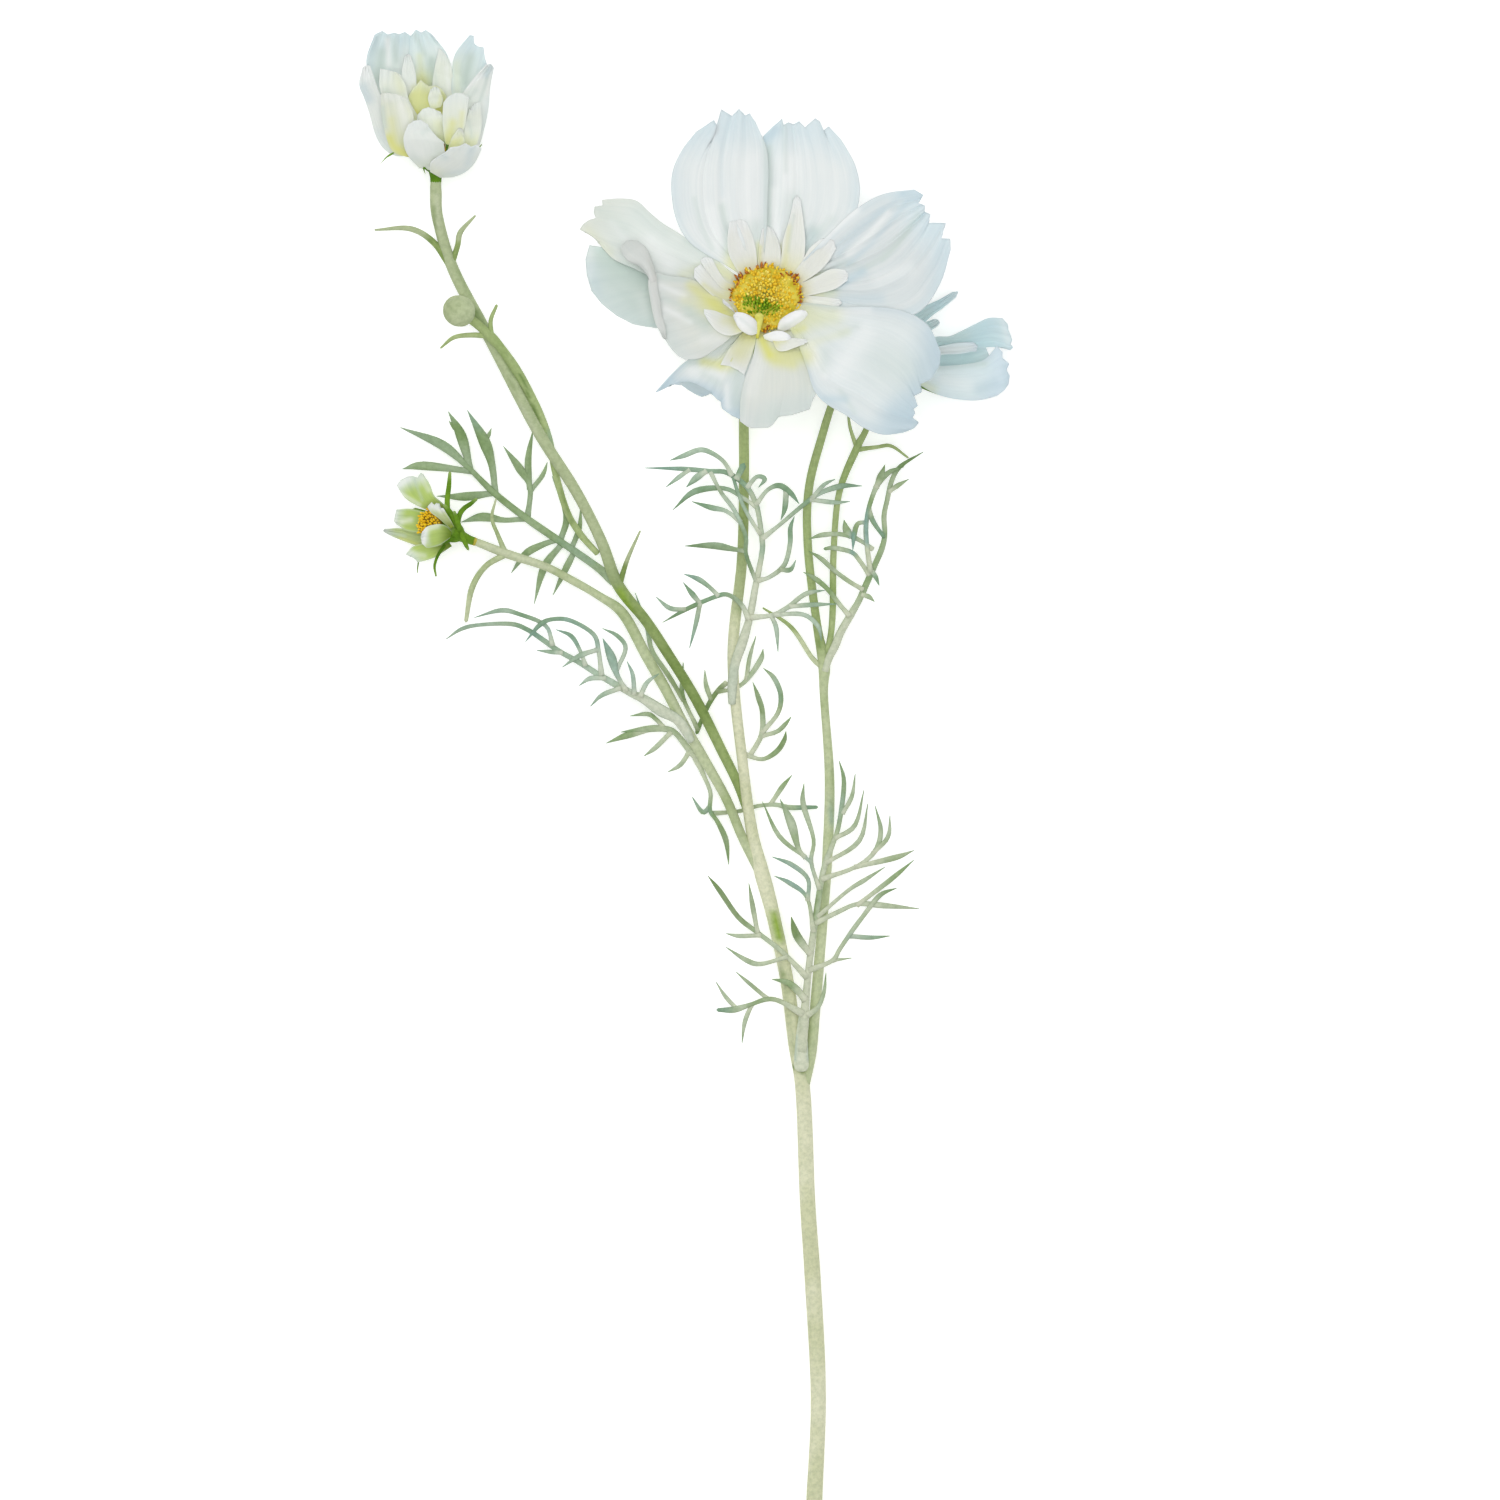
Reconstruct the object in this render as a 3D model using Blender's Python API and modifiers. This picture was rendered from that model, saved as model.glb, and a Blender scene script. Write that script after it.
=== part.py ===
"""A picked spray of white cosmos, lying on a table: one forked stem with an open bloom, two half-open
blooms, a small opening bloom, two closed buds and feathery leaves.

Every outline below is in millimetres: x across the spray, y along it from the cut end towards the
blooms, z up from the table. The model itself is in metres.
"""

import math

import bmesh
import bpy
from mathutils import Matrix, Vector

MM = 0.001
PETAL_THICKNESS = 0.6
MERGE_DISTANCE = 0.00001
CRUMB_FACES = 8
ARCH_HOLDS_FROM = 0.85
TIP_REACH = 4
SHIFT = Vector((28.33, -168.67, 0.0))

PETAL_WHITE = (0.86, 0.90, 0.91)
PETAL_BLUE = (0.66, 0.78, 0.81)
PETAL_CREAM = (0.86, 0.87, 0.76)
PETAL_GREEN = (0.72, 0.80, 0.52)
STEM_PALE = (0.62, 0.66, 0.45)
STEM_GREEN = (0.42, 0.54, 0.27)
LEAF_GREEN = (0.48, 0.60, 0.47)
SEPAL_GREEN = (0.28, 0.47, 0.12)
DISC_YELLOW = (0.80, 0.60, 0.09)
BUD_GREEN = (0.62, 0.68, 0.52)

PETAL_ROUGHNESS = 0.7
GREEN_ROUGHNESS = 0.75
DISC_ROUGHNESS = 0.8


# ---------------------------------------------------------------- scene and materials


def clear_scene():
    for old in list(bpy.data.objects):
        bpy.data.objects.remove(old, do_unlink=True)


def material(name, colour, roughness):
    made = bpy.data.materials.new(name)
    made.use_nodes = True
    shader = made.node_tree.nodes["Principled BSDF"]
    shader.inputs["Base Color"].default_value = (*colour, 1.0)
    shader.inputs["Roughness"].default_value = roughness
    shader.inputs["Metallic"].default_value = 0.0
    return made


def place(name, mesh, colour, roughness):
    """Adds the mesh to the spray as one named piece with its own material."""
    piece = bpy.data.objects.new(name, mesh)
    mesh.materials.clear()
    mesh.materials.append(material(name + "_look", colour, roughness))
    SPRAY.objects.link(piece)
    piece.parent = ROOT
    return piece


# ---------------------------------------------------------------- curves through points


def along(points, t):
    """The point at t (0 to 1) of a smooth curve through evenly timed points."""
    spans = len(points) - 1
    place_on = min(max(t, 0.0), 1.0) * spans
    first = min(int(place_on), spans - 1)
    f = place_on - first
    b, c = points[first], points[first + 1]
    a = points[first - 1] if first > 0 else tuple(2 * p - q for p, q in zip(b, c))
    d = points[first + 2] if first + 2 <= spans else tuple(2 * q - p for p, q in zip(b, c))
    result = []
    for pa, pb, pc, pd in zip(a, b, c, d):
        slope_b = (pc - pa) / 2
        slope_c = (pd - pb) / 2
        h = pc - pb
        second = 3 * h - 2 * slope_b - slope_c
        third = slope_b + slope_c - 2 * h
        result.append(pb + f * (slope_b + f * (second + f * third)))
    return tuple(result)


def straight(values, t):
    """Straight steps between evenly timed numbers."""
    spans = len(values) - 1
    place_on = min(max(t, 0.0), 1.0) * spans
    first = min(int(place_on), spans - 1)
    f = place_on - first
    return values[first] * (1 - f) + values[first + 1] * f


def spaced(points):
    """Re-times a curve's points so that equal steps cover about equal lengths."""
    lengths = [0.0]
    for p, q in zip(points, points[1:]):
        lengths.append(lengths[-1] + math.dist(p, q))
    count = max(len(points), 5)
    result = []
    for step in range(count):
        wanted = lengths[-1] * step / (count - 1)
        first = 0
        while first < len(points) - 2 and lengths[first + 1] < wanted:
            first += 1
        f = (wanted - lengths[first]) / max(lengths[first + 1] - lengths[first], 1e-9)
        result.append(along(points, (first + min(f, 1.0)) / (len(points) - 1)))
    return result


# ---------------------------------------------------------------- petals

MAIN_CENTRE = (-8.25, 300.0, 24.0)
MAIN_LEAN = 0.45
MAIN_CUP = 0.30


def main_cup(x, y):
    """The height of the open bloom's shallow cup, which leans back towards +y."""
    dx = x - MAIN_CENTRE[0]
    dy = y - MAIN_CENTRE[1]
    return MAIN_CENTRE[2] - MAIN_LEAN * dy + MAIN_CUP * math.hypot(dx, 1.1 * dy)


def petal(name, left, right, tip, z_left, z_right, arch=0.0, cup=None, colour=PETAL_WHITE, cells=(6, 6)):
    """A petal from its base to its toothed tip. left and right are its edges from base to tip, tip runs
    from the end of left to the end of right, and z_left and z_right are heights along the two edges."""
    across, length = cells
    left = spaced(left)
    right = spaced(right)
    mesh = bpy.data.meshes.new(name)
    grid = bpy.data.objects.new("grid", mesh)
    bpy.context.scene.collection.objects.link(grid)
    bm = bmesh.new()
    bmesh.ops.create_grid(bm, x_segments=across, y_segments=length, size=0.5)
    end_left = left[-1]
    end_right = right[-1]
    for vertex in bm.verts:
        u = vertex.co.x + 0.5
        v = vertex.co.y + 0.5
        lx, ly = along(left, v)
        rx, ry = along(right, v)
        tx = straight([p[0] for p in tip], u) - (end_left[0] * (1 - u) + end_right[0] * u)
        ty = straight([p[1] for p in tip], u) - (end_left[1] * (1 - u) + end_right[1] * u)
        pull = v**TIP_REACH
        x = lx * (1 - u) + rx * u + tx * pull
        y = ly * (1 - u) + ry * u + ty * pull
        z = straight(z_left, v) * (1 - u) + straight(z_right, v) * u
        z += arch * 4 * u * (1 - u) * math.sin(math.pi * min(v, ARCH_HOLDS_FROM))
        if cup:
            z += cup(x, y)
        vertex.co = Vector((x, y, z)) * MM
    bm.to_mesh(mesh)
    bm.free()
    bpy.data.objects.remove(grid)
    piece = place(name, mesh, colour, PETAL_ROUGHNESS)
    shell = piece.modifiers.new("thickness", "SOLIDIFY")
    shell.thickness = PETAL_THICKNESS * MM
    shell.offset = 0.0
    return piece


# ---------------------------------------------------------------- stems, leaves and calyxes


def tubes_to_mesh(name, strands, level, flat, steps):
    """One mesh of tapered tubes. Each strand is a list of (x, y, z, width)."""
    curve = bpy.data.curves.new(name, "CURVE")
    curve.dimensions = "3D"
    curve.bevel_depth = MM
    curve.bevel_resolution = level
    curve.resolution_u = steps
    curve.use_fill_caps = True
    for strand in strands:
        spline = curve.splines.new("BEZIER")
        spline.resolution_u = 1 if len(strand) > steps + 2 else 2
        spline.bezier_points.add(len(strand) - 1)
        for point, (x, y, z, width) in zip(spline.bezier_points, strand):
            point.co = Vector((x, y, z / flat)) * MM
            point.radius = width / 2
            point.handle_left_type = "AUTO"
            point.handle_right_type = "AUTO"
    tubes = bpy.data.objects.new(name + "_tubes", curve)
    bpy.context.scene.collection.objects.link(tubes)
    bpy.context.view_layer.update()
    mesh = bpy.data.meshes.new_from_object(tubes.evaluated_get(bpy.context.evaluated_depsgraph_get()))
    bpy.data.objects.remove(tubes)
    bm = bmesh.new()
    bm.from_mesh(mesh)
    bmesh.ops.remove_doubles(bm, verts=bm.verts, dist=MERGE_DISTANCE)
    for vertex in bm.verts:
        vertex.co.z *= flat
    bmesh.ops.recalc_face_normals(bm, faces=bm.faces)
    bm.to_mesh(mesh)
    bm.free()
    return mesh


def drop_crumbs(mesh):
    """Removes the loose pairs of faces that a union can leave where two tubes just touch."""
    bm = bmesh.new()
    bm.from_mesh(mesh)
    bm.faces.ensure_lookup_table()
    unseen = set(bm.faces)
    while unseen:
        island = [unseen.pop()]
        for face in island:
            for edge in face.edges:
                for other in edge.link_faces:
                    if other in unseen:
                        unseen.remove(other)
                        island.append(other)
        if len(island) < CRUMB_FACES:
            bmesh.ops.delete(bm, geom=island, context="FACES")
    loose = [vertex for vertex in bm.verts if not vertex.link_faces]
    bmesh.ops.delete(bm, geom=loose, context="VERTS")
    bm.to_mesh(mesh)
    bm.free()


def grow(name, strands, colour, level=0, flat=1.0, steps=2):
    """Grows all the strands together into one solid."""
    body = bpy.data.objects.new(name + "_body", tubes_to_mesh(name, strands[:1], level, flat, steps))
    bpy.context.scene.collection.objects.link(body)
    helpers = [body]
    if len(strands) > 1:
        rest = bpy.data.objects.new(name + "_rest", tubes_to_mesh(name, strands[1:], level, flat, steps))
        bpy.context.scene.collection.objects.link(rest)
        helpers.append(rest)
        join = body.modifiers.new("join", "BOOLEAN")
        join.operation = "UNION"
        join.solver = "EXACT"
        join.use_self = True
        join.object = rest
    bpy.context.view_layer.update()
    mesh = bpy.data.meshes.new_from_object(body.evaluated_get(bpy.context.evaluated_depsgraph_get()))
    mesh.name = name
    drop_crumbs(mesh)
    for helper in helpers:
        bpy.data.objects.remove(helper)
    return place(name, mesh, colour, GREEN_ROUGHNESS)


def leaf(name, strands, colour=LEAF_GREEN):
    """A leaf of flat strands. Each is (z at its start, z at its end, (x, y, width), ...)."""
    tubes = []
    for z_start, z_end, *points in strands:
        last = len(points) - 1
        tube = []
        for index, (x, y, width) in enumerate(points):
            tube.append((x, y, z_start + (z_end - z_start) * index / last, width))
        tubes.append(tube)
    return grow(name, tubes, colour, level=0, flat=0.62, steps=2)


def turned(name, profile, at, axis, colour, steps=12):
    """A solid turned from a (radius, height) profile, standing at a point along an axis."""
    mesh = bpy.data.meshes.new(name)
    points = [(radius * MM, 0.0, height * MM) for radius, height in profile]
    mesh.from_pydata(points, [(i, i + 1) for i in range(len(points) - 1)], [])
    piece = place(name, mesh, colour, DISC_ROUGHNESS)
    screw = piece.modifiers.new("turn", "SCREW")
    screw.steps = steps
    screw.render_steps = steps
    screw.use_merge_vertices = True
    screw.merge_threshold = MERGE_DISTANCE
    screw.use_normal_calculate = True
    turn = Vector((0, 0, 1)).rotation_difference(Vector(axis)).to_matrix().to_4x4()
    piece.matrix_local = Matrix.Translation(Vector(at) * MM) @ turn
    return piece


def calyx(name, base, axis, core, sepals, colour=SEPAL_GREEN):
    """A calyx: a turned core of (distance along the axis, width), with sepals grown out of it."""
    direction = Vector(axis).normalized()
    tube = []
    for distance, width in core:
        point = Vector(base) + direction * distance
        tube.append((point.x, point.y, point.z, width))
    return grow(name, [tube] + sepals, colour, level=2, flat=1.0, steps=2)


def ring_of_sepals(base, axis, count, rise, reach, width, start=0.0):
    """Pointed sepals round an axis, from the core outwards."""
    direction = Vector(axis).normalized()
    side = direction.cross(Vector((1, 0, 0))).normalized()
    other = direction.cross(side)
    sepals = []
    for index in range(count):
        angle = start + 2 * math.pi * index / count
        out = side * math.cos(angle) + other * math.sin(angle)
        points = [Vector(base) + direction * rise[0], None, None]
        points[1] = Vector(base) + direction * rise[1] + out * reach * 0.55
        points[2] = Vector(base) + direction * rise[2] + out * reach
        sepals.append([(*points[0], width), (*points[1], width), (*points[2], 0.6)])
    return sepals


def bud(name, centre, radius, axis):
    """A round closed bud, a little taller than wide."""
    bpy.ops.mesh.primitive_uv_sphere_add(segments=14, ring_count=9, radius=radius * MM)
    made = bpy.context.object
    mesh = made.data
    bpy.data.objects.remove(made)
    mesh.name = name
    piece = place(name, mesh, BUD_GREEN, PETAL_ROUGHNESS)
    turn = Vector((0, 0, 1)).rotation_difference(Vector(axis)).to_matrix().to_4x4()
    taller = Matrix.Diagonal((1.0, 1.0, 1.06, 1.0))
    piece.matrix_local = Matrix.Translation(Vector(centre) * MM) @ turn @ taller
    return piece


# ---------------------------------------------------------------- the pieces


def make_stems():
    main = [
        (2.4, -30.0, 2.2, 4.4), (3.6, 0.0, 2.8, 4.1), (4.6, 26.0, 3.4, 3.8), (3.2, 55.0, 4.0, 4.0),
        (1.9, 74.5, 4.6, 3.8), (0.8, 101.5, 5.3, 3.8), (-1.2, 114.0, 5.5, 3.5), (-3.2, 129.5, 5.8, 3.4),
        (-6.8, 146.5, 6.2, 3.4), (-9.6, 157.0, 6.5, 3.8), (-12.0, 167.0, 6.8, 3.0),
        (-14.0, 181.5, 7.0, 2.7), (-16.8, 210.0, 7.0, 2.7), (-14.5, 235.0, 6.6, 2.6),
        (-14.0, 256.0, 4.6, 2.5), (-14.0, 272.0, 2.0, 2.5), (-13.2, 282.0, 1.35, 2.5),
        (-10.8, 290.2, 4.2, 2.5), (-8.8, 294.6, 11.2, 2.6),
    ]
    grow("stem_main", [main], STEM_PALE, level=2, steps=2)

    right = [
        (3.1, 112.6, 5.6, 2.2), (3.9, 123.0, 5.9, 2.6), (5.5, 142.8, 6.3, 2.5), (6.8, 160.0, 6.6, 2.5),
        (7.4, 180.0, 6.9, 2.4), (6.0, 201.0, 7.0, 2.1), (6.0, 209.0, 7.0, 3.0), (4.2, 219.2, 7.2, 2.1),
        (2.0, 238.0, 7.6, 2.1), (2.2, 252.8, 8.2, 2.1), (5.8, 267.0, 9.6, 2.1), (8.8, 276.5, 11.0, 1.9),
    ]
    node_bract = [
        (6.0, 208.0, 7.0, 1.6), (3.0, 210.6, 6.6, 1.2), (-2.2, 218.2, 6.4, 1.1), (-9.2, 223.0, 6.2, 0.5),
    ]
    grow("stem_right", [right, node_bract], STEM_PALE, level=2, steps=2)

    back = [
        (7.6, 215.6, 7.6, 1.6), (8.2, 223.0, 7.9, 1.7), (8.4, 237.0, 8.2, 1.6), (9.8, 251.8, 8.8, 1.6),
        (14.2, 263.0, 9.8, 1.9), (16.5, 267.5, 10.4, 1.6), (20.5, 277.0, 12.2, 1.6),
        (23.0, 281.5, 13.4, 1.8),
    ]
    back_bracts = [
        [(14.2, 262.6, 9.8, 1.4), (19.0, 263.2, 9.8, 1.0), (22.8, 263.5, 9.6, 0.9),
         (27.0, 260.6, 9.2, 0.5)],
        [(14.2, 263.0, 9.8, 1.2), (12.6, 267.8, 10.0, 0.9), (12.0, 271.5, 10.4, 0.5)],
    ]
    grow("stem_back_bloom", [back] + back_bracts, STEM_GREEN, level=2, steps=2)

    upper = [
        (-15.6, 179.2, 4.0, 2.2), (-19.5, 187.2, 4.6, 2.6), (-26.2, 200.5, 5.9, 2.6),
        (-32.8, 211.2, 6.7, 2.6), (-38.5, 219.8, 7.4, 2.6), (-45.5, 228.8, 8.0, 3.0),
        (-49.8, 240.0, 8.4, 2.8), (-56.2, 252.5, 8.8, 2.8), (-66.0, 268.0, 9.3, 2.8),
        (-77.5, 290.2, 10.6, 2.9), (-86.5, 307.2, 12.0, 2.9), (-90.5, 320.2, 13.2, 2.9),
        (-91.0, 327.0, 13.8, 2.9),
    ]
    upper_bracts = [
        [(-45.2, 228.6, 8.0, 1.6), (-43.2, 235.0, 8.6, 1.1), (-40.0, 242.2, 9.2, 0.5)],
        [(-87.6, 308.6, 12.2, 1.6), (-91.6, 314.4, 12.6, 1.1), (-97.5, 317.8, 12.4, 1.0),
         (-106.2, 317.5, 11.2, 0.5)],
        [(-87.2, 308.6, 12.2, 1.6), (-85.6, 313.5, 12.8, 1.1), (-84.8, 317.0, 13.2, 1.0),
         (-81.2, 321.0, 13.6, 0.5)],
    ]
    grow("stem_upper_bloom", [upper] + upper_bracts, STEM_GREEN, level=2, steps=2)

    bud_stem = [
        (-52.2, 238.4, 7.4, 1.3), (-55.6, 242.2, 7.0, 1.5), (-58.4, 247.5, 6.6, 1.4),
        (-61.4, 257.0, 6.0, 1.4), (-63.4, 262.4, 6.1, 1.4), (-64.9, 271.5, 6.7, 1.4),
        (-67.0, 277.6, 8.0, 1.4), (-70.6, 283.4, 10.2, 1.4), (-74.8, 288.4, 12.9, 1.5),
        (-77.2, 290.8, 13.9, 2.0), (-81.0, 293.9, 14.0, 1.5),
    ]
    bud_bracts = [
        [(-77.4, 290.9, 13.9, 1.4), (-82.0, 291.6, 13.6, 1.0), (-86.5, 290.8, 12.6, 0.9),
         (-89.8, 288.0, 11.4, 0.5)],
        [(-77.0, 290.8, 14.0, 1.2), (-77.4, 294.8, 14.4, 1.0), (-75.8, 298.5, 14.8, 0.5)],
    ]
    grow("stem_bud", [bud_stem] + bud_bracts, STEM_GREEN, level=2, steps=2)

    small = [
        (-15.0, 166.2, 7.2, 1.9), (-18.4, 175.2, 7.5, 2.4), (-24.0, 185.2, 7.8, 2.6),
        (-29.0, 193.8, 8.0, 2.6), (-33.5, 202.5, 8.2, 2.6), (-38.5, 211.2, 8.6, 2.7),
        (-44.2, 221.5, 9.4, 2.6), (-50.2, 226.0, 10.0, 2.1), (-57.5, 230.2, 10.6, 2.0),
        (-64.0, 233.5, 11.0, 2.0), (-73.2, 236.5, 11.6, 2.2), (-81.2, 239.6, 12.0, 2.0),
    ]
    small_bracts = [
        [(-73.6, 236.6, 11.6, 1.5), (-75.4, 241.0, 12.4, 1.1), (-77.0, 245.5, 13.0, 0.9),
         (-76.0, 250.2, 13.4, 0.5)],
        [(-73.6, 236.6, 11.6, 1.5), (-78.5, 234.0, 11.4, 1.2), (-82.2, 228.2, 10.6, 1.1),
         (-83.5, 219.8, 9.4, 0.5)],
    ]
    grow("stem_small_bloom", [small] + small_bracts, STEM_PALE, level=2, steps=2)


def make_main_bloom():
    white = dict(cup=main_cup, colour=PETAL_WHITE)
    petal(
        "open_petal_top_left",
        [(-14.0, 309.0), (-24.0, 312.0), (-30.8, 320.0), (-32.0, 331.0), (-29.8, 337.2), (-26.0, 341.8)],
        [(-8.6, 310.6), (-9.6, 318.0), (-7.8, 328.0), (-8.0, 336.0), (-9.2, 341.0), (-11.2, 344.2)],
        [(-26.0, 341.8), (-21.5, 344.8), (-19.8, 342.2), (-19.0, 347.5), (-17.0, 345.8), (-15.5, 347.5),
         (-13.8, 346.0), (-12.5, 346.5), (-11.2, 344.2)],
        [3.0, 3.0, 2.4], [3.0, 2.6, 2.4], arch=0.8, **white,
    )
    petal(
        "open_petal_top_right",
        [(-7.6, 310.4), (-11.5, 322.0), (-11.0, 334.0), (-9.2, 340.8)],
        [(-2.4, 309.6), (6.0, 315.0), (14.0, 321.0), (14.9, 329.2), (13.2, 335.0), (10.2, 340.0)],
        [(-9.2, 340.8), (-4.5, 345.2), (-4.2, 343.8), (-0.2, 344.5), (1.2, 343.0), (4.0, 345.2),
         (5.5, 342.2), (7.2, 343.2), (10.2, 340.0)],
        [0.8, 0.2, 0.0], [0.8, 0.2, 0.0], arch=-0.4, **white,
    )
    petal(
        "open_petal_right_upper",
        [(-0.8, 307.8), (6.0, 315.0), (14.2, 322.6), (21.8, 326.5), (28.5, 327.2)],
        [(1.4, 302.4), (10.0, 297.5), (22.0, 294.5), (30.0, 297.0), (35.0, 304.0), (37.5, 312.2)],
        [(28.5, 327.2), (30.8, 326.0), (29.5, 324.0), (31.2, 323.2), (32.5, 321.2), (32.0, 319.2),
         (36.2, 319.0), (35.2, 315.2), (37.5, 312.2)],
        [2.4, 2.2, 2.0], [2.4, 1.6, 1.0], **white,
    )
    petal(
        "open_petal_right_lower",
        [(1.8, 299.6), (9.8, 297.8), (17.8, 298.0), (25.5, 297.0), (31.5, 293.4), (35.0, 287.5)],
        [(-0.8, 294.2), (0.6, 286.0), (3.4, 277.0), (8.8, 272.2), (17.5, 266.5), (25.2, 266.2)],
        [(35.0, 287.5), (34.5, 284.2), (32.8, 279.8), (29.8, 278.5), (30.2, 276.8), (28.2, 275.5),
         (29.2, 273.2), (28.0, 270.2), (29.5, 269.0), (28.5, 267.5), (25.2, 266.2)],
        [4.4, 4.4, 2.0], [4.4, 3.6, -3.0], arch=2.0, **white,
    )
    petal(
        "open_petal_bottom",
        [(-10.8, 290.0), (-12.6, 282.2), (-14.8, 276.2), (-15.0, 269.4)],
        [(-3.8, 290.6), (0.8, 285.4), (4.0, 279.6), (4.6, 274.7)],
        [(-15.0, 269.4), (-11.5, 267.8), (-8.0, 267.8), (-6.5, 268.8), (-5.2, 270.5), (-1.2, 271.2),
         (2.5, 272.5), (4.6, 274.7)],
        [2.6, 2.2, 0.6], [2.6, 1.6, 0.0], arch=0.5, **white,
    )
    petal(
        "open_petal_bottom_left",
        [(-15.0, 292.2), (-23.0, 287.4), (-30.0, 283.4), (-36.0, 276.5)],
        [(-11.4, 290.8), (-11.6, 284.0), (-12.4, 277.0), (-14.4, 269.6)],
        [(-36.0, 276.5), (-34.0, 277.8), (-31.8, 278.5), (-28.0, 277.2), (-24.5, 275.5), (-21.8, 276.0),
         (-19.8, 272.5), (-14.4, 269.6)],
        [0.2, 0.0, -1.0], [0.2, 0.0, -1.6], **white,
    )
    petal(
        "open_petal_left_lower",
        [(-18.2, 301.2), (-24.0, 304.6), (-31.0, 307.4), (-37.6, 311.4), (-40.8, 314.4), (-44.5, 311.6)],
        [(-15.6, 293.4), (-18.4, 289.4), (-22.6, 286.0), (-25.6, 284.5), (-28.8, 284.8)],
        [(-44.5, 311.6), (-40.4, 308.2), (-37.4, 303.0), (-36.8, 298.8), (-36.0, 294.5), (-34.5, 291.0),
         (-31.8, 287.2), (-28.8, 284.8)],
        [4.8, 4.8, 6.8], [4.8, 4.0, 2.6], arch=1.4, **white,
    )
    petal(
        "open_petal_left_upper",
        [(-17.4, 305.8), (-23.0, 311.8), (-30.0, 315.8), (-36.2, 320.2), (-41.0, 324.8), (-49.5, 324.8)],
        [(-18.8, 302.6), (-26.0, 303.0), (-36.0, 304.6), (-42.0, 307.6), (-47.8, 311.5)],
        [(-49.5, 324.8), (-49.0, 323.2), (-51.5, 323.0), (-51.0, 320.0), (-52.8, 319.5), (-55.0, 317.2),
         (-51.0, 315.0), (-50.5, 314.2), (-47.8, 311.5)],
        [2.6, 2.4, 2.0], [2.6, 2.4, 2.2], **white,
    )
    petal(
        "open_petal_left",
        [(-18.6, 303.6), (-35.0, 310.0), (-48.0, 313.4), (-52.5, 313.5)],
        [(-17.2, 298.0), (-24.0, 294.5), (-30.0, 293.0), (-36.0, 292.8)],
        [(-52.5, 313.5), (-53.5, 310.2), (-53.0, 305.8), (-51.0, 300.8), (-47.8, 296.8), (-43.2, 294.0),
         (-36.0, 292.8)],
        [-0.2, 0.0, -0.6], [-0.2, -0.4, -1.6], **white,
    )
    short = dict(cup=main_cup, colour=PETAL_CREAM, cells=(4, 4))
    petal(
        "inner_petal_left",
        [(-19.0, 303.0), (-23.0, 308.0), (-25.6, 311.2)], [(-20.6, 299.6), (-24.4, 303.4), (-26.4, 309.0)],
        [(-25.6, 311.2), (-26.4, 309.0)], [8.0, 8.6, 8.6], [8.0, 8.6, 8.6], **short,
    )
    petal(
        "inner_petal_left_low",
        [(-19.8, 293.6), (-24.0, 297.0), (-25.6, 300.0)], [(-17.2, 289.0), (-22.0, 290.4), (-24.8, 294.0)],
        [(-25.6, 300.0), (-25.4, 297.6), (-24.8, 294.0)], [8.4, 9.0, 9.0], [8.4, 9.0, 9.0], **short,
    )
    petal(
        "inner_petal_top_left",
        [(-17.4, 311.4), (-18.4, 315.6), (-17.6, 319.4)], [(-11.6, 312.6), (-11.4, 316.6), (-12.6, 319.4)],
        [(-17.6, 319.4), (-16.2, 320.2), (-14.2, 319.0), (-12.6, 319.4)], [6.8, 6.8, 6.6],
         [6.8, 6.8, 6.6], **short,
    )
    petal(
        "inner_petal_top",
        [(-7.2, 313.0), (-6.4, 318.0), (-1.8, 325.6)], [(1.0, 310.8), (1.6, 316.0), (0.2, 325.2)],
        [(-1.8, 325.6), (-0.8, 326.2), (0.2, 325.2)], [5.4, 5.2, 5.0], [5.4, 5.2, 5.0], **short,
    )
    petal(
        "inner_petal_right",
        [(2.6, 309.0), (7.0, 312.6), (12.4, 309.6)], [(4.6, 302.8), (9.4, 302.2), (13.2, 306.0)],
        [(12.4, 309.6), (13.4, 308.4), (13.2, 306.0)], [6.6, 6.6, 6.4], [6.6, 6.4, 6.4], **short,
    )
    petal(
        "inner_petal_bottom",
        [(-16.4, 288.6), (-19.0, 285.0), (-18.4, 281.6)], [(-12.0, 286.6), (-11.4, 284.0), (-12.8, 280.6)],
        [(-18.4, 281.6), (-15.8, 280.6), (-12.8, 280.6)], [6.4, 6.2, 5.6], [6.4, 6.2, 5.8], **short,
    )
    axis = (0.0, MAIN_LEAN, 1.0)
    disc_foot = (-8.5, 298.1, 22.9)
    turned(
        "open_disc",
        [(0.0, 0.0), (6.0, 0.0), (7.6, 2.6), (9.5, 5.4), (9.5, 6.8), (6.6, 7.6), (3.0, 6.2), (0.0, 5.6)],
        disc_foot, axis, DISC_YELLOW, steps=16,
    )
    foot = (MAIN_CENTRE[0], MAIN_CENTRE[1] - 4.6, MAIN_CENTRE[2] - 11.0)
    calyx(
        "open_calyx", foot, axis, [(0.0, 2.8), (2.4, 4.0), (5.0, 8.6), (7.6, 10.2), (9.0, 10.2)],
        ring_of_sepals(foot, axis, 8, (5.0, 6.0, 4.6), 12.0, 2.6),
    )


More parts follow.
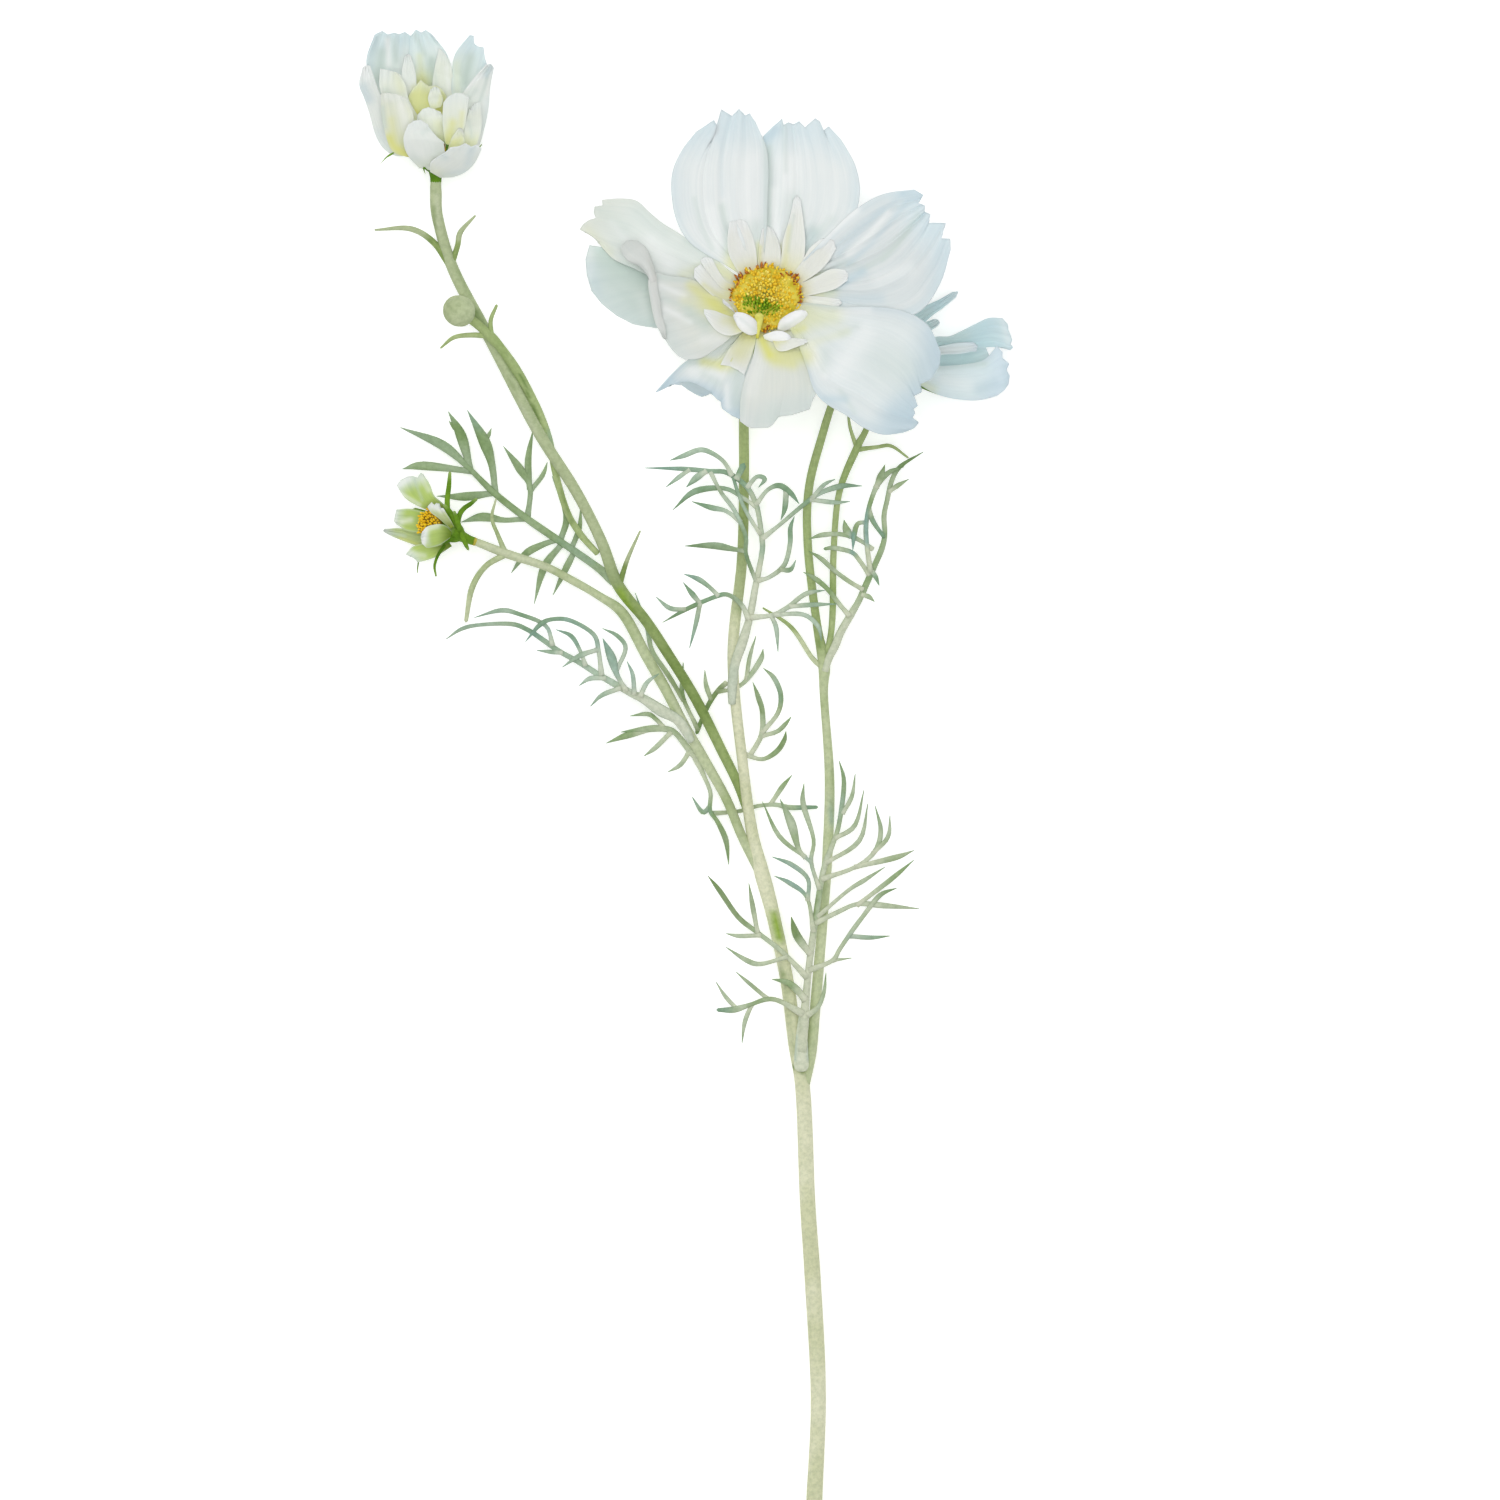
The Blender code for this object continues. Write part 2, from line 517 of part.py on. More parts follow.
def make_upper_bloom():
    white = dict(colour=PETAL_WHITE, cells=(6, 6))
    cream = dict(colour=PETAL_CREAM, cells=(5, 5))
    petal(
        "upper_petal_back_left",
        [(-94.6, 336.0), (-102.0, 343.0), (-106.6, 354.0), (-107.8, 360.0), (-106.5, 366.4)],
        [(-92.6, 337.0), (-95.0, 348.0), (-95.6, 358.0), (-97.2, 366.0)],
        [(-106.5, 366.4), (-104.4, 367.2), (-102.9, 366.3), (-101.4, 366.7), (-98.9, 366.9),
         (-97.2, 366.0)],
        [7.6, 6.0, 8.0, 9.6], [7.6, 0.8, 1.4, 4.0], **white,
    )
    petal(
        "upper_petal_back",
        [(-92.2, 336.6), (-96.0, 348.0), (-97.4, 358.0), (-97.4, 366.0)],
        [(-90.4, 336.6), (-87.6, 346.0), (-86.4, 354.0), (-87.3, 359.3), (-91.1, 365.8)],
        [(-97.4, 366.0), (-96.2, 367.7), (-94.4, 366.7), (-93.6, 367.5), (-91.1, 365.8)],
        [9.4, 2.6, 3.2, 5.6], [9.4, 4.0, 4.2, 6.0], **white,
    )
    petal(
        "upper_petal_back_right",
        [(-90.0, 337.6), (-89.0, 348.0), (-86.9, 359.5), (-85.2, 364.0), (-82.9, 366.3)],
        [(-87.8, 337.0), (-82.0, 344.0), (-79.0, 352.0), (-78.3, 358.6)],
        [(-82.9, 366.3), (-81.7, 366.1), (-81.5, 364.0), (-79.0, 363.1), (-78.3, 358.6)],
        [10.8, 7.0, 6.6, 9.0], [10.8, 9.0, 10.4, 12.8], **white,
    )
    petal(
        "upper_petal_right",
        [(-87.4, 338.4), (-85.4, 346.0), (-82.8, 353.0), (-78.4, 358.2)],
        [(-85.8, 336.4), (-80.0, 338.6), (-77.9, 348.0), (-77.4, 355.8)],
        [(-78.4, 358.2), (-76.7, 358.4), (-77.4, 355.8)],
        [14.4, 14.6, 16.0, 18.0], [14.4, 12.0, 13.0, 15.6], **white,
    )
    petal(
        "upper_petal_left",
        [(-96.6, 336.4), (-102.6, 337.4), (-107.1, 345.2), (-109.8, 351.6), (-109.7, 357.7)],
        [(-95.6, 338.0), (-101.0, 343.0), (-104.4, 350.0), (-107.4, 358.3)],
        [(-109.7, 357.7), (-109.0, 358.6), (-107.4, 358.3)],
        [11.6, 9.4, 10.8, 13.0], [11.6, 12.6, 14.0, 16.0], **white,
    )
    petal(
        "upper_petal_front_left",
        [(-97.0, 334.4), (-101.4, 336.6), (-104.4, 344.0), (-104.7, 351.6)],
        [(-95.0, 335.4), (-96.2, 341.0), (-96.5, 345.8), (-98.0, 349.5)],
        [(-104.7, 351.6), (-101.4, 351.6), (-98.0, 349.5)],
        [15.2, 15.6, 17.6, 20.0], [15.2, 18.4, 20.4, 21.6], **cream,
    )
    petal(
        "upper_petal_front",
        [(-94.4, 332.8), (-97.7, 335.8), (-98.6, 341.2), (-96.8, 344.6)],
        [(-91.2, 333.6), (-89.4, 335.6), (-88.9, 339.2), (-93.4, 345.0)],
        [(-96.8, 344.6), (-95.2, 345.6), (-93.4, 345.0)],
        [17.0, 19.4, 22.6, 24.0], [17.0, 20.6, 22.8, 24.4], arch=1.8, **white,
    )
    petal(
        "upper_petal_front_right",
        [(-91.8, 331.8), (-92.0, 333.8), (-90.4, 336.2), (-87.0, 337.4)],
        [(-88.2, 330.9), (-84.7, 331.6), (-81.7, 334.9), (-80.2, 338.6)],
        [(-87.0, 337.4), (-84.8, 338.6), (-83.2, 338.2), (-80.2, 338.6)],
        [16.6, 22.0, 25.8, 27.6], [15.8, 17.4, 20.0, 24.0], arch=1.0, **white,
    )
    petal(
        "upper_inner_petal_centre",
        [(-92.6, 338.4), (-95.6, 342.4), (-95.3, 346.0)], [(-90.2, 338.6), (-88.7, 342.0), (-89.9, 346.4)],
        [(-95.3, 346.0), (-93.2, 348.3), (-89.9, 346.4)], [14.6, 15.8, 17.4], [14.6, 15.8, 17.4],
         arch=1.0, **cream,
    )
    petal(
        "upper_inner_petal_right",
        [(-88.6, 339.6), (-89.4, 345.0), (-87.7, 350.7)], [(-86.2, 339.4), (-84.6, 344.0), (-83.4, 350.6)],
        [(-87.7, 350.7), (-85.8, 352.0), (-83.4, 350.6)], [17.4, 18.8, 20.6], [17.4, 18.6, 20.6], **cream,
    )
    petal(
        "upper_inner_petal_left",
        [(-95.6, 341.4), (-103.0, 348.6), (-105.0, 357.6)], [(-93.8, 342.4), (-98.4, 350.0),
         (-99.4, 356.4)],
        [(-105.0, 357.6), (-102.4, 358.4), (-99.4, 356.4)], [9.0, 8.6, 10.2], [9.0, 7.0, 8.0], **cream,
    )
    foot = (-91.0, 328.8, 14.0)
    calyx(
        "upper_calyx", foot, (0.0, 1.0, 0.06), [(0.0, 2.4), (1.4, 3.2), (2.4, 4.0), (3.4, 4.0)],
        [
            [(-91.4, 331.4, 13.6, 1.6), (-98.0, 333.4, 9.0, 1.4), (-104.8, 333.9, 7.0, 0.5)],
            [(-90.6, 331.4, 13.0, 1.6), (-84.0, 334.0, 8.0, 1.4), (-79.6, 339.0, 5.0, 0.5)],
            [(-91.0, 331.4, 13.0, 1.6), (-91.4, 333.6, 8.0, 1.4), (-91.2, 339.0, 2.0, 0.5)],
            [(-91.4, 331.4, 14.6, 1.4), (-93.4, 331.4, 14.4, 1.1), (-94.6, 331.0, 14.2, 0.5)],
        ],
    )


def make_back_bloom():
    blue = dict(colour=PETAL_BLUE, cells=(6, 5))
    petal(
        "back_petal_upper",
        [(27.0, 287.6), (34.3, 290.8), (41.9, 293.2), (46.8, 295.5), (50.6, 295.3)],
        [(27.8, 285.6), (37.0, 286.6), (45.0, 288.0), (51.4, 288.0)],
        [(50.6, 295.3), (51.9, 293.7), (52.1, 292.2), (53.2, 289.9), (52.8, 288.9), (53.3, 288.0),
         (51.4, 288.0)],
        [14.0, 13.4, 14.6, 14.0], [14.0, 10.4, 10.6, 12.0], **blue,
    )
    petal(
        "back_petal_lower",
        [(28.0, 283.6), (35.3, 283.0), (43.0, 283.8), (47.0, 286.0), (49.2, 288.5)],
        [(27.0, 281.2), (31.6, 277.6), (38.6, 275.3), (45.0, 274.9), (49.3, 276.4)],
        [(49.2, 288.5), (50.6, 287.1), (50.6, 285.6), (52.3, 283.8), (51.6, 282.4), (52.3, 280.7),
         (51.6, 278.7), (49.3, 276.4)],
        [15.6, 15.0, 15.0, 14.4], [15.6, 16.0, 18.0, 19.0], arch=1.0, **blue,
    )
    petal(
        "back_petal_underneath",
        [(27.6, 285.2), (34.0, 290.0), (42.0, 291.6), (48.0, 289.6)],
        [(27.0, 282.6), (34.0, 278.4), (42.0, 277.6), (48.4, 280.0)],
        [(48.0, 289.6), (49.2, 285.0), (48.4, 280.0)],
        [10.6, 3.4, 1.8, 3.6], [10.6, 2.8, 1.4, 3.6], arch=-1.6, **blue,
    )
    petal(
        "back_petal_middle",
        [(28.2, 285.0), (35.0, 286.0), (43.6, 286.6)],
        [(28.2, 282.8), (35.0, 281.4), (46.0, 282.6)],
        [(43.6, 286.6), (46.0, 286.0), (46.0, 282.6)],
        [13.0, 8.4, 8.4], [13.0, 9.6, 10.2], colour=PETAL_BLUE, cells=(4, 4),
    )
    petal(
        "back_petal_side",
        [(25.6, 288.4), (28.6, 296.0), (34.0, 300.4), (38.2, 302.1)],
        [(27.2, 288.6), (32.2, 295.8), (36.6, 298.6), (39.4, 301.4)],
        [(38.2, 302.1), (39.6, 302.2), (39.4, 301.4)],
        [13.6, 10.6, 10.0, 10.0], [13.6, 11.6, 11.0, 11.0], colour=PETAL_BLUE, cells=(4, 5),
    )
    foot = (23.8, 282.9, 13.8)
    calyx(
        "back_calyx", foot, (0.8, 0.6, 0.1), [(0.0, 1.8), (0.8, 2.6), (1.8, 4.0), (2.8, 4.6)],
        [
            [(25.0, 283.8, 14.0, 1.6), (25.2, 290.0, 14.6, 1.3), (28.0, 294.6, 15.4, 0.5)],
            [(25.2, 283.4, 13.6, 1.6), (29.0, 279.4, 12.4, 1.3), (34.4, 276.4, 12.2, 0.5)],
            [(25.0, 283.6, 13.2, 1.6), (27.6, 284.0, 7.4, 1.3), (32.4, 284.4, 2.0, 0.5)],
        ],
    )


def make_small_bloom():
    green = dict(colour=PETAL_GREEN, cells=(5, 5))
    petal(
        "small_petal_top",
        [(-89.8, 245.9), (-92.4, 248.2), (-96.0, 249.0), (-99.4, 251.4), (-100.8, 254.0)],
        [(-88.0, 246.6), (-89.8, 249.6), (-91.5, 251.9), (-93.0, 254.2), (-94.6, 256.7)],
        [(-100.8, 254.0), (-99.4, 255.6), (-97.5, 256.1), (-96.1, 255.6), (-94.6, 256.7)],
        [12.4, 13.6, 13.4], [12.6, 14.2, 14.0], **green,
    )
    petal(
        "small_petal_left",
        [(-89.2, 244.9), (-92.6, 246.5), (-97.7, 247.6), (-100.8, 247.8)],
        [(-89.2, 243.1), (-92.6, 242.7), (-97.6, 242.7), (-99.6, 242.8)],
        [(-100.8, 247.8), (-101.5, 244.9), (-99.6, 242.8)], [10.2, 10.4, 10.8], [10.2, 10.4, 10.8],
         **green,
    )
    petal(
        "small_petal_pointed",
        [(-89.4, 241.4), (-93.0, 241.6), (-96.8, 242.5), (-100.4, 242.9), (-103.4, 242.8)],
        [(-88.9, 239.9), (-92.0, 238.7), (-95.8, 238.6), (-99.6, 239.8), (-103.2, 241.6)],
        [(-103.4, 242.8), (-103.7, 242.3), (-103.2, 241.6)],
        [8.0, 7.8, 8.0], [8.0, 7.2, 7.6], **green,
    )
    petal(
        "small_petal_bottom",
        [(-88.4, 239.4), (-91.6, 238.8), (-95.8, 238.6), (-98.6, 236.8)],
        [(-87.6, 237.8), (-90.0, 235.8), (-92.8, 234.9), (-95.5, 234.4)],
        [(-98.6, 236.8), (-97.3, 235.6), (-95.5, 234.4)],
        [13.0, 12.4, 12.0], [13.0, 12.6, 12.4], **green,
    )
    petal(
        "small_petal_front",
        [(-87.6, 242.6), (-90.4, 243.1), (-93.4, 242.0), (-94.6, 240.4)],
        [(-87.2, 240.4), (-88.8, 239.0), (-91.0, 238.2), (-93.4, 238.2)],
        [(-94.6, 240.4), (-94.4, 239.0), (-93.4, 238.2)],
        [17.2, 19.8, 20.6], [17.2, 18.4, 19.6], arch=0.6, **green,
    )
    petal(
        "small_petal_ruffled",
        [(-87.6, 243.2), (-89.6, 244.8), (-92.0, 247.0), (-92.8, 248.8)],
        [(-86.2, 243.8), (-87.8, 245.8), (-89.2, 247.7)],
        [(-92.8, 248.8), (-91.7, 249.4), (-91.3, 248.6), (-90.1, 249.0), (-89.2, 247.7)],
        [17.4, 18.6, 19.0], [17.2, 18.4, 18.8], **green,
    )
    turned(
        "small_disc",
        [(0.0, 0.0), (1.6, 0.0), (2.0, 2.4), (3.0, 4.6), (3.0, 6.0), (1.8, 6.8), (0.0, 7.0)],
        (-89.6, 243.2, 13.0), (-0.5, 0.15, 0.55), DISC_YELLOW, steps=12,
    )
    foot = (-83.0, 240.2, 12.2)
    calyx(
        "small_calyx", foot, (-0.85, 0.42, 0.1), [(0.0, 2.0), (1.4, 3.0), (2.4, 5.8), (3.8, 7.4)],
        [
            [(-85.6, 242.0, 13.0, 2.4), (-87.0, 248.0, 13.6, 1.8), (-87.8, 252.4, 14.2, 1.1),
             (-87.9, 256.7, 14.8, 0.5)],
            [(-85.6, 242.0, 13.6, 2.2), (-84.6, 246.4, 15.4, 1.6), (-81.2, 249.8, 16.6, 0.5)],
            [(-85.6, 241.6, 13.6, 2.2), (-84.8, 239.6, 15.6, 1.4), (-83.0, 237.2, 16.0, 0.5)],
            [(-85.6, 240.8, 11.4, 2.2), (-89.2, 235.6, 9.8, 1.4), (-91.0, 231.0, 9.2, 0.5)],
            [(-85.8, 241.6, 11.6, 2.2), (-90.6, 237.0, 5.6, 1.4), (-95.8, 231.6, 4.6, 0.5)],
            [(-85.8, 242.2, 11.6, 2.2), (-91.0, 245.4, 6.4, 1.6), (-96.4, 247.6, 6.6, 0.5)],
        ],
    )


def make_leaves():
    leaf("leaf_fork", [
        (8.9, 9.4, (0.2, 108.8, 3.2), (1.2, 122.2, 2.6), (2.2, 133.0, 1.7), (3.8, 144.8, 1.6),
         (5.8, 157.2, 1.4), (8.2, 164.0, 1.3), (9.8, 169.2, 1.2), (11.0, 179.2, 1.2), (9.8, 184.8, 0.5)),
        (9.4, 9.4, (10.6, 171.6, 1.0), (13.0, 176.0, 1.1), (13.8, 181.5, 0.5)),
        (9.2, 9.0, (0.8, 121.5, 1.5), (-4.8, 124.6, 1.3), (-8.2, 125.2, 1.2), (-12.5, 123.8, 1.1),
         (-16.5, 122.6, 1.6), (-20.5, 122.5, 1.0)),
        (9.0, 9.0, (-15.8, 122.8, 1.0), (-18.6, 125.8, 1.0), (-21.0, 129.5, 0.5)),
        (9.0, 9.0, (-8.0, 125.2, 1.0), (-12.5, 129.0, 1.0), (-16.0, 132.0, 0.5)),
        (9.0, 8.6, (-12.0, 124.0, 1.0), (-13.8, 119.5, 1.1), (-14.5, 114.2, 0.5)),
        (9.2, 9.2, (1.8, 121.2, 1.4), (4.5, 123.2, 1.2), (6.0, 127.0, 1.0), (6.5, 131.8, 0.5)),
        (9.2, 9.4, (1.4, 125.0, 1.6), (-1.2, 128.0, 1.8), (-3.5, 129.5, 1.5), (-7.0, 130.2, 0.5)),
        (9.2, 9.4, (1.8, 130.6, 1.3), (-3.5, 136.2, 1.2), (-6.2, 138.5, 1.2), (-10.8, 142.0, 1.2),
         (-15.5, 145.8, 1.3), (-20.0, 152.2, 1.3), (-23.0, 156.0, 0.5)),
        (9.4, 9.4, (-10.6, 141.8, 1.0), (-11.9, 148.8, 1.2), (-12.8, 154.2, 0.5)),
        (9.4, 9.4, (-9.8, 141.2, 1.0), (-15.0, 141.0, 1.1), (-18.5, 141.6, 0.5)),
        (9.4, 9.4, (-3.2, 135.8, 1.0), (-9.8, 134.0, 1.1), (-13.5, 135.0, 1.3), (-18.5, 138.2, 0.5)),
        (9.2, 9.2, (2.6, 136.4, 1.3), (-0.8, 141.2, 2.2), (-2.2, 145.8, 0.6)),
        (9.2, 9.2, (2.2, 132.4, 1.2), (8.0, 134.8, 1.1), (10.0, 137.8, 1.1), (13.2, 142.5, 1.2),
         (16.2, 146.5, 1.2), (20.0, 151.2, 1.2), (24.2, 153.0, 0.5)),
        (9.2, 9.0, (12.2, 141.0, 1.0), (17.5, 140.6, 1.2), (22.5, 141.0, 0.5)),
        (9.2, 9.0, (8.2, 134.9, 1.0), (13.0, 135.5, 0.5)),
        (9.2, 9.2, (3.8, 144.2, 1.2), (9.5, 147.0, 1.2), (14.5, 149.0, 1.2), (21.0, 148.6, 1.5),
         (29.8, 147.8, 0.5)),
        (9.2, 9.2, (4.4, 145.8, 1.0), (11.8, 152.2, 1.0), (16.2, 155.0, 1.1), (21.2, 158.2, 0.5)),
        (9.2, 9.2, (14.2, 148.6, 1.0), (22.8, 155.2, 1.3), (28.5, 160.0, 0.5)),
        (9.4, 9.8, (3.4, 142.0, 1.1), (1.8, 150.5, 1.0), (-2.5, 154.2, 1.2), (-6.4, 156.0, 0.5)),
        (9.6, 10.0, (1.9, 149.8, 1.0), (2.0, 155.2, 1.0), (-2.0, 158.8, 1.3), (-7.0, 160.8, 0.5)),
        (9.4, 9.4, (8.8, 165.4, 1.0), (13.8, 168.8, 1.2), (16.0, 177.5, 0.5)),
        (9.4, 9.4, (6.4, 159.2, 1.0), (14.8, 164.8, 1.2), (17.0, 174.2, 0.5)),
        (9.4, 9.4, (5.4, 155.2, 1.1), (13.8, 158.2, 1.1), (18.6, 162.0, 1.2), (20.2, 167.2, 1.2),
         (18.8, 173.5, 0.5)),
        (9.4, 9.4, (18.2, 161.6, 1.0), (22.0, 165.8, 1.1), (22.5, 171.2, 0.5)),
        (9.4, 9.4, (13.6, 158.2, 1.0), (23.8, 160.6, 1.4), (28.5, 162.4, 0.5)),
        (9.4, 9.8, (4.9, 152.6, 1.0), (2.8, 159.5, 1.0), (3.4, 165.2, 1.0), (0.8, 174.0, 1.4),
         (1.0, 179.2, 0.5)),
        (9.6, 9.8, (2.9, 159.4, 1.0), (1.0, 160.9, 0.9), (-5.2, 166.0, 1.2), (-9.4, 174.6, 0.5)),
        (9.6, 9.8, (1.4, 160.5, 1.0), (-0.4, 162.9, 1.3), (-2.2, 169.2, 2.2), (-5.0, 175.2, 0.5)),
    ])

    leaf("leaf_left_low", [
        (4.8, 3.6, (-25.6, 185.2, 1.6), (-27.6, 187.4, 1.6), (-31.2, 191.8, 1.5), (-34.0, 192.8, 1.6),
         (-37.8, 192.8, 1.7), (-44.8, 192.0, 0.5)),
        (4.0, 4.4, (-33.6, 192.6, 1.1), (-36.0, 195.2, 1.1), (-38.2, 196.5, 1.2), (-42.5, 196.0, 0.5)),
        (3.8, 3.4, (-37.0, 192.8, 1.1), (-43.2, 191.2, 1.7), (-48.5, 189.2, 0.5)),
        (4.4, 3.8, (-32.2, 192.0, 1.1), (-36.0, 188.2, 1.3), (-39.0, 186.0, 0.5)),
        (4.6, 3.8, (-27.6, 187.2, 1.1), (-29.9, 183.8, 1.2), (-33.0, 182.0, 0.5)),
        (4.8, 2.6, (-26.0, 185.6, 1.5), (-24.2, 181.4, 1.2), (-22.4, 176.8, 1.1), (-22.5, 172.4, 1.1),
         (-20.6, 169.5, 1.1), (-18.5, 164.8, 1.4), (-17.8, 158.8, 0.5)),
        (3.4, 2.6, (-22.5, 173.4, 1.0), (-24.4, 172.0, 1.3), (-27.0, 175.8, 0.5)),
        (3.0, 3.0, (-22.2, 171.6, 1.0), (-15.2, 172.2, 1.0), (-10.5, 173.5, 1.0), (-6.0, 173.8, 1.1),
         (-2.5, 173.1, 1.4), (4.2, 173.2, 0.8)),
        (3.0, 3.0, (-7.4, 173.8, 1.0), (-4.5, 178.2, 1.2), (-2.0, 181.2, 0.5)),
    ])

    leaf("leaf_left_arch", [
        (10.7, 11.2, (-30.6, 195.2, 2.6), (-34.8, 197.4, 3.0), (-39.0, 200.2, 2.4), (-42.0, 201.6, 1.8),
         (-49.8, 206.0, 1.6), (-54.8, 209.2, 1.4), (-60.2, 212.2, 1.4), (-64.2, 215.0, 1.3),
         (-68.0, 217.5, 1.2), (-72.2, 219.0, 1.1), (-79.8, 218.8, 1.0), (-84.5, 217.8, 1.0),
         (-88.5, 215.2, 0.5)),
        (11.2, 12.0, (-61.8, 213.6, 1.0), (-63.6, 218.6, 1.0), (-70.0, 221.4, 1.1), (-74.8, 222.4, 1.2),
         (-81.4, 220.6, 0.5)),
        (11.0, 12.4, (-49.6, 206.2, 1.1), (-50.3, 211.8, 1.1), (-51.6, 216.4, 1.1), (-57.2, 219.8, 1.1),
         (-61.8, 220.2, 1.1), (-65.0, 218.8, 1.2), (-68.6, 214.6, 0.5)),
        (11.0, 12.0, (-53.6, 208.6, 1.0), (-55.0, 212.4, 1.0), (-57.2, 216.0, 1.1), (-61.0, 217.6, 0.5)),
        (11.0, 11.4, (-59.4, 211.8, 1.0), (-62.0, 212.0, 1.1), (-65.8, 212.4, 0.5)),
        (11.4, 11.6, (-50.6, 212.6, 1.0), (-55.2, 211.0, 1.3), (-59.4, 208.2, 0.5)),
        (11.0, 10.8, (-48.6, 205.4, 1.0), (-52.4, 205.4, 1.2), (-55.2, 203.6, 0.5)),
        (11.0, 10.4, (-44.8, 203.0, 1.1), (-49.5, 201.2, 1.2), (-52.4, 198.4, 0.5)),
        (11.0, 11.6, (-43.4, 202.2, 1.2), (-45.8, 206.4, 1.3), (-47.2, 210.8, 2.3), (-49.3, 215.4, 0.6)),
        (11.0, 11.6, (-41.4, 201.4, 1.1), (-41.8, 206.2, 1.1), (-43.2, 209.6, 0.5)),
        (11.0, 11.8, (-40.0, 200.8, 1.1), (-38.2, 204.4, 1.2), (-35.2, 206.6, 0.5)),
        (11.2, 12.0, (-46.0, 207.2, 1.0), (-43.6, 212.8, 1.1), (-45.6, 216.0, 1.1), (-49.4, 217.9, 0.5)),
    ])

    leaf("leaf_upper_left", [
        (5.0, 3.6, (-49.6, 232.4, 2.2), (-52.6, 234.6, 2.0), (-57.5, 238.0, 1.8), (-60.2, 239.8, 1.8),
         (-68.5, 245.5, 1.8), (-76.5, 251.8, 1.7), (-82.8, 258.0, 1.4), (-89.5, 263.8, 2.4),
         (-100.0, 268.2, 0.5)),
        (3.8, 3.8, (-82.4, 257.6, 1.2), (-84.8, 266.2, 2.6), (-88.0, 272.2, 0.5)),
        (3.8, 3.8, (-82.0, 257.2, 1.2), (-94.2, 258.6, 2.1), (-99.5, 257.8, 0.5)),
        (3.9, 3.8, (-76.2, 251.4, 1.3), (-77.0, 258.5, 1.9), (-79.0, 264.8, 2.8), (-83.2, 272.5, 0.5)),
        (3.9, 3.4, (-76.4, 251.8, 1.2), (-83.8, 250.9, 2.1), (-90.8, 251.0, 0.5)),
        (4.0, 3.8, (-68.2, 245.2, 1.3), (-67.5, 253.2, 1.4), (-70.2, 258.0, 2.0), (-74.2, 263.5, 0.5)),
        (3.9, 3.6, (-67.6, 252.6, 1.1), (-68.0, 260.0, 1.8), (-66.8, 267.5, 0.5)),
        (3.9, 3.4, (-67.4, 252.4, 1.1), (-64.4, 256.2, 1.2), (-63.2, 259.5, 0.5)),
        (4.0, 2.4, (-68.4, 245.4, 1.2), (-73.8, 245.0, 1.4), (-79.4, 245.8, 2.2), (-84.8, 244.5, 0.5)),
        (4.4, 3.4, (-60.0, 239.6, 1.3), (-58.4, 246.5, 1.7), (-62.0, 256.0, 0.5)),
        (4.6, 4.4, (-57.2, 237.8, 1.2), (-55.2, 243.0, 1.3), (-54.8, 248.6, 0.5)),
        (4.4, 3.6, (-60.6, 240.2, 1.2), (-65.0, 238.6, 1.6), (-68.8, 236.4, 1.8), (-72.2, 231.8, 0.5)),
        (4.5, 3.8, (-59.4, 239.2, 1.2), (-64.0, 233.2, 1.9), (-66.5, 224.0, 0.5)),
        (4.6, 4.0, (-56.4, 237.2, 1.2), (-58.4, 233.2, 1.8), (-61.8, 226.2, 0.5)),
    ])

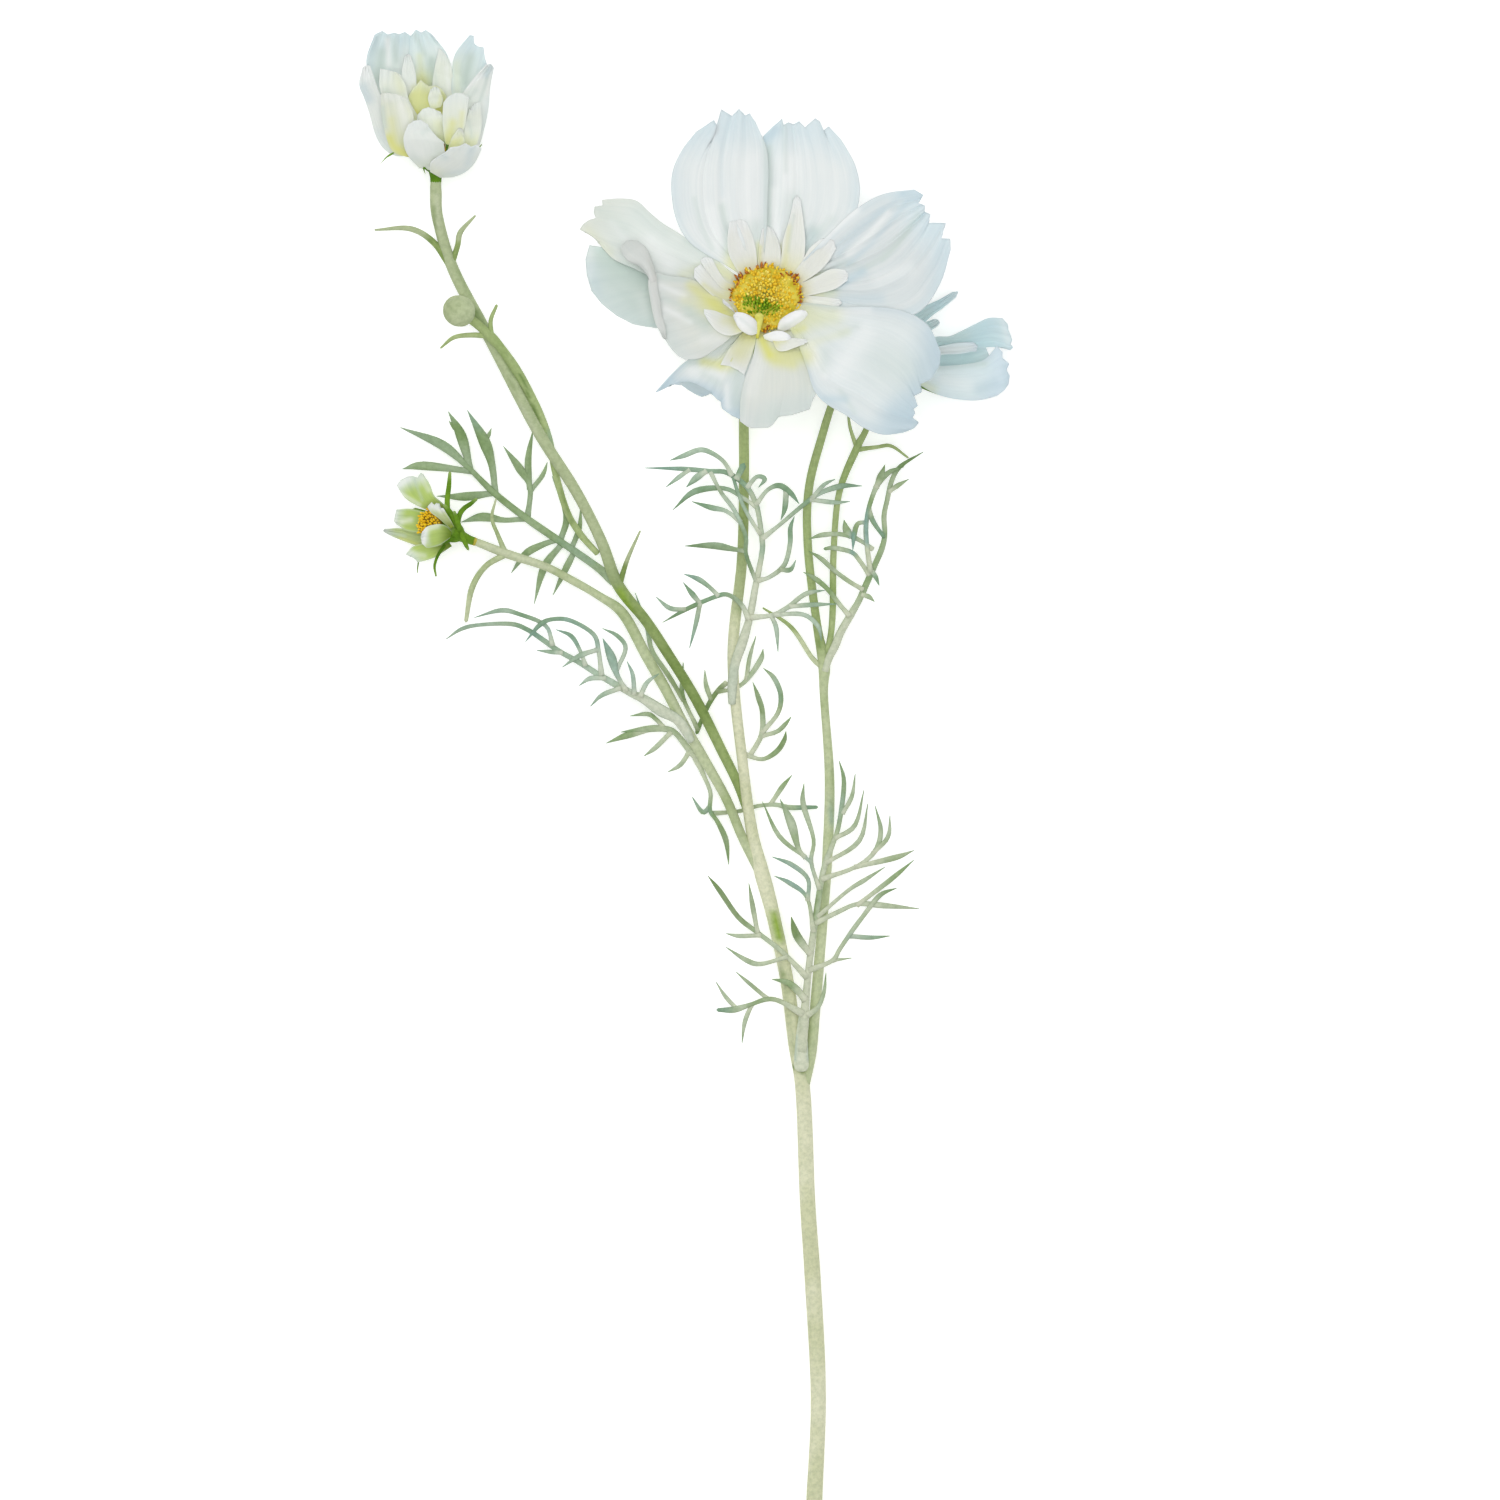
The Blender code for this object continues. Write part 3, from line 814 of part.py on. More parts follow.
    leaf("leaf_centre", [
        (9.6, 12.4, (-16.2, 208.8, 2.4), (-14.2, 215.0, 2.4), (-12.5, 221.0, 1.8), (-11.2, 228.0, 1.6),
         (-9.5, 236.8, 1.4), (-9.5, 240.2, 1.4), (-10.2, 245.5, 1.3), (-11.2, 249.5, 1.3),
         (-13.5, 253.5, 1.3), (-18.2, 256.8, 1.3), (-22.5, 257.2, 1.2), (-30.0, 257.8, 1.1),
         (-38.8, 258.0, 0.5)),
        (12.2, 12.6, (-17.0, 256.0, 1.0), (-19.0, 259.5, 1.1), (-22.2, 261.8, 1.2), (-25.2, 262.5, 1.3),
         (-29.2, 261.0, 1.2), (-32.5, 259.9, 0.5)),
        (12.2, 11.8, (-27.6, 257.6, 1.0), (-30.4, 255.6, 1.1), (-33.5, 253.2, 0.5)),
        (12.2, 11.6, (-23.4, 257.2, 1.1), (-25.8, 255.6, 1.8), (-28.4, 253.2, 0.5)),
        (12.0, 10.2, (-22.4, 257.0, 0.9), (-19.8, 252.0, 1.0), (-16.4, 247.4, 1.1), (-13.6, 241.0, 1.1),
         (-13.5, 236.5, 1.1), (-10.9, 229.4, 1.0)),
        (11.0, 11.6, (-10.8, 248.2, 1.0), (-14.4, 250.6, 1.0), (-19.0, 252.9, 1.2), (-26.4, 252.1, 1.6),
         (-31.8, 247.5, 0.5)),
        (11.2, 11.0, (-14.8, 244.4, 1.0), (-18.4, 247.2, 1.1), (-22.2, 248.1, 1.4), (-27.0, 249.6, 0.5)),
        (10.6, 10.2, (-13.5, 237.2, 1.0), (-16.6, 237.7, 1.2), (-21.6, 238.6, 1.8), (-28.8, 238.5, 0.5)),
        (11.0, 12.0, (-9.9, 241.4, 0.9), (-12.6, 245.6, 1.0), (-15.0, 250.4, 1.0), (-16.8, 255.9, 0.8)),
        (12.2, 12.4, (-15.9, 255.2, 1.4), (-14.2, 258.6, 1.6)),
        (11.5, 12.0, (-13.3, 253.1, 1.1), (-10.8, 255.8, 1.1), (-8.8, 255.2, 1.2), (-10.4, 253.1, 0.5)),
        (11.4, 11.4, (-11.0, 248.8, 1.0), (-8.2, 252.4, 1.1), (-5.2, 253.6, 1.4), (-2.4, 251.8, 1.4),
         (-0.2, 249.0, 0.5)),
        (11.4, 11.2, (-3.4, 252.6, 1.3), (-3.8, 247.9, 1.3), (-4.8, 245.0, 0.5)),
        (10.8, 11.6, (-9.4, 240.4, 1.1), (-4.6, 244.2, 1.1), (1.0, 248.9, 1.1), (5.2, 251.8, 1.2),
         (10.5, 253.5, 1.4), (15.6, 253.5, 0.5)),
        (11.4, 11.8, (3.0, 250.4, 1.0), (6.0, 253.8, 1.1), (8.8, 255.2, 0.5)),
        (11.2, 11.6, (2.6, 250.1, 1.0), (8.5, 249.4, 1.1), (12.5, 249.6, 0.5)),
        (10.6, 11.0, (-10.6, 229.8, 1.1), (-7.5, 230.8, 1.1), (-3.9, 233.8, 1.2), (-2.5, 239.0, 1.2),
         (-2.4, 243.0, 1.2), (-1.4, 245.9, 0.5)),
        (10.8, 11.0, (-5.0, 232.6, 1.0), (-2.4, 232.6, 1.2), (-1.0, 235.0, 0.5)),
        (10.2, 12.2, (-12.3, 220.6, 1.2), (-7.0, 221.2, 1.2), (-3.0, 223.2, 1.2), (0.5, 226.0, 1.2),
         (3.0, 227.0, 1.1), (6.2, 227.4, 0.5)),
        (11.4, 12.2, (-2.6, 223.4, 1.0), (3.0, 223.8, 1.2), (9.2, 224.0, 0.5)),
        (11.0, 12.2, (-6.6, 221.3, 1.0), (0.6, 221.4, 1.1), (4.4, 218.6, 1.2), (5.4, 214.8, 0.5)),
        (10.6, 10.6, (-7.2, 221.1, 1.0), (-5.9, 217.8, 1.2), (-5.5, 212.0, 0.5)),
        (10.2, 10.2, (-12.8, 220.2, 1.2), (-14.7, 223.9, 1.2), (-18.0, 226.3, 1.2), (-21.2, 225.8, 1.1),
         (-28.2, 222.8, 1.1), (-34.3, 219.4, 0.5)),
        (10.2, 10.2, (-20.4, 226.0, 1.0), (-22.6, 228.2, 1.1), (-25.4, 230.2, 1.3), (-29.0, 231.5, 0.5)),
        (10.2, 10.2, (-25.0, 224.2, 1.0), (-27.0, 226.6, 1.3), (-29.2, 229.4, 0.5)),
        (10.2, 10.2, (-25.0, 224.2, 1.0), (-26.0, 219.2, 1.2), (-27.6, 213.0, 0.5)),
        (10.2, 10.2, (-28.6, 222.6, 1.0), (-32.6, 223.0, 1.2), (-36.0, 225.8, 0.5)),
    ])

    leaf("leaf_centre_low", [
        (5.2, 2.6, (-18.3, 204.4, 1.4), (-20.4, 202.5, 1.3), (-22.8, 199.0, 1.2), (-24.8, 194.5, 1.1),
         (-25.8, 191.8, 1.0)),
        (4.0, 4.4, (-22.2, 200.0, 1.0), (-23.5, 203.8, 1.2), (-23.8, 207.5, 0.5)),
        (2.9, 3.2, (-25.4, 192.4, 1.0), (-29.2, 200.5, 1.1), (-29.4, 205.0, 1.1), (-29.2, 209.4, 0.5)),
        (3.2, 3.4, (-29.0, 199.8, 1.0), (-32.8, 206.0, 1.2), (-37.0, 212.4, 1.2), (-38.2, 218.0, 1.2),
         (-41.2, 226.8, 0.5)),
        (4.4, 6.4, (-20.8, 202.2, 1.1), (-16.5, 202.8, 1.0), (-13.2, 205.2, 1.1), (-9.9, 210.0, 1.4),
         (-9.2, 212.8, 0.5)),
        (5.6, 6.4, (-13.4, 205.0, 1.0), (-12.6, 210.6, 1.1), (-11.0, 216.0, 0.5)),
    ])

    leaf("leaf_centre_right", [
        (6.2, 7.4, (-12.4, 186.2, 1.3), (-9.6, 191.4, 1.3), (-9.4, 197.0, 1.3), (-10.4, 200.6, 1.3),
         (-11.8, 204.5, 0.5)),
        (6.8, 7.8, (-9.6, 191.8, 1.1), (-5.6, 196.6, 1.2), (-4.8, 201.2, 1.2), (-6.5, 205.5, 1.2),
         (-9.2, 208.0, 0.5)),
        (6.6, 7.0, (-9.8, 191.0, 1.1), (-6.0, 192.0, 1.1), (-4.0, 193.6, 1.2), (-2.2, 195.8, 0.5)),
        (6.3, 6.6, (-12.0, 186.6, 1.1), (-9.5, 185.2, 1.1), (-6.0, 187.0, 1.3), (-4.0, 189.8, 1.2),
         (-3.5, 192.2, 0.5)),
    ])

    leaf("leaf_right", [
        (9.0, 11.8, (8.8, 213.4, 2.0), (10.2, 217.0, 2.0), (12.8, 221.5, 1.8), (14.8, 225.0, 1.7),
         (16.8, 229.5, 1.6), (18.8, 234.0, 1.5), (20.5, 238.0, 1.4), (21.2, 241.5, 1.3), (21.0, 246.0, 1.3),
         (21.8, 250.0, 1.3), (23.0, 255.0, 1.2), (25.2, 258.5, 1.1), (30.8, 262.0, 0.5)),
        (11.6, 11.8, (22.2, 252.0, 1.0), (24.4, 253.6, 1.2), (27.2, 255.2, 0.5)),
        (11.0, 12.0, (17.6, 232.0, 1.0), (16.5, 241.0, 1.2), (16.8, 246.0, 1.2), (17.8, 250.0, 1.2),
         (19.5, 254.0, 1.4), (22.4, 257.0, 1.2), (26.0, 258.3, 0.5)),
        (11.6, 11.8, (19.0, 253.0, 1.2), (20.2, 255.8, 1.8), (21.2, 258.8, 0.5)),
        (11.2, 11.2, (16.7, 244.4, 1.0), (14.4, 244.0, 1.1), (13.5, 241.0, 1.3), (13.2, 237.4, 0.5)),
        (11.2, 11.2, (17.2, 248.0, 1.0), (18.2, 244.8, 1.3), (20.9, 240.8, 0.9)),
        (10.8, 10.8, (18.2, 237.6, 1.0), (16.0, 239.3, 1.1), (12.8, 240.9, 1.2), (9.2, 241.5, 1.1),
         (5.2, 241.2, 1.2), (2.2, 240.2, 0.6)),
        (10.8, 10.8, (12.9, 240.7, 1.2), (11.6, 242.6, 2.0), (11.0, 245.0, 0.6)),
        (10.1, 10.5, (17.4, 231.2, 1.1), (14.8, 235.0, 1.1), (12.8, 237.0, 1.2), (8.5, 238.0, 1.2),
         (6.2, 237.8, 0.8)),
        (10.4, 10.4, (15.8, 227.6, 1.0), (12.5, 229.5, 1.1), (8.8, 232.2, 1.2), (5.2, 235.4, 1.2),
         (2.2, 237.2, 0.5)),
        (10.6, 10.8, (18.0, 232.2, 1.0), (19.0, 230.6, 1.2), (19.8, 228.6, 0.5)),
        (10.4, 10.6, (15.4, 226.4, 1.0), (17.2, 225.8, 1.2), (18.6, 224.6, 0.5)),
        (9.9, 10.2, (12.4, 221.0, 1.2), (9.8, 224.0, 1.2), (7.0, 227.6, 1.2), (4.0, 230.2, 1.3),
         (0.8, 232.0, 0.5)),
    ])


clear_scene()
SPRAY = bpy.data.collections.new("cosmos_spray")
bpy.context.scene.collection.children.link(SPRAY)
ROOT = bpy.data.objects.new("spray_root", None)
ROOT.location = SHIFT * MM
SPRAY.objects.link(ROOT)

make_stems()
make_main_bloom()
make_upper_bloom()
make_back_bloom()
make_small_bloom()
make_leaves()
bud("bud_round", (-85.2, 297.2, 15.8), 3.9, (-0.76, 0.54, 0.36))
bud("bud_behind_bloom", (11.2, 280.6, 12.6), 3.6, (0.5, 0.8, 0.33))
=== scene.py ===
"""A picked spray of white cosmos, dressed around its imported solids: fine petals, stamens, stems, leaves.

Outlines are in millimetres in the spray's own drawing frame: x across, y from the cut end to the blooms,
z up from the floor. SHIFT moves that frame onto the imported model's. Blender's own units are metres.
"""

import math
import random

import bpy
import numpy as np
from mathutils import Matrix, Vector


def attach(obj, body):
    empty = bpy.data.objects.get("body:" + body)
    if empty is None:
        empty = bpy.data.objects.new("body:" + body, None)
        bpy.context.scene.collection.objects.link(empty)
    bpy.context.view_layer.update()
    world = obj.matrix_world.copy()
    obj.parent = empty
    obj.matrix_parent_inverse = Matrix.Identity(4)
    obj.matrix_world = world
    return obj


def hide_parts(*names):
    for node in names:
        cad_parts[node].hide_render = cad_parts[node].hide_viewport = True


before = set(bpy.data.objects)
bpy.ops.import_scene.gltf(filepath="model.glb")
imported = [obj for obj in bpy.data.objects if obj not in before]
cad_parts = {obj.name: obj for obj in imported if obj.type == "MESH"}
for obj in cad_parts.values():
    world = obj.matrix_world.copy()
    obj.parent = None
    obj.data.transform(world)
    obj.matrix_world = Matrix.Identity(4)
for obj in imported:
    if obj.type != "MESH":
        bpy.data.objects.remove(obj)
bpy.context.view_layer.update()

# The drawing frame's scale and its shift in millimetres, and the names of the layers that the skins read.
MM = 0.001
SHIFT = np.array((28.33, -168.67, 0))
UV_NAME = "grown"
# The tint layer carries the pieces' own colour marks together with painted shade and painted highlights.
TINT_NAME = "tint_and_painted_light"
# One source of chance for the whole spray: the pieces draw from it in the order in which they are made.
chance = random.Random(7)

# Petals: thickness in millimetres, the least number of points along an edge, how suddenly the teeth of the
# tip set in, where along the petal its arch stops falling, and the shares kept free of ribs.
PETAL_THICKNESS = 0.34
SHORT_PETAL_THICKNESS = 0.16
EDGE_KNOTS = 5
TIP_SHARPNESS = 6
ARCH_HOLDS_FROM = 0.85
RIM_WITHOUT_RIBS = 0.12
PLAIN_BASE = 0.3

# Tubes and turned pieces: least widths in millimetres, the length of a flared start as a share of the
# tube, and how far the ends stand out as shares of the width.
LEAST_WIDTH = 0.12
LEAFLET_TIP_WIDTH = 0.16
FLARE_LENGTH = 0.14
START_CAP = 0.15
END_CAP = 0.5
LEAST_RADIUS = 0.02
RIPPLES_ROUND = 9

# The open bloom's cup: its middle, how far it leans back, how steeply it opens, how much steeper it is
# along y, and how deep and how wide its middle dips.
MAIN_CENTRE = (-8.25, 300, 24)
MAIN_LEAN = 0.45
MAIN_CUP = 0.3
MAIN_STRETCH = 1.1
MAIN_TUCK = 4
TUCK_RADIUS = 9

# The open bloom's disc, and the fan of unopened green florets in it: the reach for each angle in degrees.
DISC_AXIS = (0, MAIN_LEAN, 1)
DISC_FOOT = np.array((-8.4, 298, 22.9))
DISC_TOP = 6.2
DISC_RADIUS = 8.7
DISC_FLORETS = 420
RIM_FLORETS = 54
GOLDEN_ANGLE = 2.39996
FAN_APEX = (-2, -5.6)
FAN_REACH = {0: 0, 10: 4, 25: 6, 50: 5, 75: 4, 100: 4.6, 120: 6.4, 145: 4.6, 160: 2.4, 175: 0}
# Shares of the florets: green ones in the fan, pale ones elsewhere, and those left out past SPARSE_FROM.
FAN_FILLED = 0.93
PALE_FLORETS = 0.35
SPARSE_FROM = 0.72
SPARSE_LEFT_OUT = 0.4
# Below the lip the disc grows narrower and longer.
DISC_LIP = -4
LIP_NARROWS = 0.86
LIP_LENGTHENS = 1.06
# The fringe of brown stamens, in arcs of (first angle, last angle, radius, count).
STAMEN_ARCS = (
    (95, 148, 9.4, 20), (158, 194, 10.2, 16), (24, 52, 9, 9), (-24, 16, 9.4, 9), (264, 280, 9.2, 5),
)

# A closed bud: the number of its seams, how far round from its top they run (in radians), how deep they
# are, and how long the bud is, as shares of its radius.
BUD_SEAMS = 8
BUD_SEAMS_END = 2.2
BUD_SEAM_DEPTH = 0.045
BUD_LENGTH = 1.06

# The stage, in metres.
VIEW_HEIGHT = 0.375
VIEW_CENTRE = ((-12.5 + SHIFT[0]) * MM, (187.5 + SHIFT[1]) * MM)
CAMERA_DISTANCE = 10
FOCUS_HEIGHT = 0.01
FLOOR_REACH = 4
FLOOR_DROP = 0.0004
FLOOR_GLOW = 0.32
WORLD_LIGHT = 0.46
LAMPS = {
    # name: (place, diameter, power in watts)
    "top": ((0, 0.1, 2.2), 1, 17),
    "key": ((-0.9, 1.1, 1.6), 1.2, 9),
    "fill": ((1.2, -0.4, 1.6), 1.4, 3),
}
LAMPS_AIM = Vector((0, 0.05, 0))


# ---------------------------------------------------------------- materials

WHITE = (1, 1, 1, 1)
GREY = (0.45, 0.45, 0.45, 1)
BLACK = (0, 0, 0, 1)
VEIN_TINT = (0.84, 0.88, 0.90, 1)
DOWN_DARK = (0.80, 0.84, 0.78, 1)
DOWN_LIGHT = (1.06, 1.06, 1.04, 1)
SHEEN = 0.25
CLOUD_SCALE = 70
DOWN_SCALE = 900

# Petal skins: colours of base, blade and tip, where the blade's colour is full, and the veins' strength
# and number. The cooler, darker tip colour also runs along the rim as painted shade.
PETAL_SKINS = {
    "cool": ((222, 225, 208), (227, 231, 230), (214, 225, 228), 0.3, 0.42, 46),
    "ribbed": ((216, 219, 202), (217, 222, 222), (213, 225, 229), 0.26, 0.6, 40),
    "soft": ((212, 216, 180), (222, 228, 228), (194, 208, 215), 0.34, 0.35, 60),
    "warm": ((214, 217, 176), (218, 221, 214), (216, 220, 217), 0.36, 0.35, 30),
    "mint": ((220, 223, 204), (223, 229, 224), (220, 224, 216), 0.3, 0.3, 30),
    "aqua": ((212, 220, 198), (204, 215, 208), (207, 218, 215), 0.3, 0.4, 24),
    # under and under_blue, the skins of the rolled rims' undersides, are greyer and darker: painted shade.
    "under": ((216, 217, 213), (212, 215, 211), (206, 210, 206), 0.3, 0.25, 12),
    "under_blue": ((188, 200, 202), (182, 196, 199), (180, 195, 201), 0.3, 0.3, 12),
    "cream": ((228, 228, 176), (236, 238, 229), (237, 240, 238), 0.5, 0.3, 16),
    "white": ((234, 236, 228), (242, 243, 244), (236, 238, 241), 0.4, 0.15, 8),
    "cup": ((214, 217, 156), (223, 226, 206), (219, 223, 212), 0.55, 0.35, 14),
    "cup_pale": ((222, 226, 190), (229, 233, 222), (226, 231, 226), 0.45, 0.3, 14),
    "cup_grey": ((226, 230, 214), (228, 232, 227), (228, 233, 230), 0.4, 0.25, 12),
    "cup_blue": ((212, 220, 190), (225, 234, 231), (213, 227, 229), 0.4, 0.5, 16),
    "throat": ((208, 210, 126), (216, 219, 158), (222, 226, 196), 0.4, 0.4, 12),
    "blue": ((204, 218, 216), (198, 221, 225), (206, 222, 226), 0.3, 0.4, 20),
    "blue_pale": ((216, 227, 218), (219, 231, 234), (210, 223, 231), 0.3, 0.3, 20),
    # The lime skins' dark green base is partly the petals' own green and partly painted shade near the
    # calyx.
    "lime": ((108, 134, 30), (182, 203, 114), (208, 219, 202), 0.55, 0.8, 14),
    "lime_pale": ((132, 150, 48), (190, 202, 146), (210, 218, 208), 0.5, 0.7, 12),
}

# Stem and leaf skins: light and dark patches, the tip, where the tip's colour starts and is full, and
# the root, if it differs.
GREEN_SKINS = {
    "stem": ((220, 221, 192), (207, 210, 174), (166, 180, 124), 0.64, 0.7),
    "stem_right": ((198, 206, 170), (178, 191, 146), (162, 179, 122), 0.55, 0.64),
    "stem_mid": ((190, 200, 162), (166, 181, 132), (196, 203, 168), 0.7, 1),
    "stem_green": ((172, 187, 134), (152, 172, 110), (162, 178, 122), 0.7, 1),
    "stem_dark": ((152, 170, 110), (126, 148, 82), (176, 187, 148), 0.38, 0.5),
    "leaf": ((182, 195, 168), (142, 166, 118), (128, 156, 112), 0.7, 1, (202, 208, 184)),
    "leaf_teal": ((178, 196, 178), (134, 163, 132), (128, 158, 134), 0.7, 1, (200, 208, 190)),
    "leaf_deep": ((156, 176, 138), (126, 152, 100), (148, 170, 140), 0.7, 1, (158, 176, 146)),
    "sepal": ((112, 152, 34), (80, 122, 12), (140, 168, 90), 0.8, 1),
    "sleeve": ((220, 223, 204), (206, 212, 188), (180, 192, 168), 0.7, 1),
    "bud": ((188, 198, 160), (168, 180, 138), (176, 186, 140), 0.9, 1),
}

# Stamens, florets and small yellow parts: two close colours and the scale of their patches.
PLAIN_SKINS = {
    "gold": ((244, 214, 64), (226, 182, 30), 900),
    "rust": ((214, 140, 54), (146, 76, 30), 900),
    "floret": ((252, 236, 124), (236, 210, 60), 700),
    "cushion": ((222, 208, 84), (200, 184, 44), 420),
    "heart": ((158, 190, 36), (92, 140, 12), 900),
    "amber": ((250, 214, 40), (226, 180, 16), 900),
    "brown": ((150, 122, 22), (104, 82, 10), 700),
    "ring": ((196, 186, 74), (160, 146, 40), 700),
    "funnel": ((222, 218, 116), (206, 202, 84), 500),
}


def rgb(red, green, blue):
    """A linear colour from display values of 0 to 255."""
    linear = []
    for value in (red, green, blue):
        value /= 255
        linear.append(value / 12.92 if value < 0.04 else ((value + 0.055) / 1.055) ** 2.4)
    return (*linear, 1)


def node(tree, kind, inputs=(), **settings):
    """A shader node. inputs pairs each socket, by name or number, with a value or another node's socket."""
    made = tree.nodes.new("ShaderNode" + kind)
    for key, value in settings.items():
        setattr(made, key, value)
    for key, value in inputs:
        if isinstance(value, bpy.types.NodeSocket):
            tree.links.new(value, made.inputs[key])
        else:
            made.inputs[key].default_value = value
    return made


def ramp(tree, factor, *stops, ease=False):
    """A colour ramp through (place, colour) stops."""
    made = node(tree, "ValToRGB", [("Fac", factor)])
    made.color_ramp.interpolation = "EASE" if ease else "LINEAR"
    elements = made.color_ramp.elements
    while len(elements) < len(stops):
        elements.new(0.5)
    for element, (place, colour) in zip(elements, stops):
        element.position = place
        element.color = colour
    return made.outputs["Color"]


def value_of(tree, colour):
    """The brightness of a colour socket, as a number."""
    return node(tree, "RGBToBW", [(0, colour)]).outputs[0]


def mixed(tree, factor, first, second, blend="MIX"):
    """The second colour laid over the first by factor."""
    made = node(tree, "Mix", [(0, factor), (6, first), (7, second)], data_type="RGBA", blend_type=blend)
    return made.outputs[2]


def number(tree, operation, *values):
    """The result of one step of arithmetic on sockets or numbers."""
    made = node(tree, "Math", list(enumerate(values)), operation=operation)
    return made.outputs[0]


def noise(tree, vector, scale, detail=2, roughness=0.5):
    """Soft noise from 0 to 1 at a place. A larger scale makes finer patches."""
    inputs = [("Vector", vector), ("Scale", scale), ("Detail", detail), ("Roughness", roughness)]
    return node(tree, "TexNoise", inputs).outputs["Fac"]


def model_place(tree):
    """The surface point's place in the model, in metres."""
    return node(tree, "TexCoord").outputs["Object"]


def grown_place(tree):
    """How far across its piece and how far along it the surface point lies, each from 0 to 1."""
    place = node(tree, "SeparateXYZ", [(0, node(tree, "UVMap", uv_map=UV_NAME).outputs[0])])
    return place.outputs[0], place.outputs[1]


def start_look(name, roughness, subsurface, depth):
    """A material with its node tree and its shader. Light spreads depth millimetres under the skin."""
    made = bpy.data.materials.new(name)
    made.use_nodes = True
    tree = made.node_tree
    shader = tree.nodes["Principled BSDF"]
    shader.inputs["Roughness"].default_value = roughness
    shader.inputs["Specular IOR Level"].default_value = SHEEN
    shader.inputs["Subsurface Weight"].default_value = subsurface
    shader.inputs["Subsurface Radius"].default_value = (1, 1, 1)
    shader.inputs["Subsurface Scale"].default_value = depth * MM
    return made, tree, shader


def bump(tree, shader, height, strength, distance):
    """Lets a height socket shade the surface as fine relief, distance millimetres deep."""
    made = node(tree, "Bump", [("Height", height), ("Strength", strength), ("Distance", distance * MM)])
    tree.links.new(made.outputs[0], shader.inputs["Normal"])


def painted(tree, skin, **paints):
    """A skin with the tint attribute's channels painted over it in turn, each in its own colour."""
    tint_and_painted_light = node(tree, "Attribute", attribute_name=TINT_NAME)
    channels = node(tree, "SeparateColor", [("Color", tint_and_painted_light.outputs["Color"])])
    for channel, colour in paints.items():
        source = tint_and_painted_light if channel == "Alpha" else channels
        skin = mixed(tree, source.outputs[channel], skin, rgb(*colour))
    return skin


def petal_look(name, base, middle, tip, reach, streak, lines):
    """Petal skin: a tinted base that fades into a pale blade, a cooler, darker tip and rim painted on as
    shade, and fine veins. The tint attribute brushes on yellow (red channel), painted grey-green shade
    (green), painted blue shade (blue) and painted white highlights (alpha)."""
    base, middle, tip = (rgb(*colour) for colour in (base, middle, tip))
    made, tree, shader = start_look(name, roughness=0.62, subsurface=0.35, depth=0.7)
    across, along_it = grown_place(tree)
    cloud = noise(tree, model_place(tree), CLOUD_SCALE)
    drift = number(tree, "MULTIPLY", number(tree, "SUBTRACT", cloud, 0.5), 0.18)
    shifted = number(tree, "ADD", along_it, drift)
    # The cooler, darker tip colour, here and along the rim below, is painted shade towards the tip and
    # edges.
    skin = ramp(tree, shifted, (0, base), (reach, middle), (0.74, middle), (1, tip), ease=True)
    off_centre = number(tree, "ABSOLUTE", number(tree, "SUBTRACT", across, 0.5))
    rim = ramp(tree, off_centre, (0.38, BLACK), (0.5, GREY), ease=True)
    skin = mixed(tree, value_of(tree, rim), skin, tip)
    veins = []
    for spread, stretch in ((1, 1.4), (0.34, 1)):
        fan = node(tree, "CombineXYZ", [
            (0, number(tree, "MULTIPLY", across, lines * spread)),
            (1, number(tree, "MULTIPLY", along_it, stretch)),
        ])
        veins.append(number(tree, "MULTIPLY", noise(tree, fan.outputs[0], 1), 0.5))
    both = number(tree, "ADD", *veins)
    vein = value_of(tree, ramp(tree, both, (0.38, WHITE), (0.60, BLACK)))
    skin = mixed(tree, number(tree, "MULTIPLY", vein, streak), skin, VEIN_TINT, "MULTIPLY")
    # Green and blue paint shade into creases, hollows and places under other petals, and alpha paints white
    # highlights; red is the petals' own yellow.
    skin = painted(tree, skin, Alpha=(241, 243, 242), Green=(196, 209, 203), Blue=(188, 206, 214),
                   Red=(218, 218, 128))
    tree.links.new(skin, shader.inputs["Base Color"])
    bump(tree, shader, both, strength=0.2, distance=0.25)
    return made


def green_look(name, light, dark, tip, tip_from, tip_to, root=None):
    """Stem or leaf skin: patches of two greens, a third towards the tip, a root and a fine downy grain.
    The tint attribute brushes on bright green (red channel), dark green (green), teal (blue) and straw
    (alpha). The dark green is mostly the plant's own and in places painted shade, as where the bud's
    shadow falls on its stem."""
    made, tree, shader = start_look(name, roughness=0.78, subsurface=0.08, depth=0.5)
    along_it = grown_place(tree)[1]
    place = model_place(tree)
    patch = noise(tree, place, CLOUD_SCALE, detail=3, roughness=0.55)
    skin = ramp(tree, patch, (0.40, rgb(*dark)), (0.58, rgb(*light)))
    if root:
        start = ramp(tree, along_it, (0.05, WHITE), (0.45, BLACK))
        skin = mixed(tree, value_of(tree, start), skin, rgb(*root))
    end = ramp(tree, along_it, (tip_from, BLACK), (tip_to, WHITE))
    skin = mixed(tree, value_of(tree, end), skin, rgb(*tip))
    skin = painted(tree, skin, Alpha=(210, 213, 192), Blue=(130, 166, 160), Green=(104, 132, 66),
                   Red=(140, 170, 56))
    down = noise(tree, place, DOWN_SCALE, roughness=0.7)
    speck = ramp(tree, down, (0.3, DOWN_DARK), (0.62, DOWN_LIGHT))
    tree.links.new(mixed(tree, 0.8, skin, speck, "MULTIPLY"), shader.inputs["Base Color"])
    bump(tree, shader, down, strength=0.5, distance=0.12)
    return made


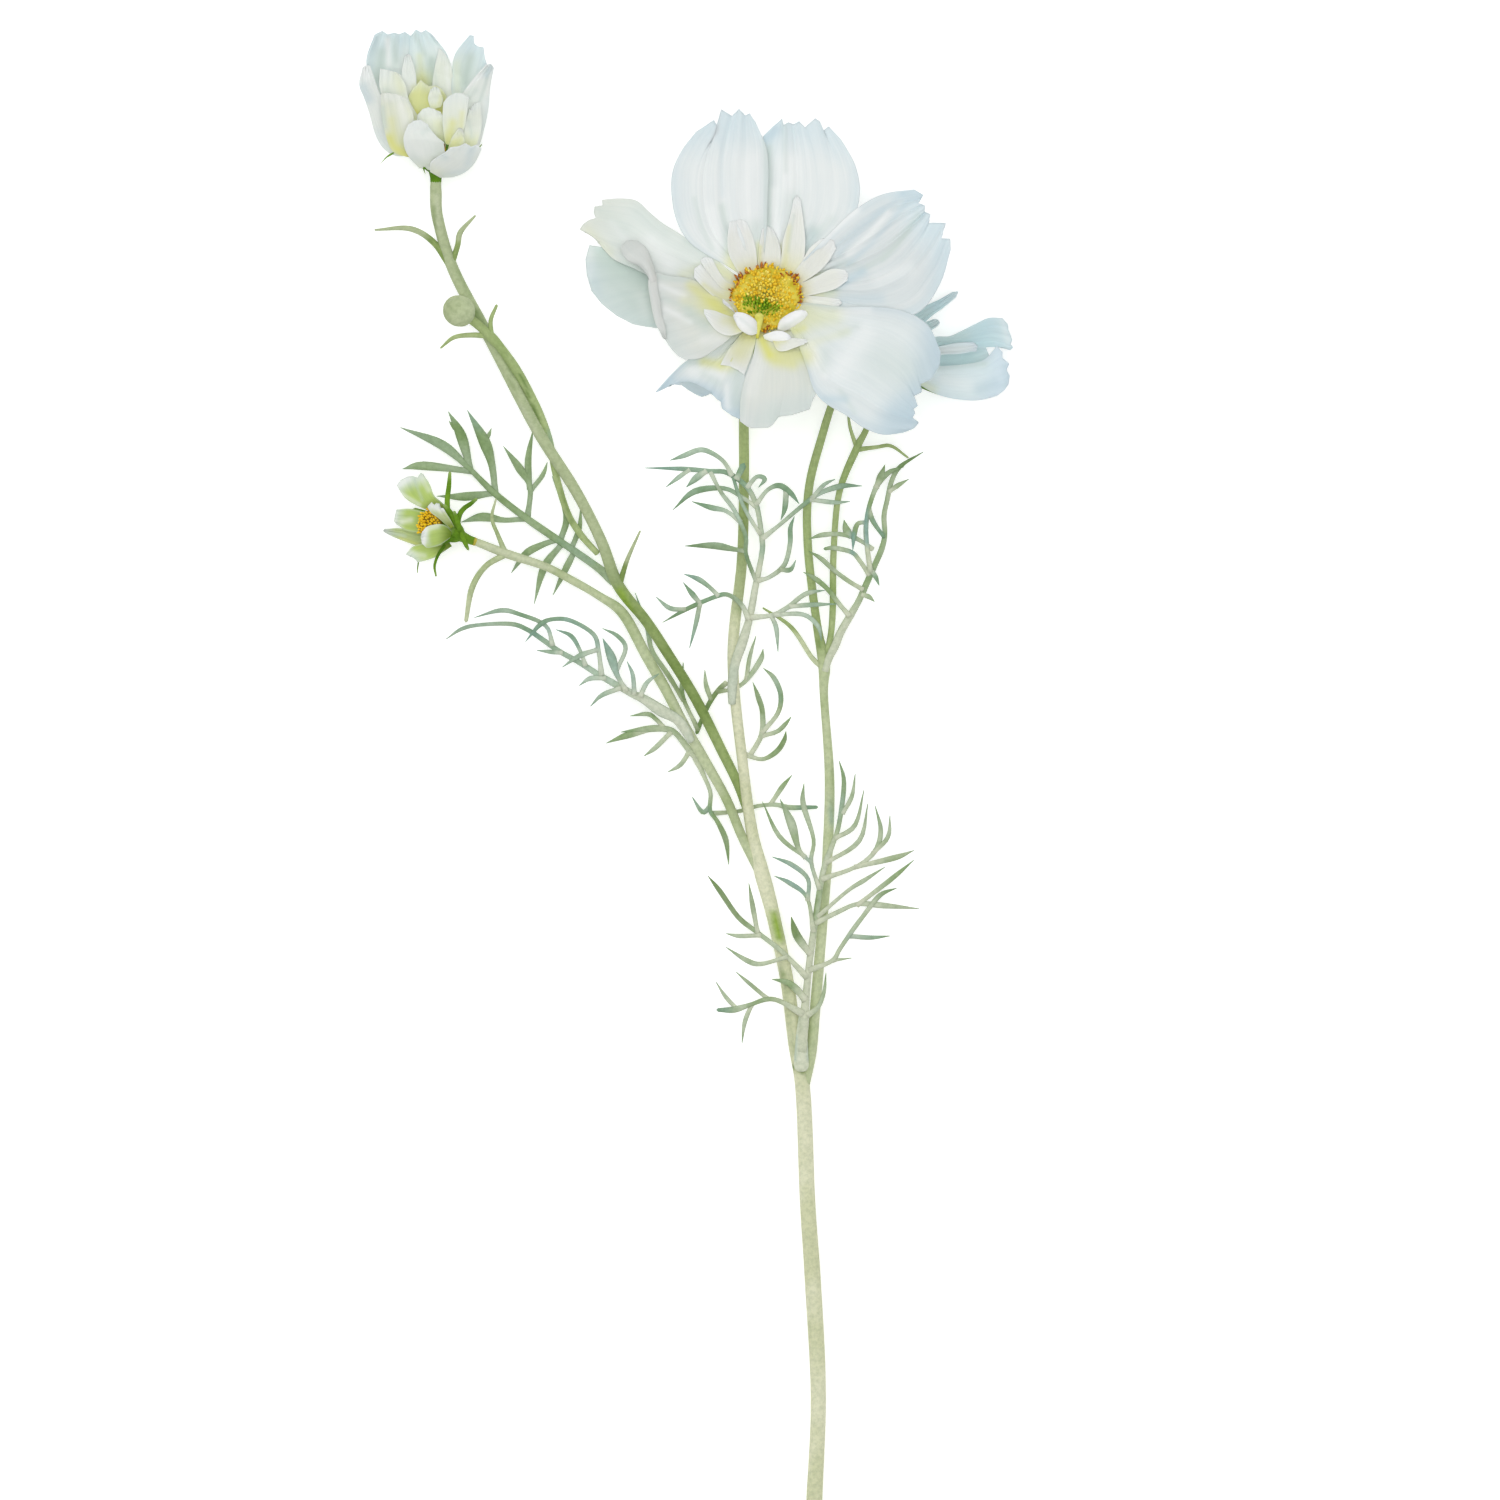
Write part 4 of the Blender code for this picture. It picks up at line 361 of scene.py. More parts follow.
def plain_look(name, light, dark, scale):
    """A matt skin of two close colours, for stamens and florets."""
    made, tree, shader = start_look(name, roughness=0.55, subsurface=0.1, depth=0.4)
    patch = noise(tree, model_place(tree), scale)
    tree.links.new(ramp(tree, patch, (0.38, rgb(*dark)), (0.6, rgb(*light))), shader.inputs["Base Color"])
    return made


LOOKS = {}
for make_look, prefix, skins in (
    (petal_look, "petal_", PETAL_SKINS),
    (green_look, "skin_", GREEN_SKINS),
    (plain_look, "skin_", PLAIN_SKINS),
):
    for skin_name, settings in skins.items():
        LOOKS[skin_name] = make_look(prefix + skin_name, *settings)


# ---------------------------------------------------------------- pieces


def add_piece(name, points, faces, uvs, look, slot, replaced=(), tint_and_painted_light=None):
    """One visible piece from points in millimetres. It rides on the spray, in place of the replaced
    solids."""
    mesh = bpy.data.meshes.new(name)
    placed = (np.asarray(points, float) + SHIFT) * MM
    mesh.from_pydata(placed.tolist(), [], faces)
    layer = mesh.uv_layers.new(name=UV_NAME)
    corners = np.empty(len(mesh.loops), np.int32)
    mesh.loops.foreach_get("vertex_index", corners)
    layer.uv.foreach_set("vector", np.asarray(uvs, np.float32)[corners].ravel())
    if tint_and_painted_light is None:
        tint_and_painted_light = np.zeros((len(points), 4))
    brushed_on = mesh.color_attributes.new(TINT_NAME, "FLOAT_COLOR", "POINT")
    brushed_on.data.foreach_set("color", np.asarray(tint_and_painted_light, np.float32).ravel())
    mesh.materials.append(LOOKS[look])
    mesh.shade_smooth()
    piece = bpy.data.objects.new(name, mesh)
    bpy.context.scene.collection.objects.link(piece)
    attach(piece, "root")
    if replaced:
        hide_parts(*replaced)
    return piece


def along(points, t):
    """The point at t (0 to 1) of a smooth curve through evenly timed points."""
    spans = len(points) - 1
    place_on = min(max(t, 0), 1) * spans
    first = min(int(place_on), spans - 1)
    f = place_on - first
    points = [np.asarray(p, float) for p in points]
    b, c = points[first], points[first + 1]
    a = points[first - 1] if first > 0 else 2 * b - c
    d = points[first + 2] if first + 2 <= spans else 2 * c - b
    slope_b = (c - a) / 2
    slope_c = (d - b) / 2
    second = 3 * (c - b) - 2 * slope_b - slope_c
    third = slope_b + slope_c - 2 * (c - b)
    return b + f * (slope_b + f * (second + f * third))


def spaced(points):
    """Re-times a curve's points so that equal steps cover about equal lengths."""
    lengths = [0]
    for p, q in zip(points, points[1:]):
        lengths.append(lengths[-1] + math.dist(p, q))
    count = max(len(points), EDGE_KNOTS)
    result = []
    for step in range(count):
        wanted = lengths[-1] * step / (count - 1)
        first = 0
        while first < len(points) - 2 and lengths[first + 1] < wanted:
            first += 1
        f = (wanted - lengths[first]) / max(lengths[first + 1] - lengths[first], 1e-9)
        result.append(along(points, (first + min(f, 1)) / (len(points) - 1)))
    return result


def straight(values, t):
    """Straight steps between evenly timed numbers, for one t or an array of them."""
    return np.interp(t, np.linspace(0, 1, len(values)), values)


def smooth_step(low, high, value):
    """A soft step from 0 at low to 1 at high."""
    t = np.clip((value - low) / (high - low), 0, 1)
    return t * t * (3 - 2 * t)


def quads(rows, row_size, closed=True):
    """Quads between neighbouring rows of points. In closed rows the last point joins the first."""
    faces = []
    for i in range(rows - 1):
        this, above = i * row_size, (i + 1) * row_size
        for j in range(row_size if closed else row_size - 1):
            k = (j + 1) % row_size
            faces.append((this + j, this + k, above + k, above + j))
    return faces


def brushed(strokes, x, y):
    """How strongly soft strokes tint each place. A stroke is (radius, strength, point, point, ...)."""
    total = np.zeros_like(x)
    for radius, strength, *points in strokes:
        nearest = np.full_like(x, 1e6)
        for (ax, ay), (bx, by) in zip(points, points[1:]):
            dx, dy = bx - ax, by - ay
            t = np.clip(((x - ax) * dx + (y - ay) * dy) / (dx * dx + dy * dy), 0, 1)
            nearest = np.minimum(nearest, np.hypot(x - ax - t * dx, y - ay - t * dy))
        total = total + (1 - total) * strength * np.exp(-((nearest / radius) ** 2))
    return total


# ---------------------------------------------------------------- petals


def main_cup(x, y):
    """The height of the open bloom's shallow cup, which leans back towards +y and dips under the disc."""
    dx = x - MAIN_CENTRE[0]
    dy = y - MAIN_CENTRE[1]
    radius = np.hypot(dx, MAIN_STRETCH * dy)
    tuck = MAIN_TUCK * np.exp(-((radius / TUCK_RADIUS) ** 4))
    return MAIN_CENTRE[2] - MAIN_LEAN * dy + MAIN_CUP * radius - tuck


def petal(name, left, right, teeth, z_left, z_right, arch=0, cup=None, look="cool", slot="petal_white",
          cells=(72, 72), replaced=True, folds=(), ribs=12, rib_depth=0.07, ruffle=0.25,
          yellow=(), shade=(), blue=(), pale=(), thickness=PETAL_THICKNESS):
    """A thin petal. left and right are its edges from base to tip, teeth are the points of its tip between
    the ends of left and right, and z_left and z_right are heights along the two edges. A cup adds its own
    height. Fine grooves of about rib_depth run along it, as many as ribs says, and ruffle is how far its
    rim waves. folds are (place across at the base, place across at the tip, half width, height) of long
    folds, and yellow, shade, blue and pale are brush strokes for the tint: yellow is the petal's own
    colour, shade and blue are painted shade, and pale is painted highlight."""
    dice = random.Random(name)
    tip = [left[-1], *teeth, right[-1]]
    left = spaced(left)
    right = spaced(right)
    across, length = cells
    u = np.linspace(0, 1, across + 1)[None, :]
    v = np.linspace(0, 1, length + 1)[:, None]
    left_line = np.array([along(left, t) for t in v[:, 0]])
    right_line = np.array([along(right, t) for t in v[:, 0]])
    plan = []
    for axis in (0, 1):
        between = left_line[:, axis, None] * (1 - u) + right_line[:, axis, None] * u
        plain_end = left[-1][axis] * (1 - u) + right[-1][axis] * u
        toothed_end = straight([point[axis] for point in tip], u)
        plan.append(between + v**TIP_SHARPNESS * (toothed_end - plain_end))
    x, y = plan
    z = straight(z_left, v) * (1 - u) + straight(z_right, v) * u
    z = z + arch * 4 * u * (1 - u) * np.sin(np.pi * np.minimum(v, ARCH_HOLDS_FROM))
    if cup:
        z = z + cup(x, y)
    blade_share = smooth_step(0, PLAIN_BASE, v)
    inside = smooth_step(0, RIM_WITHOUT_RIBS, u) * smooth_step(0, RIM_WITHOUT_RIBS, 1 - u)
    for rib in range(ribs):
        centre = (rib + 0.5 + dice.uniform(-0.35, 0.35)) / ribs
        width = dice.uniform(0.008, 0.022)
        depth = rib_depth * dice.uniform(0.3, 1.4)
        drift = dice.uniform(-0.02, 0.02) * v
        z = z - depth * blade_share * inside * np.exp(-(((u - centre - drift) / width) ** 2))
    for at_base, at_tip, width, height in folds:
        centre = at_base + (at_tip - at_base) * v
        z = z + height * blade_share * np.exp(-(((u - centre) / width) ** 2))
    wave = np.sin(2 * np.pi * (v * dice.uniform(1.6, 2.6) + dice.random()))
    other = np.sin(2 * np.pi * (v * dice.uniform(2.2, 3.2) + dice.random()))
    z = z + ruffle * v**2 * (wave * (1 - u) ** 3 + other * u**3)
    z = z + ruffle * 0.6 * v**6 * np.sin(2 * np.pi * (u * dice.uniform(3, 4.5) + dice.random()))
    points = np.stack([x, y, z], -1).reshape(-1, 3)
    uvs = np.stack([u + 0 * v, v + 0 * u], -1).reshape(-1, 2)
    # Yellow strokes are the petal's own colour; shade and blue strokes are painted shade, pale strokes
    # painted highlights.
    tint_and_painted_light = np.stack([brushed(strokes, x, y) for strokes in (yellow, shade, blue, pale)], -1)
    faces = quads(length + 1, across + 1, closed=False)
    piece = add_piece(name + "_fine", points, faces, uvs, look, slot, (name,) if replaced else (), tint_and_painted_light)
    shell = piece.modifiers.new("thickness", "SOLIDIFY")
    shell.thickness = thickness * MM
    shell.offset = 0


# ---------------------------------------------------------------- tubes: stems, leaves, calyxes


def tube(strand, sides, flat, steps, root_flare=0, wobble=0):
    """Points, faces and uvs of one closed tapered tube through (x, y, z, width) points. A flat below 1
    flattens it. root_flare widens its start, and wobble makes its width uneven."""
    rings = (len(strand) - 1) * steps + 1
    line = np.array([along(strand, i / (rings - 1)) for i in range(rings)])
    centre = line[:, :3]
    width = np.maximum(line[:, 3], LEAST_WIDTH)
    t = np.linspace(0, 1, rings)
    width = width * (1 + root_flare * (1 - smooth_step(0, FLARE_LENGTH, t)))
    if wobble:
        phase = chance.uniform(0, 6.28)
        width = width * (1 + wobble * np.sin(t * len(strand) * 2.1 + phase) * np.sin(t * len(strand) * 0.9))
    tangent = np.gradient(centre, axis=0)
    tangent /= np.linalg.norm(tangent, axis=1)[:, None]
    side = np.cross(tangent, (0, 0, 1))
    side /= np.maximum(np.linalg.norm(side, axis=1), 1e-6)[:, None]
    top = np.cross(side, tangent)
    angle = np.linspace(0, 2 * np.pi, sides, endpoint=False)
    ring = (
        side[:, None, :] * np.cos(angle)[None, :, None]
        + top[:, None, :] * (flat * np.sin(angle))[None, :, None]
    )
    skin = centre[:, None, :] + ring * (width / 2)[:, None, None]
    start = centre[0] - tangent[0] * width[0] * START_CAP
    end = centre[-1] + tangent[-1] * width[-1] * END_CAP
    points = np.concatenate([skin.reshape(-1, 3), [start, end]])
    uvs = np.stack([np.tile(angle / (2 * np.pi), rings), np.repeat(t, sides)], -1)
    uvs = np.concatenate([uvs, [(0.5, 0), (0.5, 1)]])
    faces = quads(rings, sides)
    last_ring = (rings - 1) * sides
    start_corner = rings * sides
    for j in range(sides):
        k = (j + 1) % sides
        faces.append((start_corner, k, j))
        faces.append((start_corner + 1, last_ring + j, last_ring + k))
    return points, faces, uvs


def join(parts):
    """One set of points, faces and uvs from several."""
    points, faces, uvs = [], [], []
    count = 0
    for some_points, some_faces, some_uvs in parts:
        points.append(some_points)
        uvs.append(some_uvs)
        faces.extend(tuple(corner + count for corner in face) for face in some_faces)
        count += len(some_points)
    return np.concatenate(points), faces, np.concatenate(uvs)


def grow(name, strands, look, slot, sides=14, flat=1, steps=8, flare=0, wobble=0.03, replaced=True,
         bright=(), dark=(), teal=(), straw=()):
    """A piece made of tapered tubes. bright, dark, teal and straw are brush strokes for the tint."""
    parts = []
    for index, strand in enumerate(strands):
        parts.append(tube(strand, sides, flat, steps, flare if index else 0, wobble))
    points, faces, uvs = join(parts)
    x, y = points[:, 0], points[:, 1]
    tint_and_painted_light = np.stack([brushed(strokes, x, y) for strokes in (bright, dark, teal, straw)], -1)
    add_piece(name + "_fine", points, faces, uvs, look, slot, (name,) if replaced else (), tint_and_painted_light)


def leaf(name, strands, look="leaf", **strokes):
    """A leaf of flat strands. Each is (z at its start, z at its end, (x, y, width), ...), and a last point
    without a width is a sharp tip."""
    tubes = []
    for z_start, z_end, *points in strands:
        bow = chance.uniform(-0.25, 0.35)
        strand = []
        for index, (x, y, *width) in enumerate(points):
            t = index / (len(points) - 1)
            z = z_start + (z_end - z_start) * t + bow * math.sin(math.pi * t)
            strand.append((x, y, z, *(width or [LEAFLET_TIP_WIDTH])))
        tubes.append(strand)
    grow(name, tubes, look, "leaf_green", sides=8, flat=0.5, steps=5, flare=0.35, wobble=0.06, **strokes)


# ---------------------------------------------------------------- the spray


def make_stems():
    """The forked stem: each branch is one tube with its own small bracts."""
    main = [
        (2.4, -30, 2.2, 4.4), (3.6, 0, 2.8, 4.1), (4.6, 26, 3.4, 3.8), (3.2, 55, 4, 4),
        (1.9, 74.5, 4.6, 3.8), (0.8, 101.5, 5.3, 3.8), (-1.2, 114, 5.5, 3.5), (-3.2, 129.5, 5.8, 3.4),
        (-6.8, 146.5, 6.2, 3.4), (-9.6, 157, 6.5, 3.8), (-12, 167, 6.8, 3), (-14, 181.5, 7, 2.7),
        (-16.8, 210, 7, 2.7), (-14.5, 235, 6.6, 2.6), (-14, 256, 4.6, 2.5), (-14, 272, 2, 2.5),
        (-13.2, 282, 1.35, 2.5), (-10.8, 290.2, 4.2, 2.5), (-8.8, 294.6, 11.2, 2.6),
        (-8.4, 295.5, 14.6, 2.6),
    ]
    grow(
        "stem_main", [main], "stem", "stem_green", straw=[(3, 0.3, (-17, 212), (-16.4, 206))],
        bright=[(1.3, 0.95, (-6.4, 146), (-5.2, 140.8))],
        dark=[(0.9, 0.7, (-4.5, 132.6), (-4.1, 130)), (1.6, 0.35, (-14, 248), (-15.4, 222)),
            (0.45, 1, (-1.6, 108), (0.4, 107.3), (2.5, 108)), (0.8, 0.3, (-3.6, 128), (-1.6, 112))],
    )

    right = [
        (1.2, 104, 5.4, 2.6), (2.9, 112.6, 5.6, 2.7), (3.8, 123, 5.9, 2.7), (5.5, 142.8, 6.3, 2.5),
        (6.8, 160, 6.6, 2.5), (7.4, 180, 6.9, 2.4), (6, 201, 7, 2.1), (6, 209, 7, 3),
        (4.2, 219.2, 7.2, 2.1), (2, 238, 7.6, 2.1), (2.2, 252.8, 8.2, 2.1), (5.8, 267, 9.6, 2.1),
        (8.8, 276.5, 11, 1.9),
    ]
    node_bract = [(6, 208, 7, 1.6), (3, 210.6, 6.6, 1.2), (-2.2, 218.2, 6.4, 1.1), (-9.2, 223, 6.2, 0.5)]
    grow(
        "stem_right", [right, node_bract], "stem_right", "stem_green",
        dark=[(0.7, 0.35, (6.4, 154), (6.2, 146)), (0.7, 0.3, (8.2, 184), (8, 172)),
            (0.6, 0.7, (4.6, 215), (5, 213))],
        teal=[(0.8, 0.5, (7.6, 174), (8, 169))],
    )

    back = [
        (6.2, 210, 7, 1.6), (7.6, 215.6, 7.6, 1.6), (8.2, 223, 7.9, 1.7), (8.4, 237, 8.2, 1.6),
        (9.8, 251.8, 8.8, 1.6), (14.2, 263, 9.8, 1.9), (16.5, 267.5, 10.4, 1.6), (20.5, 277, 12.2, 1.6),
        (23, 281.5, 13.4, 1.8),
    ]
    back_bracts = [
        [(14.2, 262.6, 9.8, 1.4), (19, 263.2, 9.8, 1), (22.8, 263.5, 9.6, 0.9), (27, 260.6, 9.2, 0.5)],
        [(14.2, 263, 9.8, 1.2), (12.6, 267.8, 10, 0.9), (12, 271.5, 10.4, 0.5)],
    ]
    grow("stem_back_bloom", [back] + back_bracts, "stem_green", "stem_green")

    upper = [
        (-13.4, 173, 5.2, 2.2), (-15.6, 179.2, 4.4, 2.4), (-19.5, 187.2, 4.8, 2.6),
        (-26.2, 200.5, 5.9, 2.6), (-32.8, 211.2, 6.7, 2.6), (-38.5, 219.8, 7.4, 2.6), (-45.5, 228.8, 8, 3),
        (-49.8, 240, 8.4, 2.8), (-56.2, 252.5, 8.8, 2.8), (-66, 268, 9.3, 2.8), (-77.5, 290.2, 10.6, 2.9),
        (-86.5, 307.2, 12, 2.9), (-90.5, 320.2, 13.2, 2.9), (-91, 327, 13.8, 2.9), (-91, 329.6, 14, 2.7),
    ]
    upper_bracts = [
        [(-45.2, 228.6, 8, 1.6), (-43.2, 235, 8.6, 1.1), (-40, 242.2, 9.2, 0.5)],
        [(-87.6, 308.6, 12.2, 1.6), (-91.6, 314.4, 12.6, 1.6), (-97.5, 317.8, 12.4, 1.4),
         (-106.2, 317.5, 11.2, 0.5)],
        [(-87.2, 308.6, 12.2, 1.6), (-85.6, 313.5, 12.8, 1.4), (-84.8, 317, 13.2, 1.3),
         (-81.2, 321, 13.6, 0.5)],
    ]
    # The dark stroke from (-81.4, 297.6) to (-79.2, 293.4) is the bud's shadow on the stem, painted on.
    grow(
        "stem_upper_bloom", [upper] + upper_bracts, "stem_dark", "stem_green",
        bright=[(1.3, 0.85, (-44.8, 227), (-43, 222.6))],
        dark=[(0.5, 0.9, (-71.8, 278.4), (-71.4, 277.8)), (0.4, 0.8, (-72.5, 279.8), (-72.3, 279.5)),
            (1.1, 0.6, (-81.4, 297.6), (-79.2, 293.4)), (0.5, 0.5, (-91.6, 323), (-91.2, 318)),
            (0.4, 0.5, (-73.6, 285), (-72.4, 282.4)), (0.6, 0.3, (-86, 308.6), (-82.6, 301.4))],
        straw=[(0.7, 0.35, (-90.8, 326), (-90.4, 318)), (0.8, 0.3, (-70.4, 274.4), (-66.2, 266.4))],
    )

    bud_stem = [
        (-50.6, 236.6, 8, 1.5), (-55, 241.6, 7, 1.7), (-58.4, 247.5, 6.6, 1.7), (-61.2, 257, 6.2, 1.7),
        (-62.6, 264.6, 6.4, 1.8), (-65.2, 271.5, 7, 2.2), (-68.4, 277.8, 8.4, 2.6),
        (-71.7, 283.6, 10.6, 2.6), (-74.8, 288, 12.9, 2.3), (-77.4, 290.9, 13.9, 2.6),
        (-79.8, 293.2, 14, 2.3), (-82.4, 295.2, 14.4, 2.2),
    ]
    bud_bracts = [
        [(-77.4, 290.9, 13.9, 1.4), (-82, 291.2, 13.6, 1.3), (-86.5, 290.6, 12.6, 1.1),
         (-89.8, 288, 11.4, 0.5)],
        [(-77, 290.8, 14, 1.2), (-77.3, 294.8, 14.4, 1.1), (-75.8, 298.6, 14.8, 0.7)],
    ]
    grow(
        "stem_bud", [bud_stem] + bud_bracts, "stem_green", "stem_green",
        dark=[(0.35, 0.8, (-70, 281.2), (-68.8, 279.2), (-67.8, 276)),
            (0.35, 0.8, (-66.8, 273.6), (-65.2, 270.2)), (0.6, 0.5, (-59.6, 252), (-57, 244))],
        teal=[(0.8, 0.4, (-62.6, 267), (-62.2, 263))],
    )

    small = [
        (-10, 156.6, 6.4, 2.2), (-14.4, 165.6, 7, 2.3), (-18.4, 175.2, 7.5, 2.4), (-24, 185.2, 7.8, 2.6),
        (-29, 193.8, 8, 2.6), (-33.5, 202.5, 8.2, 2.6), (-38.5, 211.2, 8.6, 2.7), (-44.2, 221.5, 9.4, 2.6),
        (-50.2, 226, 10, 2.1), (-57.5, 230.2, 10.6, 2), (-64, 233.5, 11, 2), (-73.2, 236.5, 11.6, 2.2),
        (-81.2, 239.6, 12, 2),
    ]
    small_bracts = [
        [(-73.6, 236.6, 11.6, 1.5), (-75.4, 241, 12.4, 1.1), (-77, 245.5, 13, 0.9),
         (-76, 250.2, 13.4, 0.5)],
        [(-73.6, 236.4, 11.6, 1.6), (-78.6, 233.4, 11.4, 1.5), (-82, 228, 10.6, 1.5),
         (-83.5, 219.8, 9.4, 1)],
    ]
    grow(
        "stem_small_bloom", [small] + small_bracts, "stem_mid", "stem_green",
        straw=[(0.9, 0.35, (-78, 238.4), (-62, 232.8)), (0.8, 0.3, (-32, 200.6), (-26, 188.4))],
    )


def make_main_bloom():
    """The open bloom's nine large petals, then its rolled rims and its short inner petals."""
    petal(
        "open_petal_top_left",
        [(-13, 304.5), (-19, 308.8), (-24.5, 311.8), (-28.8, 315.6), (-31.4, 321.5), (-32.2, 329),
         (-31.2, 334), (-29, 338), (-26, 341.8)],
        [(-8.8, 304.8), (-8.9, 310.6), (-8.3, 318), (-8, 328), (-7.9, 334), (-8.6, 338.6), (-11.2, 344.2)],
        [(-21.5, 344.8), (-20, 342.2), (-19.6, 347.5), (-17, 345.8), (-15.2, 347.6), (-13.8, 346),
         (-12.5, 346.5)],
        [2.6, 3, 2.4], [2.6, 2.6, 2.4], arch=0.8, cup=main_cup, look="cool", ribs=18,
        folds=[(0.52, 0.5, 0.04, -0.4), (0.62, 0.66, 0.05, 0.35), (0.3, 0.34, 0.02, -0.25)],
        yellow=[(2, 0.45, (-17.4, 307.5), (-16.6, 310.5)), (1, 0.4, (-10.4, 309.5), (-10.2, 313.5))],
        shade=[(1.1, 0.55, (-19.6, 323), (-18.4, 317), (-18.2, 311.5)),
            (0.8, 0.35, (-26.4, 325), (-24.6, 318), (-22, 312.6)), (1, 0.5, (-8.5, 340), (-8.2, 318)),
            (2.2, 0.45, (-11, 318), (-10.4, 312))],
        blue=[(3, 0.18, (-31, 331), (-30, 322)), (5, 0.14, (-24, 340), (-15, 343)),
            (0.7, 0.2, (-19.8, 340), (-19.4, 326))],
        pale=[(2, 0.4, (-21.6, 322), (-21, 314)), (3, 0.3, (-12, 334), (-12.6, 320))],
    )
    petal(
        "open_petal_top_right",
        [(-8.8, 304.4), (-9.6, 310.4), (-11, 322), (-10.9, 334), (-9.2, 340.8)],
        [(-3.2, 304.4), (3, 311), (9, 316), (14.2, 321.6), (14.8, 329.2), (13.2, 335), (10.2, 340)],
        [(-6.8, 343.2), (-4.5, 345.2), (-4.2, 343.6), (-3, 344.3), (-1.6, 343.8), (-0.2, 344.6), (1.2, 343),
         (3.8, 345.3), (4.8, 344.6), (5.8, 342.2), (7.2, 343.3)],
        [0.6, 0.2, 0], [0.6, 0.2, 0], arch=-0.4, cup=main_cup, look="cool", ribs=22,
        folds=[(0.3, 0.26, 0.05, 0.4), (0.42, 0.4, 0.03, -0.4), (0.7, 0.72, 0.05, 0.3)],
        yellow=[(2, 0.45, (-4.5, 307), (-4, 312))],
        shade=[(1, 0.6, (-7.8, 338), (-7.9, 318)), (1.7, 0.6, (1.8, 312.6), (3.4, 317)),
            (1.2, 0.3, (4, 316), (8, 320)), (0.6, 0.3, (-3.9, 344), (-3.6, 332)),
            (2.4, 0.35, (-2, 325), (-1.4, 314))],
        blue=[(1.5, 0.7, (-8.4, 340.2), (-6, 342.6)), (2, 0.2, (14, 332), (13.6, 324)),
            (2, 0.3, (1.8, 314), (3, 316))],
        pale=[(1.3, 0.7, (-6.9, 327), (-6.6, 316)), (2.5, 0.3, (-2.2, 334), (-3, 326))],
    )
    petal(
        "open_petal_right_upper",
        [(-3.6, 304), (-0.8, 307.8), (6, 315), (14.4, 322.9), (21.8, 326.6), (28.5, 327.4)],
        [(-3, 300.8), (1.4, 300.6), (10, 297.5), (22, 294.5), (30, 297), (35, 304), (37.5, 312.2)],
        [(30.8, 326), (29.5, 324), (31.2, 323.3), (31, 321.8), (32.5, 321.2), (32, 319), (36.3, 319),
         (35.3, 315.1), (37.4, 315)],
        [1.6, 2.2, 2], [1.6, 1.6, 1], cup=main_cup, look="ribbed", cells=(110, 80), ribs=16, rib_depth=0.12,
        folds=[(0.36, 0.42, 0.026, -0.9), (0.26, 0.26, 0.022, -0.45), (0.47, 0.55, 0.05, 0.5),
            (0.66, 0.7, 0.02, -0.3), (0.16, 0.15, 0.02, -0.35), (0.55, 0.62, 0.015, -0.25)],
        yellow=[(3.4, 0.3, (1, 303), (4, 304)), (1.6, 0.2, (4, 300.6), (8, 301.4))],
        shade=[(1, 0.4, (15, 307), (20.5, 310.4), (25.5, 315.4), (29.5, 321)),
            (0.6, 0.4, (20.6, 309.6), (24, 313), (27.4, 317.2)), (1.4, 0.3, (10, 309), (13, 308.4))],
        blue=[(1.2, 0.65, (7, 302), (11.6, 304.4), (15.6, 306.8)),
            (0.7, 0.4, (12, 308.6), (18, 314), (23, 319.6), (27, 324.6)),
            (0.8, 0.35, (9.6, 311.4), (14, 316), (20, 321.6), (25.6, 326.2)),
            (1, 0.3, (9.4, 313.6), (15, 318.6), (20.5, 322.6)), (1.6, 0.5, (26.5, 326.4), (30.2, 325.6)),
            (1.4, 0.4, (10.5, 299.6), (20, 300)), (2.6, 0.3, (36, 311), (33.4, 303))],
        pale=[(1.3, 0.7, (5, 314.6), (13.8, 322)), (0.8, 0.5, (12, 311.4), (17.6, 316.4), (22, 321.6)),
            (2, 0.3, (20, 305), (27, 307.5))],
    )
    petal(
        "open_petal_right_lower",
        [(-4.2, 299.6), (1.8, 299), (9.8, 298), (17.8, 298), (25.5, 297), (31.8, 293.4), (35, 286.6)],
        [(-5, 296.5), (-2.5, 292.5), (0.6, 286), (3.8, 276.2), (5.4, 274.3), (9.6, 272.2), (14, 268.8),
         (18.6, 266.5), (22.6, 265.9), (25.6, 266.6)],
        [(34.8, 283.4), (32.6, 279.8), (29.8, 278.6), (30.3, 276.7), (28.2, 275.6), (29.3, 273.2),
         (28.2, 272.4), (28.6, 271.4), (28, 270.2), (29.5, 269), (28.4, 267.6)],
        [4, 4.4, 2], [4, 3.6, -3], arch=2, cup=main_cup, look="soft", cells=(110, 90), ribs=24,
        rib_depth=0.06, folds=[(0.1, 0.16, 0.05, 0.5), (0.82, 0.8, 0.06, -0.8)],
        yellow=[(3, 0.3, (-1, 294.4), (8, 295.6)), (0.9, 0.4, (1, 292.6), (-3, 291.4)),
            (1.2, 0.16, (3, 288.8), (11.6, 291.6)), (2.6, 0.5, (-3.4, 288.4), (1.4, 285.6))],
        shade=[(1.6, 0.35, (6.6, 286.5), (5.6, 282)), (6, 0.35, (21, 284), (26, 282)),
            (1.1, 0.3, (10.5, 291), (14, 293)), (0.7, 0.3, (10, 277), (13.5, 271.5))],
        blue=[(3.2, 0.35, (33, 290), (34, 283)), (3.6, 0.55, (23, 269.4), (28, 271)),
            (1.2, 0.55, (5, 274.8), (11, 274.8)), (2.5, 0.25, (29.5, 278), (25, 274))],
        pale=[(1.6, 0.75, (2.4, 288), (5.8, 281.4)), (1.2, 0.4, (10, 296.6), (17, 297)),
            (3, 0.4, (16, 291), (10, 282))],
    )
